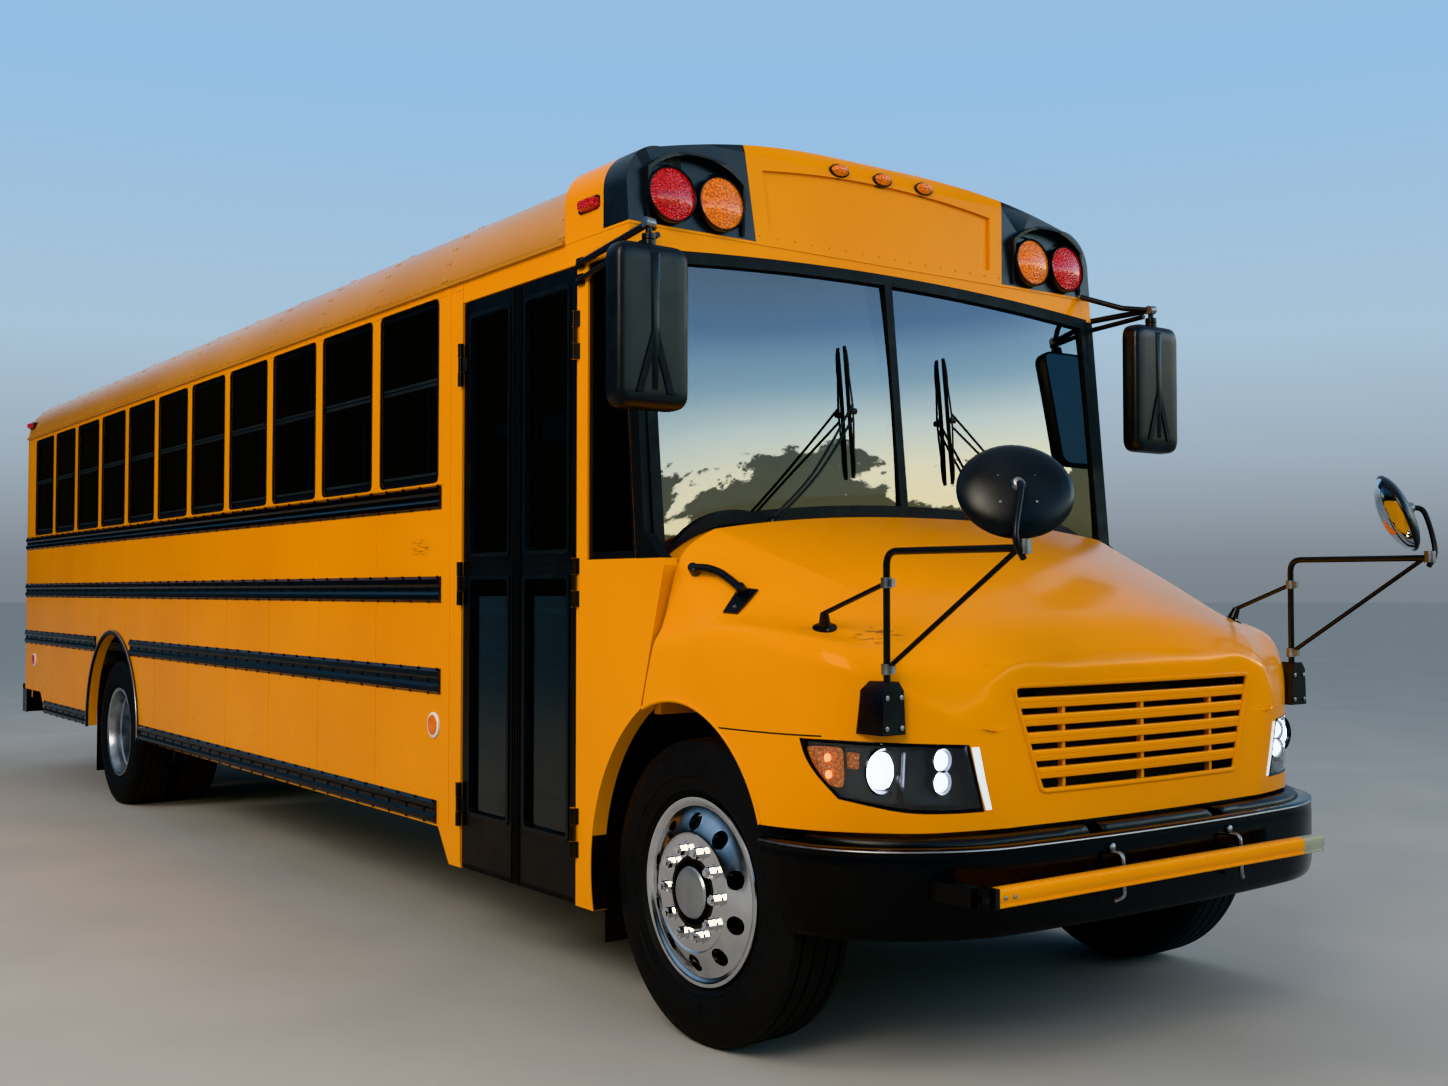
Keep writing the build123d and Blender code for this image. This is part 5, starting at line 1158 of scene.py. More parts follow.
def bumperRing(inset, z):
    # the plan at one height, cut at the slanted end, from one side round to the other
    (z0, s0), (z1, s1) = (bumperEnd[0], bumperEnd[1]) if z < bumperEnd[1][0] else (bumperEnd[1], bumperEnd[2])
    end = s0 + (s1 - s0) * (z - z0) / (z1 - z0)
    plan = bumperPlan(inset)
    line, length = [], [0.0]
    for a, b in zip(plan, plan[1:]):
        if b[1] <= end:
            if not line:
                share = (end - a[1]) / (b[1] - a[1]) if a[1] > end else 0.0
                line.append((a[0] + (b[0] - a[0]) * share, a[1] + (b[1] - a[1]) * share))
            line.append(b)
    for a, b in zip(line, line[1:]):
        length.append(length[-1] + hypot(b[0] - a[0], b[1] - a[1]))
    half = []
    for k in range(49):
        d = length[-1] * k / 48
        i = max(j for j in range(len(length) - 1) if length[j] <= d + 1e-9)
        share = min(1.0, (d - length[i]) / (length[i + 1] - length[i]))
        half.append((line[i][0] + (line[i + 1][0] - line[i][0]) * share,
                     line[i][1] + (line[i + 1][1] - line[i][1]) * share))
    return [at(x, s, z) for x, s in half] + [at(-x, s, z) for x, s in reversed(half[:-1])]


def makeBumper():
    skin = Sketch()
    rings = [bumperRing(inset, z) for inset, z in bumperRows]
    skin.net(rings + [rings[0]])
    for end in (0, -1):
        ring = [r[end] for r in rings]
        skin.add(ring, [list(range(len(ring)))])
    for side in (-1, 1):
        # brackets to the frame, pivot pins of the hood, and the tow hooks' plates
        skin.strip(side, -1008, -930, 606, 736, 352, 432)
        skin.turn(collar(0, 0.061, 0, 0.012), at(side * 357, -950, 690),
                  (-side, 0, 0), 20)
        hook = [at(side * 284, s, z) for s, z in ((-990, 582), (-1044, 582), (-1066, 590), (-1078, 606),
                                                  (-1080, 620),
                                                  (-1074, 638), (-1062, 650), (-1044, 654), (-990, 654))]
        skin.prism(hook, Vector((side * 0.016, 0, 0)), 1)
        skin.tube(bent([at(side * 300, -1018, 690), at(side * 300, -1062, 690), at(side * 300, -1066, 560),
                        at(side * 330, -1050, 548)], 0.02, 5), 0.0075, 8, 2)
        skin.turn([(0, 0.014), (0.006, 0.014), (0.010, 0.008), (0.012, 0.0)], at(side * 300, -1018, 704),
                  (0, -1, 0), 12, 2)
    piece = skin.make("bumperSkin", ["blackGloss", "chassis", "zinc"], 32)
    cutter = Sketch()
    for side in (-1, 1):
        cutter.turn(collar(-0.1, 0.1, 0, 0.022), at(side * 292, -1044, 618), (1, 0, 0), 24)
    cutAway(piece, cutter.make("eyeCutter", ()))
    piece.data.set_sharp_from_angle(angle=radians(32))
    settle(piece, "bus", "black_paint", "front_bumper")
    # a zinc tube along the top edge: a painted highlight standing in for the edge's shine
    line = Sketch()
    line.tube(bumperRing(0.4, 739), 0.0032, 6)
    settle(line.make("bumperEdgePaintedHighlight", ["zinc"]), "bus", "black_paint")


makeBumper()


def makeValance():
    # dark plastic deflectors behind the hood's lower edge
    panel = Sketch()
    for x0, x1, y in ((-560, -328, -888), (-292, 292, -900), (328, 560, -888)):
        panel.block(at(x0, y, 700), at(x1, y + 5, 868))
    # the radiator's shroud: a back plate with a core, and four walls flaring to the grille
    back = [at(x, -640, z) for x, z in ((-420, 760), (420, 760), (420, 1220), (-420, 1220))]
    front = [at(x, -868, z) for x, z in ((-545, 868), (545, 868), (545, 1205), (-545, 1205))]
    panel.net([back, front] + [[p + (p - Vector((0, p.y, 1.0))) * 0.01 for p in ring]
                               for ring in (front, back)],
              closed=True)
    panel.add(back, [[0, 1, 2, 3]])
    settle(panel.make("noseDeflectors", ["blackSatin"]), "bus", "black_paint")
    fins = Sketch()
    for k in range(60):
        x = -400 + 800 * k / 59
        fins.block(at(x - 2, -655, 780), at(x + 2, -645, 1200))
    settle(fins.make("radiatorFins", ["chassis"]), "bus", "black_paint")


makeValance()


def makeLiners():
    # inner fenders: an arched roof over each wheel, an inner wall, a splash shield ahead of it
    liner = Sketch()
    for side in (-1, 1):
        arc = [(s, z + 14) for s, z in archArc if s < 96] + [(96, 1134)]
        rings = []
        for inset in (0, 4):
            for x in (1196, 1140, 600, 566) if inset == 0 else (566, 600, 1140, 1196):
                rings.append([at(side * x, s, z + inset) for s, z in arc])
        liner.net(rings + [rings[0]])
        wall = [at(side * 566, s, z) for s, z in [(-398, 700)] + arc + [(96, 700)]]
        liner.prism(wall, Vector((side * 0.004, 0, 0)))
        shield = [(566, -410), (566, -884), (700, -876), (880, -800), (1060, -660), (1150, -520),
                  (1186, -410)]
        liner.prism([at(side * x, s, 790) for x, s in shield], Vector((0, 0, 0.004)))
        liner.prism([at(side * 566, s, z) for s, z in ((-410, 790), (-884, 790), (-860, 1120), (-410, 1300))],
                    Vector((side * 0.004, 0, 0)))
    settle(liner.make("innerFenders", ["enamel"], 30), "hood", "yellow_paint")


makeLiners()

# Crossing arm: a folded channel with a pale line along its foot, a black root clamp and a clear tip
armForm = {"x": -950, "station": -1106, "low": 606, "high": 662, "length": 1645, "tip": 116}


def makeCrossingArm():
    form = armForm
    bar = Sketch()
    x0 = form["x"] + 26
    xEnd = form["x"] + form["length"]
    y0, y1 = form["station"] - 15, form["station"] + 15
    low, high = form["low"], form["high"]
    section = [(y1, low), (y0 + 2, low), (y0, low + 2), (y0, low + 7), (y0 + 5, low + 9), (y0 + 5, low + 13),
               (y0 + 1, low + 20), (y0, low + 30), (y0 + 1, high - 14), (y0 + 4, high - 5), (y0 + 10, high),
               (y1, high)]
    for a, b, finish in ((x0, xEnd - form["tip"], 0), (xEnd - form["tip"] + 1, xEnd, 1)):
        bar.net([[at(x, s, z) for s, z in section] for x in (a, b)], closed=True, caps=True, finish=finish)
    bar.block(at(x0 - 2, y0 - 1, low - 1), at(x0 + 16, y1 + 1, high + 0), 2)
    for x in (x0 + 40, x0 + 78):
        bar.turn([(0, 0.007), (0.003, 0.006), (0.005, 0.0)], at(x, y0, (low + high) / 2), (0, -1, 0), 14, 3)
    bar.turn(collar(-0.009, 0.009, 0, 0.011), at(form["x"], form["station"], 634),
             (0, 0, 1), 20, 2)
    bar.block(at(form["x"], form["station"] - 4, 625), at(x0 + 2, form["station"] + 4, 643), 2)
    looks = ["enamel", "clearTip", "blackSatin", "zinc"]
    settle(bar.make("crossingBar", looks, 30), "crossing_gate", "yellow_paint", "crossing_arm")


finishes["clearTip"] = mottled("clearPolycarbonateTip", ("#C4C8B4", "#B6BBA8"), (0.15, 0.25), 60, 6, 0.02,
                               **{"Transmission Weight": 0.5})
makeCrossingArm()
print("bumper, deflectors, inner fenders and crossing arm made")

# Crossing mirrors: bent tube posts with clamps, braces on cast feet, and oval heads
# the heads face out, up and ahead; each is set for the driver, so the two stand a little apart from symmetry
mirrorForm = {"post": (1027, -788), "top": 1616, "wide": 163, "tall": 145, "facing": (0.55, -0.73, 0.40),
              "heads": {-1: (955, -1233, 1776), 1: (1005, -1233, 1776)}}



def mirrorPost(tubes, side):
    # the bent post with its two braces and clamps, on a bracket at the nose and a foot on the fender
    (x, s), top = mirrorForm["post"], mirrorForm["top"]
    x *= side
    tubes.tube(bent([at(x, s, 1110), at(x, s, top), at(x, -1328, top - 2)], 0.045, 8), 0.0108, 14)
    tubes.tube([at(x, s, 1268), at(x, -1308, top - 4)], 0.0078, 10)
    base, lean = hoodTree.ray_cast(at(side * 1040, -520, 1900), Vector((0, 0, -1)))[:2]
    tubes.tube([base + lean * 0.05, at(x, s, 1523)], 0.0078, 10)
    # foot: an oval flange with a cone, two bolts
    cone = [(-0.006, 0.0), (-0.006, 0.040), (0.004, 0.038), (0.010, 0.020), (0.050, 0.013), (0.058, 0.0)]
    tubes.turn(cone, base, lean, 22)
    across = lean.orthogonal().normalized()
    for turnBy in (0.4, 0.4 + pi):
        spot = base + (across * cos(turnBy) + lean.cross(across) * sin(turnBy)) * 0.029 + lean * 0.005
        tubes.turn([(0, 0.006), (0.005, 0.006), (0.006, 0.0)], spot, lean, 8, 1)
    # bracket box under the post, with its bolts
    face = min(onNose(x, 1150)[0].y - 0.004, at(0, s, 0).y - 0.030)
    back = onNose(x, 1210)[0].y + 0.02
    outline = ((-0.046, 1.075), (0.046, 1.075), (0.040, 1.205), (0.020, 1.232), (-0.020, 1.232),
               (-0.040, 1.205))
    box = [Vector((x / 1000 + dx, face, z)) for dx, z in outline]
    tubes.net([box, [Vector((p.x, back + 0.03, p.z)) for p in box]], closed=True, caps=True)
    for dx, z in ((-0.03, 1.095), (0.03, 1.095), (-0.028, 1.185), (0.028, 1.185)):
        place = Vector((x / 1000 + dx, face, z))
        tubes.turn([(0, 0.008), (0.004, 0.008), (0.006, 0.0)], place, (0, -1, 0), 10, 1)
    for z in (1268, 1523):
        tubes.turn(collar(-0.016, 0.016, 0.0115, 0.0175), at(x, s, z), (0, 0, 1), 18, 1)
        tubes.block(at(x - 8, s - 30, z - 11), at(x + 8, s - 12, z + 11), 1)


def mirrorHead(tubes, heads, side):
    # a curved neck with its ball joint, and the oval head whose mirror faces the driver
    form = mirrorForm
    x, top = side * form["post"][0], form["top"]
    axis = Vector(form["facing"])
    axis.x *= side
    axis.normalize()
    headX, headStation, headZ = form["heads"][side]
    centre = at(side * headX, headStation, headZ)
    end = at(x, -1326, top)
    neck = [end - Vector((0, 0, 0.03)), end + Vector((side * 0.035, -0.004, 0.03)),
            centre + axis * 0.088 - Vector((0, 0, 0.035)), centre + axis * 0.034]
    tubes.tube(smoothLine(neck, 8), 0.0095, 12)
    tubes.turn([(0, 0.024), (0.010, 0.022), (0.022, 0.014), (0.026, 0.0)], centre + axis * 0.030, axis, 16, 1)
    tubes.turn(collar(-0.020, 0.020, 0.013, 0.019), at(x, -1330, top + 2), (0, 0, 1), 16, 1)
    across = axis.cross(Vector((0, 0, 1))).normalized()
    up = across.cross(axis)

    def ringAt(depth, share):
        return [centre + axis * depth + across * (cos(t) * share * form["wide"] / 1000)
                + up * (sin(t) * share * form["tall"] / 1000) for t in turns(48)]

    # rows are (depth, share of the oval): the housing's back and rim, then the domed glass
    housing = ((0.0355, 0.0), (0.034, 0.25), (0.030, 0.5), (0.023, 0.72), (0.012, 0.89), (0.0, 0.985),
               (-0.006, 1.0), (-0.012, 0.99), (-0.013, 0.955))
    dome = ((-0.0125, 0.955), (-0.030, 0.86), (-0.046, 0.66), (-0.057, 0.40), (-0.061, 0.2), (-0.062, 0.0))
    heads.net([ringAt(depth, share) for depth, share in housing], closed=True)
    heads.net([ringAt(depth, share) for depth, share in dome], closed=True, finish=1)
    for dx, dz in ((-0.05, 0.03), (0.05, 0.03), (-0.05, -0.05), (0.05, -0.05)):
        spot = centre + across * dx + up * dz + axis * 0.0285
        heads.turn([(0, 0.005), (0.003, 0.004), (0.004, 0.0)], spot, axis, 8, 2)
    lean = (axis * -1 + across * side * 0.35).normalized()
    spot = centre + across * (side * 0.055) - up * 0.03 - axis * 0.052
    heads.turn([(0.0, 0.036), (0.003, 0.034), (0.005, 0.0)], spot, lean, 24, 3)


def makeCrossingMirrors():
    tubes, heads = Sketch(), Sketch()
    for side in (-1, 1):
        mirrorPost(tubes, side)
        mirrorHead(tubes, heads, side)
    settle(tubes.make("crossingMirrorArms", ["blackSatin", "zinc"], 40), "hood", "black_plastic",
           "crossing_mirrors")
    looks = ["blackMoulded", "mirror", "zinc", "amber"]
    settle(heads.make("crossingMirrorHeads", looks, 40), "hood", "black_plastic")


makeCrossingMirrors()

# Side mirrors: ribbed housings, each on a clamp and a double tube arm from the cap
sideMirrorForm = {"inner": 1165, "outer": 1455, "station": 100, "low": 2100, "high": 2650, "deep": 80}


def makeSideMirrors():
    form = sideMirrorForm
    tubes, shells = Sketch(), Sketch()
    for side in (-1, 1):
        mid = (form["inner"] + form["outer"]) / 2
        half, tall = (form["outer"] - form["inner"]) / 2, (form["high"] - form["low"]) / 2
        centreZ = (form["high"] + form["low"]) / 2

        def ring(shrink, station, corner=58):
            outline = roundedBox(mid - half + shrink, mid + half - shrink, centreZ - tall + shrink,
                                 centreZ + tall - shrink, max(corner - shrink * 0.6, 12), 6)
            return [at(side * x, station, z) for x, z in outline]

        front = form["station"] - form["deep"]
        # rows are (shrunk by, behind the front)
        rows = ((60, 0.5), (30, 1), (14, 6), (5, 14), (1, 26), (0, 44), (0, 72), (2, 79), (8, 80), (10, 76))
        rings = [ring(shrink, front + deep) for shrink, deep in rows]
        shells.add(rings[0], [list(range(len(rings[0])))])
        shells.net(rings, closed=True)
        glassRing = ring(10, front + 76)
        shells.add(glassRing, [list(range(len(glassRing)))], 1)
        # the rib down the middle, and a dark recess below it
        rib = [(-0.012, 2.16), (0.012, 2.16), (0.020, 2.62), (-0.020, 2.62)]
        ribRing = [Vector((side * mid / 1000 + x, at(0, front, 0).y + 0.0005, z)) for x, z in rib]
        tip = [Vector((side * mid / 1000 + x * 0.4, at(0, front, 0).y - 0.006, 2.39 + (z - 2.39) * 0.96))
               for x, z in rib]
        shells.net([ribRing, tip], closed=True)
        shells.add(tip, [[0, 1, 2, 3]])
        vee = [Vector((side * mid / 1000 + x, at(0, front, 0).y - 0.0005, z))
               for x, z in ((-0.075, 2.15), (-0.05, 2.15), (0.0, 2.31), (0.05, 2.15), (0.075, 2.15),
                            (0.008, 2.37),
                            (-0.008, 2.37))]
        shells.prism(vee, Vector((0, -0.0035, 0)), 2)
        top = at(side * mid, 60, 2722)
        tubes.tube([at(side * 1228, 640, 2700), top], 0.0125, 12)
        tubes.tube(bent([at(side * 1228, 640, 2640), at(side * 1262, 300, 2672),
                         at(side * (mid - 40), 66, 2690)], 0.1, 5),
                   0.0105, 12)
        tubes.tube(bent([top, at(side * 1230, 150, 2735), at(side * 1150, 312, 2800)], 0.05, 5), 0.0115, 12)
        tubes.tube([at(side * mid, 60, 2600), top + Vector((0, 0, 0.006))], 0.0115, 12)
        tubes.turn(collar(-0.018, 0.018, 0.0, 0.019), top, (side, 0, 0.1), 16, 1)
        for z in (2655, 2676):
            tubes.turn(collar(-0.009, 0.009, 0.0, 0.024), at(side * mid, 60, z), (0, 0, 1), 16)
        for z in (2700, 2640):
            tubes.strip(side, 618, 662, z - 20, z + 20, 1219, 1232)
            for s in (626, 654):
                tubes.turn([(0, 0.006), (0.004, 0.005), (0.005, 0.0)], at(side * 1232, s, z), (side, 0, 0),
                           8, 1)
    settle(tubes.make("sideMirrorArms", ["blackSatin", "zinc"], 40), "bus", "black_plastic",
           "side_mirrors")
    looks = ["blackMoulded", "mirror", "gasket"]
    settle(shells.make("sideMirrorHeads", looks, 40), "bus", "black_plastic")


makeSideMirrors()

# Wipers: a cast pivot, two thin arm rods to the blade's middle, and a blade with its yokes
wiperForm = {"base": (717, 150), "blade": 264, "low": 1936, "high": 2434}


def screenStation(z):
    # the windshield's outer face leans back from its foot to its head, rows of (station, z)
    (footStation, footZ), (headStation, headZ) = (222, 1786), (317, 2729)
    return footStation + (z - footZ) * (headStation - footStation) / (headZ - footZ)


def makeWipers():
    form = wiperForm
    sketch = Sketch()
    middle = (form["low"] + form["high"]) / 2
    for side in (-1, 1):
        base = at(side * form["base"][0], form["base"][1], 1722)
        sketch.turn([(0, 0.036), (0.014, 0.034), (0.026, 0.024), (0.040, 0.020), (0.046, 0.0)], base,
                    (0, -0.3, 1), 20)
        joint = at(side * form["blade"], screenStation(middle) - 32, middle)
        for step in (-13, 13):
            start = at(side * (form["base"][0] + step), form["base"][1] - 8, 1756)
            knee = at(side * (form["base"][0] - 200 + step), form["base"][1] - 2, 1930)
            sketch.tube(smoothLine([start, knee, at(side * form["blade"], screenStation(middle + step) - 34,
                                                    middle + 2 * step)],
                                   6), 0.0048, 8)
        sketch.turn(collar(-0.014, 0.014, 0, 0.012), joint, (1, 0, 0), 12)
        low, high = form["low"], form["high"]

        def along(z, out):
            return at(side * form["blade"], screenStation(z) - out, z)

        sketch.tube([along(z, 17) for z in (low, middle, high)], [0.0035, 0.0045, 0.0035], 6)
        rubber = [Vector((dx, dy, 0)) for dx, dy in ((-0.0035, 0), (0.0035, 0), (0.001, 0.015),
                                                     (-0.001, 0.015))]
        sketch.net([[along(z, 16) + v for v in rubber] for z in (low - 8, middle, high + 8)], closed=True,
                   caps=True, finish=1)
        for z0, z1, lift in ((low + 60, high - 60, 34), (low + 8, low + 150, 25), (high - 150, high - 8, 25)):
            mid = (z0 + z1) / 2
            sketch.tube(smoothLine([along(z0, 19), along(mid, lift), along(z1, 19)], 6), 0.0042, 6)
    settle(sketch.make("wiperArms", ["blackSatin", "gasket"], 40), "bus", "black_plastic", "wipers")


makeWipers()
print("mirrors and wipers made")

# Windshield: two panes bowed a few millimetres, so that the sky runs down them as a gradient
screenForm = {"post": 17, "bow": 9.0, "thick": 3.5}
screenFoot = ((0, 1828), (380, 1817), (760, 1783), (900, 1765), (1000, 1741), (1060, 1706), (1104, 1658),
              (1146, 1664))


def between(rows, x):
    for (x0, z0), (x1, z1) in zip(rows, rows[1:]):
        if x <= x1:
            return z0 + (z1 - z0) * (x - x0) / (x1 - x0)
    return rows[-1][1]


def makeScreen():
    panes = Sketch()
    for side in (-1, 1):
        grids = []
        for back in (0, screenForm["thick"]):
            grid = []
            for j in range(17):
                row = []
                for i in range(25):
                    x = screenForm["post"] + (1145 - screenForm["post"]) * i / 24
                    low, high = between(screenFoot, x), 2713 - 52 * (x / 1142) ** 2
                    z = low + (high - low) * j / 16
                    v = (z - 2230) / 480
                    u = x / 1145
                    station = (screenStation(z) + 17 - screenForm["bow"] * (1 - v * v) * (1 - 0.5 * u ** 4)
                               + back)
                    row.append(at(side * x, station, z))
                grid.append(row)
            grids.append(grid)
            panes.net(grid)
        panes.net([[rows[j][i] for j, i in gridEdge(24, 16)] for rows in grids], closed=True)
    settle(panes.make("screenPanes", ["screenGlass"], 60), "bus", "clear_glass", "windshield_glass")


makeScreen()


def makeNoseShelf():
    # the black step between the bumper's top edge and the hood's lower edge
    shelf = Sketch()
    ring = [p for p in bumperRing(46, 746) if p.y < at(0, -540, 0).y]
    centre = at(0, -150, 785)
    pairs = []
    for p in ring:
        start = Vector((p.x, p.y, 0.785))
        hit = hoodTree.ray_cast(start, (centre - start).normalized())[0]
        if hit:
            edge = hit + (start - hit).normalized() * 0.005
            pairs.append((p, Vector((edge.x, edge.y, 0.768))))
    for (p, q), (r, s) in zip(pairs, pairs[1:]):
        middle = abs((p.x + r.x) / 2)
        if 0.285 < middle < 0.335:
            continue
        mid1, mid2 = p.lerp(q, 0.35) + Vector((0, 0, 0.010)), r.lerp(s, 0.35) + Vector((0, 0, 0.010))
        under1, under2 = (end + Vector((-end.x * 0.10, 0.095, -0.006)) for end in (q, s))
        shelf.add([p, mid1, q, under1, r, mid2, s, under2], [[0, 1, 5, 4], [1, 2, 6, 5], [2, 3, 7, 6]])
    piece = shelf.make("noseShelf", ["blackSatin"], 40)
    modified(piece, "SOLIDIFY", thickness=0.003)
    applied(piece)
    settle(piece, "bus", "black_plastic")


makeNoseShelf()

# Lamps: domed acrylic lenses with concentric prisms, each in a thin bezel
lampRowsOut = (
    # colour, x, station, z, radius
    ("red", 1048, 304, 2912, 99), ("amber", 830, 304, 2912, 99), ("red", 1010, 9868, 2880, 86),
    ("amber", 800, 9868, 2880, 86), ("red", 1080, 9868, 1560, 86), ("amber", 1080, 9868, 1340, 86),
    ("red", 227, 9856, 3120, 27), ("red", 0, 9856, 3120, 27),
)


def lensProfile(radius, tall):
    rows = [(-0.030, radius * 0.985), (-0.006, radius), (0.0, radius * 0.985)]
    for k in range(1, 9):
        share = 1 - k / 8
        rows.append((tall * (1 - share ** 2) - (0.0018 if k % 2 else 0.0), radius * share * 0.97))
    return rows


def makeLenses():
    for colour in ("red", "amber"):
        lenses = Sketch()
        for tone, x, station, z, radius in lampRowsOut:
            if tone != colour:
                continue
            rear = station > 5000
            ahead = Vector((0, 1, 0)) if rear else Vector((0, -1, capSlope)).normalized()
            for side in ((-1, 1) if x else (1,)):
                centre = at(side * x, station, z)
                lenses.turn(lensProfile(radius / 1000, 0.013 if rear else 0.020), centre, ahead, 40)
                lenses.turn([(-0.028, (radius + 1) / 1000), (0.004, (radius + 5) / 1000),
                             (0.008, (radius + 2) / 1000),
                             (0.004, (radius - 4) / 1000)], centre, ahead, 40, 1)
        if colour == "amber":
            for x in (-227, 0, 227):
                centre = at(x, 322 + capSlope * (3143 - 2790) - 6, 3143)
                for rows, tone in ((((-0.03, 1.16), (0.001, 1.18), (0.003, 1.0)), 1),
                                   (((0.002, 1.0), (0.012, 0.82), (0.017, 0.45), (0.018, 0.0)), 0)):
                    lenses.net([[centre + Vector((cos(t) * r * 0.042, -a, sin(t) * r * 0.022 + a * 0.3))
                                 for t in turns(32)] for a, r in rows], closed=True, finish=tone)
        looks = [colour, "blackMoulded"]
        settle(lenses.make(colour + "Lenses", looks, 50), "bus", colour + "_lens", colour + "_lamps")


makeLenses()


def makeMarkers():
    # side markers, clearance lamps on the roof's edge, and reflectors towards the tail
    markers = Sketch()
    for side in (-1, 1):
        for station, z, tone in ((1856, 926, 0), (9480, 926, 1)):
            centre = at(side * bodySide, station, z)
            markers.turn([(0.0, 0.056), (0.006, 0.055), (0.009, 0.050), (0.009, 0.044)], centre,
                         (side, 0, 0), 36, 2)
            markers.turn([(0.004, 0.0445), (0.010, 0.043), (0.014, 0.03), (0.016, 0.0)], centre,
                         (side, 0, 0), 36, tone)
        for station, z, tone in ((586, 2906, 1), (9700, 2906, 1)):
            centre = at(side * 1221, station, z)
            ring = [centre + Vector((0, sy * 0.062, sz * 0.022))
                    for sy, sz in ((-1, -0.7), (-0.8, -1), (0.8, -1), (1, -0.7),
                                                                              (1, 0.7), (0.8, 1), (-0.8, 1),
                           (-1, 0.7))]
            tip = [centre + (p - centre) * 0.72 + Vector((side * 0.026, 0, 0)) for p in ring]
            base = [centre + (p - centre) * 1.18 + Vector((side * 0.004, 0, 0)) for p in ring]
            markers.net([[centre + (p - centre) * 1.25 - Vector((side * 0.03, 0, 0)) for p in ring], base,
                         ring],
                        closed=True, finish=3)
            markers.net([ring, tip], closed=True, finish=tone)
            markers.add(tip, [list(range(8))], tone)
    looks = ["amber", "red", "signWhite", "blackMoulded"]
    settle(markers.make("markerLamps", looks, 40), "bus", "amber_lens")


makeMarkers()
print("windshield and lamps made")

# Windows: rails and beads that stand on each sash, and a rubber bead round every opening
windowForm = {"first": 1780.0, "pitch": 705.7, "count": 11, "pillar": 105.0, "low": 1967, "high": 2757,
              "mid": 0.55}


def makeWindowTrim():
    form = windowForm
    trim = Sketch()
    for side in (-1, 1):
        for i in range(form["count"]):
            s0 = form["first"] + i * form["pitch"] + form["pillar"] / 2
            s1 = s0 + form["pitch"] - form["pillar"]
            rail = form["low"] + form["mid"] * (form["high"] - form["low"])
            upright = s0 + 0.18 * (s1 - s0)
            # the first three strips are grey: the rails' tone and a painted highlight along the middle rail's
            # lips and the foot of each pane
            for strip in (
                    (s0 + 20, s1 - 20, rail + 4, rail + 17, 1208, 1215),
                    (s0 + 20, s1 - 20, rail - 15, rail - 1, 1208, 1213.5),
                    (s0 + 20, s1 - 20, form["low"] + 32, form["low"] + 46, 1205, 1212),
                    (upright, upright + 13, form["low"] + 40, rail - 10, 1203, 1210, 1),
                    (s0 + 12, s0 + 22, form["low"] + 16, form["high"] - 16, 1210, 1214, 1),
                    (s1 - 22, s1 - 12, form["low"] + 16, form["high"] - 16, 1210, 1214, 1),
                    (s0 + 30, s0 + 58, rail + 53, rail + 67, 1205, 1210, 1),
                    (s0 + 30, s0 + 58, rail - 57, rail - 43, 1205, 1210, 1)):
                trim.strip(side, *strip)
        # beads of rubber round the windows, standing a little proud of the panel
        for i in range(form["count"]):
            s0 = form["first"] + i * form["pitch"] + form["pillar"] / 2
            s1 = s0 + form["pitch"] - form["pillar"]
            path = [at(side * 1218.5, s, z) for s, z in roundedBox(s0, s1, form["low"], form["high"], 34)]
            trim.tube(path + [path[0]], 0.006, 6, 2)
    settle(trim.make("windowTrim", ["sashRailAndHighlight", "blackSatin", "gasket"], 40), "bus", "black_plastic")


makeWindowTrim()

# Entrance leaves: softened edges, a moulding round each pane, push bars and the rubber where they meet
doorForm = {"front": 673.0, "rear": 1600.0, "gap": 6.0, "meet": 12.0, "stile": 62.0, "low": 362.0,
            "high": 2697.0,
            "hinges": (620, 1530, 2440)}
doorPanes = ((590.0, 1550.0), (1650.0, 2632.0))


def makeLeafTrim():
    form = doorForm
    middle = (form["front"] + form["rear"]) / 2
    for name, hung, free in (("front", form["front"] + form["gap"], middle - form["meet"] / 2),
                             ("rear", form["rear"] - form["gap"], middle + form["meet"] / 2)):
        low, high = min(hung, free), max(hung, free)
        body = "entrance_leaf_" + name
        softened("door_leaf_" + name, "blackSatin", 4, "black_paint")
        trim = Sketch()
        for z0, z1 in doorPanes:
            outer, inner = (roundedBox(low + form["stile"] - grow, high - form["stile"] + grow, z0 - grow,
                                       z1 + grow,
                                       radius) for grow, radius in ((13, 30), (-5, 20)))
            rings = [[at(-x, s, z) for s, z in ring]
                     for ring, x in ((outer, 1214), (outer, 1219), (inner, 1219.5),
                                                                      (inner, 1196), (outer, 1190))]
            trim.net(rings + [rings[0]], closed=True)
        if name == "front":
            # the rubber lip on the free edge
            lip = [(free - 8, 1213), (free - 8, 1219), (free + 2, 1221), (free + 5, 1217), (free + 5, 1180),
                   (free - 2, 1176)]
            trim.net([[at(-x, s, z) for s, x in lip] for z in (form["low"] + 6, form["high"] - 6)],
                     closed=True, caps=True,
                     finish=1)
        seal = sorted((free, free + (-26 if name == "front" else 26)))
        trim.block(at(-1219, seal[0], form["low"] + 6), at(-1210, seal[0] + 9, form["high"] - 6), 1)
        trim.block(at(-1219, seal[1] - 9, form["low"] + 6), at(-1210, seal[1], form["high"] - 6), 1)
        # brush seal along the foot, and a fine line across the middle rail
        trim.block(at(-1216, low + 6, form["low"] - 2), at(-1190, high - 6, form["low"] + 16), 1)
        trim.block(at(-1217, low + 10, 1597), at(-1210, high - 10, 1603), 1)
        bar = [at(-1165, hung + (free - hung) * k, 1420) for k in (0.16, 0.5, 0.84)]
        trim.tube(bar, 0.013, 10, 2)
        for p in (bar[0], bar[-1]):
            trim.tube([p, p + Vector((-0.02, 0, 0))], 0.008, 8, 2)
        looks = ["blackMoulded", "gasket", "zinc"]
        settle(trim.make("leafTrim" + name.capitalize(), looks, 40), body, "black_plastic")


makeLeafTrim()


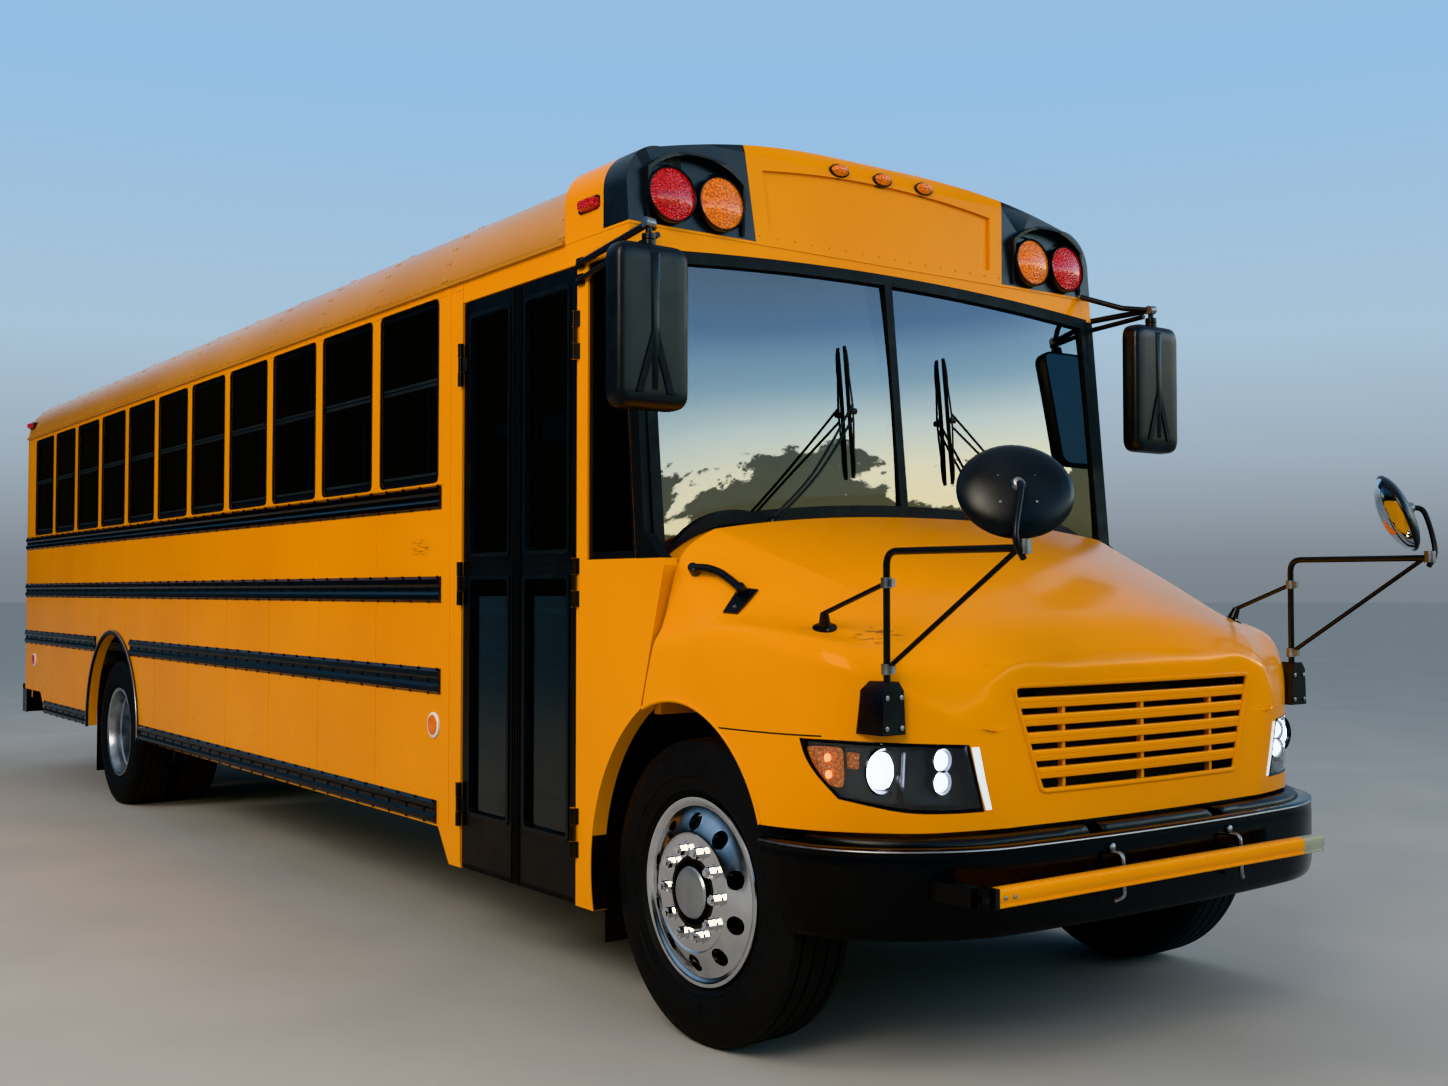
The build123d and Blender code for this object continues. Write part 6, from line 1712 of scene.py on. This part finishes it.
def pillarRows(side, pillar):
    # rows of points of the skin from the quarter window's edge round the pillar's front
    rows = []
    for z in range(1612, 2700, 90):
        hit = pillar.ray_cast(at(side * 1205, 100, z), Vector((0, 1, 0)))[0]
        nominal = 222 + (z - 1674) * 0.0886
        front = min(nominal, hit.y * 1000 + noseShift if hit else nominal)
        edge = nominal + 24
        while edge < nominal + 110:
            hit = pillar.ray_cast(at(side * 1300, edge + 3, z), Vector((-side, 0, 0)))[0]
            if not hit or abs(hit.x) < 1.2165:
                break
            edge += 3
        bend = ((1220.4, edge), (1220.4, front - 1.4), (1180, front - 1.4))
        rows.append([at(side * x, s, z) for x, s in bend])
    return rows


def makeHingeCovers():
    # dark sleeves and plates over the fixed knuckles
    form = doorForm
    covers = Sketch()
    for jamb, toward in ((form["front"], 1), (form["rear"], -1)):
        axis = at(-1231, jamb + toward * form["gap"] / 2, 0)
        reach = Vector((0.018, -toward * 0.024, 0))
        across = Vector((reach.y, -reach.x, 0)).normalized() * 0.0049
        for z in form["hinges"]:
            for low in (z - 89.5, z + 30.5):
                start = axis + Vector((0, 0, low / 1000))
                covers.turn(collar(0, 0.059, 0.0105, 0.0122), start, (0, 0, 1), 16)
                covers.prism([start - across, start + across, start + across + reach, start - across + reach],
                             Vector((0, 0, 0.059)))
    # black skin round the front pillars, between the quarter window and the windshield
    for side, node in ((-1, "entrance_surround"), (1, "side_wall_left")):
        covers.net(pillarRows(side, surfaceOf(nodes[node].data)), finish=1)
    settle(covers.make("hingeCovers", ["blackSatin", "gasket"], 24), "bus", "black_plastic")


makeHingeCovers()
print("windows and doors made")

# Body hardware: rivet and bolt rows, panel laps, the step rail over the windows, the latch of the hood
railRows = ((1848, 1952, ((1795, 9796),)), (1448, 1562, ((1795, 9796),)),
            (1057, 1169, ((1795, 6582), (7482, 9796))),
            (506, 608, ((1825, 6342), (7722, 9092))))


def makeRivets():
    bolts, rivets = [], []
    for side in (-1, 1):
        facing = (side, 0, 0)
        for low, high, runs in railRows:
            for s0, s1 in runs:
                bolts.append(([at(side * 1226, s0 + 26, high - 3), at(side * 1226, s1 - 26, high - 3)],
                              facing))
                for z in (low + 5, (low + high) / 2):
                    bolts.append(([at(side * 1224.5, s0 + 114, z), at(side * 1224.5, s1 - 40, z)], facing))
        for start, z in ((1720, 2772), (1720, 2822), (1795, 1822)):
            rivets.append(([at(side * bodySide, start, z), at(side * bodySide, bodyEnd, z)], facing))
        for k in range(windowForm["count"] + 1):
            s = windowForm["first"] + windowForm["pitch"] * k
            for ds in (-30, 30):
                if 1700 < s + ds < 9790:
                    rivets.append(([at(side * bodySide, s + ds, 1985), at(side * bodySide, s + ds, 2745)],
                                   facing))
            for z0, z1 in ((640, 1030), (1200, 1425), (1590, 1820)):
                if not 6330 < s < 7740 or z0 > 1100:
                    rivets.append(([at(side * bodySide, s + 8, z0), at(side * bodySide, s + 8, z1)], facing))
        rivets.append(([at(side * bodySide, 1745, 560), at(side * bodySide, 1745, 2740)], facing))
        # the wheel arch's flange
        ring = [at(side * bodySide, rearArch["station"] + 700 * cos(radians(a)),
                   rearArch["z"] + 700 * sin(radians(a))) for a in range(10, 171, 8)]
        rivets.append((ring, facing))
    studs("railBolts", bolts, 176, 7.5, 5, "blackGloss", "bus", "black_paint")
    studs("bodyRivets", rivets, 88, 5.2, 2.4, "enamel", "bus", "yellow_paint")


makeRivets()


def makeBodyTrim():
    trim = Sketch()
    for side in (-1, 1):
        # panel laps, and the riveted pillar behind the entrance
        for k in range(windowForm["count"] + 1):
            s = windowForm["first"] + windowForm["pitch"] * k
            for z0, z1 in ((612, 1055), (1171, 1446), (1564, 1846)):
                if z0 < 1100 and 6300 < s < 7800:
                    continue
                trim.strip(side, s - 12, s + 12, z0, z1, 1218, 1220.2)
        leg = 1600 if side < 0 else 1652
        trim.strip(side, 1712, 1776, 520, 2788, 1218, 1220.6)
        trim.strip(side, leg, leg + 6, 380, 2788, 1218, 1221.5)
        trim.strip(side, 1776, 9790, 1956, 1966, 1217, 1222)
        # the panel edge under the eave, and the gutter lip along the roof's edge in the paler roof tone: a
        # painted highlight along the edge
        trim.strip(side, 1600, 9790, 2759, 2766, 1217, 1221)
        trim.strip(side, 762, 9790, 2804, 2808, 1230, 1236, 1)
    settle(trim.make("bodyTrim", ["enamel", "roofEnamelPaintedSkyLight"], 40), "bus", "yellow_paint")


makeBodyTrim()

def makeLatches():
    # the hood's latch: a rubber handle on the cowl's side, hooked to a bracket on the fender
    latch = Sketch()
    for side in (-1, 1):
        handle = ((34, 1566), (-6, 1562), (-56, 1545), (-112, 1516), (-158, 1490))
        path = [onFlank(side, s, z, -26)[0] for s, z in handle]
        latch.tube(smoothLine(path, 5), 0.014, 10)
        for s, z in ((34, 1566), (-158, 1492)):
            skin, normal = onFlank(side, s, z)
            latch.turn([(-0.01, 0.021), (0.010, 0.021), (0.036, 0.016), (0.040, 0.0)], skin, normal, 16)
        skin, normal = onFlank(side, -172, 1460)
        bracket = ((-136, 1506), (-200, 1500), (-208, 1422), (-148, 1426))
        corners = [onFlank(side, s, z, -8)[0] for s, z in bracket]
        latch.prism(corners, -normal * 0.03)
        for s, z in ((-166, 1486), (-180, 1440)):
            place, normal = onFlank(side, s, z, -9)
            latch.turn([(0, 0.008), (0.006, 0.007), (0.008, 0.0)], place, normal, 10, 1)
    settle(latch.make("hoodLatches", ["blackMoulded", "zinc"], 40), "hood", "black_plastic")


makeLatches()
print("rivets and trim made")

# Seats: one cushion and one back of a bench are blown up by a cloth simulation and set out in rows. Sections
# are (station from the seat's front, z), a little inside the space that the seat holds
seatForm = {"first": 1760.0, "rows": 11, "shift": 1288.0, "driver": (600.0, 1180.0, 1570.0), "pressure": 4.0,
            "frames": 20}
seatSections = {
    # name: section, x from, x to, voxel, cap, faces at the end, fill
    "benchCushions": (((8, 1452), (8, 1530), (30, 1548), (392, 1528), (396, 1452)), 162, 1126, 14, 12, 1500,
                      0.8),
    "benchBacks": (((410, 1456), (412, 1540), (476, 2206), (504, 2240), (540, 2240), (566, 2186),
                    (502, 1456)), 162,
                   1126, 14, 12, 1500, 0.8),
    "driverCushion": (((-240, 1462), (-244, 1530), (-222, 1556), (196, 1556), (214, 1530), (214, 1462)), 360,
                      840, 8,
                      10, 24000, 0.7),
    "driverBack": (((216, 1530), (330, 2300), (350, 2322), (380, 2318), (392, 2290), (300, 1530)), 366, 834,
                   8, 8,
                   24000, 0.7),
}


def swollen(name, section, x0, x1, voxel, cap, faces, first):
    midS = sum(p[0] for p in section) / len(section)
    midZ = sum(p[1] for p in section) / len(section)
    pad = Sketch()
    pad.net([[at(x0 + (x1 - x0) * share, first + midS + (s - midS) * size, midZ + (z - midZ) * size)
              for s, z in roundedOutline(section, 9, 3)]
             for share, size in ((0, 0.84), (0.012, 0.94), (0.035, 0.99), (0.5, 1.0), (0.965, 0.99),
                                 (0.988, 0.94),
                                 (1, 0.84))], closed=True, caps=True)
    piece = pad.make(name, ["vinyl"], 60)
    modified(piece, "REMESH", mode="VOXEL", voxel_size=voxel / 1000)
    applied(piece)
    count = len(piece.data.vertices)
    before = np.empty(count * 3)
    piece.data.vertices.foreach_get("co", before)
    cloth = piece.modifiers.new("cloth", "CLOTH")
    cloth.settings.use_pressure = True
    cloth.settings.uniform_pressure_force = seatForm["pressure"]
    cloth.settings.effector_weights.gravity = 0.0
    for step in range(1, seatForm["frames"] + 1):
        bpy.context.scene.frame_set(step)
    applied(piece)
    bpy.context.scene.frame_set(1)
    after = np.empty(count * 3)
    piece.data.vertices.foreach_get("co", after)
    move = (after - before).reshape(-1, 3)
    far = np.linalg.norm(move, axis=1, keepdims=True)
    move *= np.minimum(1.0, cap / 1000 / np.maximum(far, 1e-9))
    piece.data.vertices.foreach_set("co", (before.reshape(-1, 3) + move).ravel())
    if len(piece.data.polygons) * 2 > faces:
        modified(piece, "DECIMATE", ratio=faces / (len(piece.data.polygons) * 2))
        applied(piece)
    piece.data.shade_smooth()
    return piece


def makeSeats():
    for name, (section, x0, x1, voxel, cap, faces, fill) in seatSections.items():
        bench = name.startswith("bench")
        first = seatForm["first"] if bench else seatForm["driver"][1]
        piece = swollen(name, section, x0, x1, voxel, cap, faces, first)
        if bench:
            one = [v.co.copy() for v in piece.data.vertices]
            corners = [list(p.vertices) for p in piece.data.polygons]
            rows = Sketch()
            for i in range(seatForm["rows"]):
                for dx in (0.0, -seatForm["shift"]):
                    step = Vector((dx, i * windowForm["pitch"], 0)) / 1000
                    rows.add([p + step for p in one], corners)
            bpy.data.objects.remove(piece)
            piece = rows.make(name + "Rows", ["vinyl"], 60)
        settle(piece, "bus", "seat_vinyl", "seat_cushions" if bench else "driver_seat")
    # the driver's pedestal, belt, and a welt round the cushion's top edge
    x, s, z = seatForm["driver"]
    base = Sketch()
    base.prism([at(x + dx, s + ds, 1132) for dx, ds in ((-120, -150), (120, -150), (120, 150), (-120, 150))],
               Vector((0, 0, 0.31)))
    settle(base.make("driverPedestal", ["seatSteel"], 40), "bus", "seat_steel")
    welt = Sketch()
    ring = [at(x + dx, s + ds, z - 18) for dx, ds in roundedBox(-232, 232, -236, 206, 50)]
    welt.tube(ring + [ring[0]], 0.0045, 6)
    settle(welt.make("driverWelt", ["gasket"], 60), "bus", "seat_vinyl")


makeSeats()
print("seats made")

# Stop arm: its blank faces, a bead round the edge, and two small lamps a side. Nothing is written on it
stopForm = {"x": 1265.0, "station": 1468.5, "z": 1290.0, "flats": 457.0, "thick": 3.0}


def makeStopArm():
    form = stopForm
    sign = Sketch()
    reach = form["flats"] / 2 / cos(pi / 8)

    def octagon(share, out):
        return [at(form["x"] + out, form["station"] + reach * share * cos(pi / 8 + k * pi / 4),
                   form["z"] + reach * share * sin(pi / 8 + k * pi / 4)) for k in range(8)]

    for face in (1, -1):
        out = face * (form["thick"] + 0.5)
        sign.add(octagon(0.90, out), [list(range(8))], 0)
        sign.net([octagon(0.90, out), octagon(0.985, out)], closed=True, finish=1)
        sign.net([octagon(0.985, out), octagon(0.999, face * 2.0)], closed=True, finish=2)
        for dz in (-158, 158):
            centre = at(form["x"] + out, form["station"], form["z"] + dz)
            sign.turn([(0, 0.036), (0.006, 0.036), (0.007, 0.033)], centre, (face, 0, 0), 28, 3)
            sign.turn([(0.005, 0.033), (0.010, 0.026), (0.013, 0.012), (0.0135, 0.0)], centre, (face, 0, 0),
                      28, 4)
    for dz in (-100, 0, 100):
        for ds in (-186, -196):
            sign.turn([(0, 0.008), (0.003, 0.007), (0.004, 0.0)],
                      at(form["x"] + 4, form["station"] + ds - 12, form["z"] + dz),
                      (1, 0, 0), 10, 2)
    looks = ["signRed", "signWhite", "zinc", "blackMoulded", "red"]
    settle(sign.make("stopSignFaces", looks, 30), "stop_sign", "sign_red")


makeStopArm()


# Roof: bows under cover strips with rivets, rims of the hatches, and the cap's lap
def makeRoofTrim():
    roofTree = surfaceOf(nodes["roof_panel"].data)
    strips, lines = Sketch(), []
    hatches = ((2900, 3520), (7300, 7920))

    def over(station, angles, out):
        # points across the roof, and which way the roof faces at each
        line = []
        for a in angles:
            away = Vector((cos(radians(a)), 0, sin(radians(a)) * 0.8))
            hit, normal, _, _ = roofTree.ray_cast(at(0, station, 2450) + away * 2.2, -away)
            line.append((hit + normal * out / 1000, normal))
        return line

    bows = [790] + [windowForm["first"] + windowForm["pitch"] * k
                    for k in range(windowForm["count"] + 1)] + [9768]
    for s in bows:
        arcs = [range(19, 162, 4)]
        if any(a - 40 < s < b + 40 for a, b in hatches):
            arcs = [range(19, 66, 4), range(115, 162, 4)]
        for angles in arcs:
            rows = [over(s + ds, angles, out) for ds, out in ((-24, -0.5), (-23, 1.8), (23, 1.8), (24, -0.5))]
            strips.net([[row[i][0] for row in rows] for i in range(len(angles))], closed=True, caps=True)
            for ds in (-15, 15):
                line = over(s + ds, angles, 1.6)
                for (p, n), (q, m) in zip(line, line[1:]):
                    lines.append(([p, q], n + m))
    # each hatch: a rubber rim at its foot, a shallow pressed panel and its hinges
    for a, b in hatches:
        rim = [at(x, s, 3217) for x, s in roundedBox(-314, 314, a - 4, b + 4, 26)]
        strips.tube(rim + [rim[0]], 0.008, 8, 1)
        lid = [[at(x, s, z) for x, s in roundedBox(-half, half, a + off, b - off, 40)]
               for half, off, z in ((300, 10, 3256.5), (296, 14, 3256.9), (262, 48, 3256.9),
                                    (258, 52, 3256.4))]
        strips.net(lid, closed=True, finish=0)
        for x in (-180, 180):
            strips.block(at(x - 40, a - 16, 3216), at(x + 40, a + 2, 3246), 1)
    # rivets along the cap's lower lap
    foot = [at(-640 + 1280 * k / 8, 322 + capSlope * (2824 - 2790) - 1.2, 2824) for k in range(9)]
    studs("capRivets", [(foot, (0, -1, 0.08))], 84, 4.5, 2.0, "enamel", "bus", "yellow_paint")
    settle(strips.make("roofTrim", ["roofEnamelPaintedSkyLight", "gasket"], 40), "bus", "yellow_paint")
    studs("roofRivets", lines, 84, 5.0, 2.2, "roofEnamelPaintedSkyLight", "bus", "yellow_paint")


makeRoofTrim()


# Wheel arches and flaps
def makeArchEdges():
    edge, steel = Sketch(), Sketch()
    for side in (-1, 1):
        ring = [at(side * 1233, rearArch["station"] + 676 * cos(radians(a)),
                   rearArch["z"] + 676 * sin(radians(a))) for a in range(-2, 183, 4)]
        edge.tube(ring, 0.0035, 8)
        for x0, x1, s, foot in ((900, 1150, 576, 640), (560, 1150, 7702, 640)):
            steel.strip(side, s - 5, s, foot, foot + 40, x0, x1, 1)
            for x in (x0 + 40, x1 - 40):
                steel.turn([(0, 0.011), (0.005, 0.010), (0.007, 0.0)], at(side * x, s - 5, foot + 20),
                           (0, -1, 0), 12)
                steel.turn([(0, 0.009), (0.004, 0.008), (0.005, 0.0)], at(side * x, s, 330), (0, -1, 0), 12)
    # rubber sheets on the legs behind the front wheels
    for side, node in ((-1, "entrance_surround"), (1, "side_wall_left")):
        leg = surfaceOf(nodes[node].data)
        rows = []
        for z in range(262, 625, 24):
            hit = leg.ray_cast(at(side * 1190, 250, z), Vector((0, 1, 0)))[0]
            if hit:
                rows.append([Vector((side * x, hit.y - 0.0015, z / 1000)) for x in (1.217, 1.150)])
        if len(rows) > 1:
            steel.net(rows, finish=2)
    settle(edge.make("flareEdges", ["brightEdge"], 40), "bus", "black_paint")
    settle(steel.make("flapBars", ["zinc", "blackSatin", "gasket"], 40), "bus", "trim_rubber")


makeArchEdges()


# Emergency door and what surrounds it
def makeExitDoorTrim():
    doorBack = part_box("emergency_door")[1][1] * 1000 + noseShift
    door = Sketch()
    for z0, z1 in ((1260, 1640), (1967, 2540)):
        ring = [at(x, doorBack, z) for x, z in roundedBox(-259, 259, z0 - 4, z1 + 4, 44)]
        door.tube(ring + [ring[0]], 0.009, 8)
    # handle: an escutcheon, a lever, and a grab rail over the lower pane
    plate = [at(x, doorBack, z) for x, z in roundedBox(216, 306, 1720, 1850, 18)]
    door.prism(plate, Vector((0, 0.008, 0)), 1)
    door.turn([(0, 0.018), (0.020, 0.018), (0.024, 0.014), (0.024, 0.0)], at(262, doorBack + 8, 1786),
              (0, 1, 0), 20, 1)
    door.tube(bent([at(262, doorBack + 26, 1786), at(262, doorBack + 30, 1780),
                    at(130, doorBack + 30, 1776)], 0.012, 4),
              0.009, 10, 1)
    door.tube(bent([at(-150, doorBack, 1712), at(-150, doorBack + 34, 1712), at(60, doorBack + 34, 1712),
                    at(60, doorBack, 1712)], 0.02, 5), 0.009, 10, 2)
    looks = ["gasket", "zinc", "enamel"]
    settle(door.make("exitDoorTrim", looks, 40), "exit_door", "black_plastic")


makeExitDoorTrim()


def makeRearTrim():
    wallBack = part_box("rear_wall")[1][1] * 1000 + noseShift
    rear = Sketch()
    for side in (-1, 1):
        ring = [at(side * x, wallBack, z) for x, z in roundedBox(455, 1080, 1967, 2600, 44)]
        rear.tube(ring + [ring[0]], 0.010, 8)
        # handholds beside the door and a housing behind each lamp
        rear.tube(bent([at(side * 420, wallBack, 1240), at(side * 420, wallBack + 32, 1240),
                        at(side * 420, wallBack + 32, 1560), at(side * 420, wallBack, 1560)], 0.02, 5),
                  0.008, 8, 2)
        for x, z, radius in ((1010, 2880, 88), (800, 2880, 88), (1080, 1560, 88), (1080, 1340, 88)):
            rear.turn([(0, (radius + 20) / 1000), (0.006, (radius + 18) / 1000), (0.010, (radius + 6) / 1000),
                       (0.004, (radius + 2) / 1000)], at(side * x, wallBack, z), (0, 1, 0), 36, 1)
        rear.turn([(0, 0.044), (0.006, 0.043), (0.010, 0.036), (0.012, 0.0)], at(side * 1130, wallBack, 860),
                  (0, 1, 0), 28, 3)
    settle(rear.make("rearTrim", ["gasket", "slate", "enamel", "red"], 40), "bus",
           "trim_rubber")
    # rivet lines from (x, z) to (x, z)
    rows = [((side * x0, z0), (side * x1, z1)) for side in (-1, 1) for x0, z0, x1, z1 in (
        (1186, 760, 1186, 2700), (386, 1150, 386, 2680), (430, 2680, 1140, 2680), (430, 1900, 1140, 1900))]
    rows.append(((-1140, 800), (1140, 800)))
    lines = [([at(x, wallBack, z) for x, z in row], (0, 1, 0)) for row in rows]
    studs("rearRivets", lines, 88, 5.2, 2.4, "enamel", "bus", "yellow_paint")


makeRearTrim()
# CAD nodes that only have their edges rounded: node, finish, radius, slot
for row in (("rear_bumper", "blackGloss", 7, "black_paint"), ("lamp_pods", "slate", 7, "black_plastic"),
            ("dashboard", "blackMoulded", 12, "black_plastic"), ("mud_flaps", "gasket", 2, "trim_rubber")):
    softened(*row)

# Steering wheel: a padded rim, four spokes, a domed hub and its column
steerForm = {"centre": (600.0, 560.0, 1840.0), "tilt": 38.0, "ring": 226.0, "grip": 13.0}


def makeSteeringWheel():
    form = steerForm
    up = Vector((0, sin(radians(form["tilt"])), cos(radians(form["tilt"]))))
    right = Vector((1, 0, 0))
    far = up.cross(right)
    centre = at(*form["centre"])
    wheel = Sketch()
    grip = form["grip"] / 1000
    wheel.turn([(grip * sin(t), form["ring"] / 1000 + grip * cos(t)) for t in turns(12)], centre, up, 56,
               closed=True)
    for a in (12, 168, 232, 308):
        out = right * cos(radians(a)) + far * sin(radians(a))
        wheel.tube([centre - up * 0.006 + out * 0.03, centre - up * 0.012 + out * 0.12, centre + out * 0.222],
                   [0.016, 0.012, 0.010], 8)
    wheel.turn([(-0.02, 0.046), (0.004, 0.047), (0.014, 0.042), (0.019, 0.026), (0.020, 0.0)], centre, up, 32)
    wheel.turn([(-0.24, 0.028), (-0.02, 0.028), (-0.02, 0.0)], centre, up, 20)
    settle(wheel.make("steeringRim", ["blackMoulded"], 40), "bus", "black_plastic", "steering_wheel")


makeSteeringWheel()
print("stop arm, roof, rear and controls made")
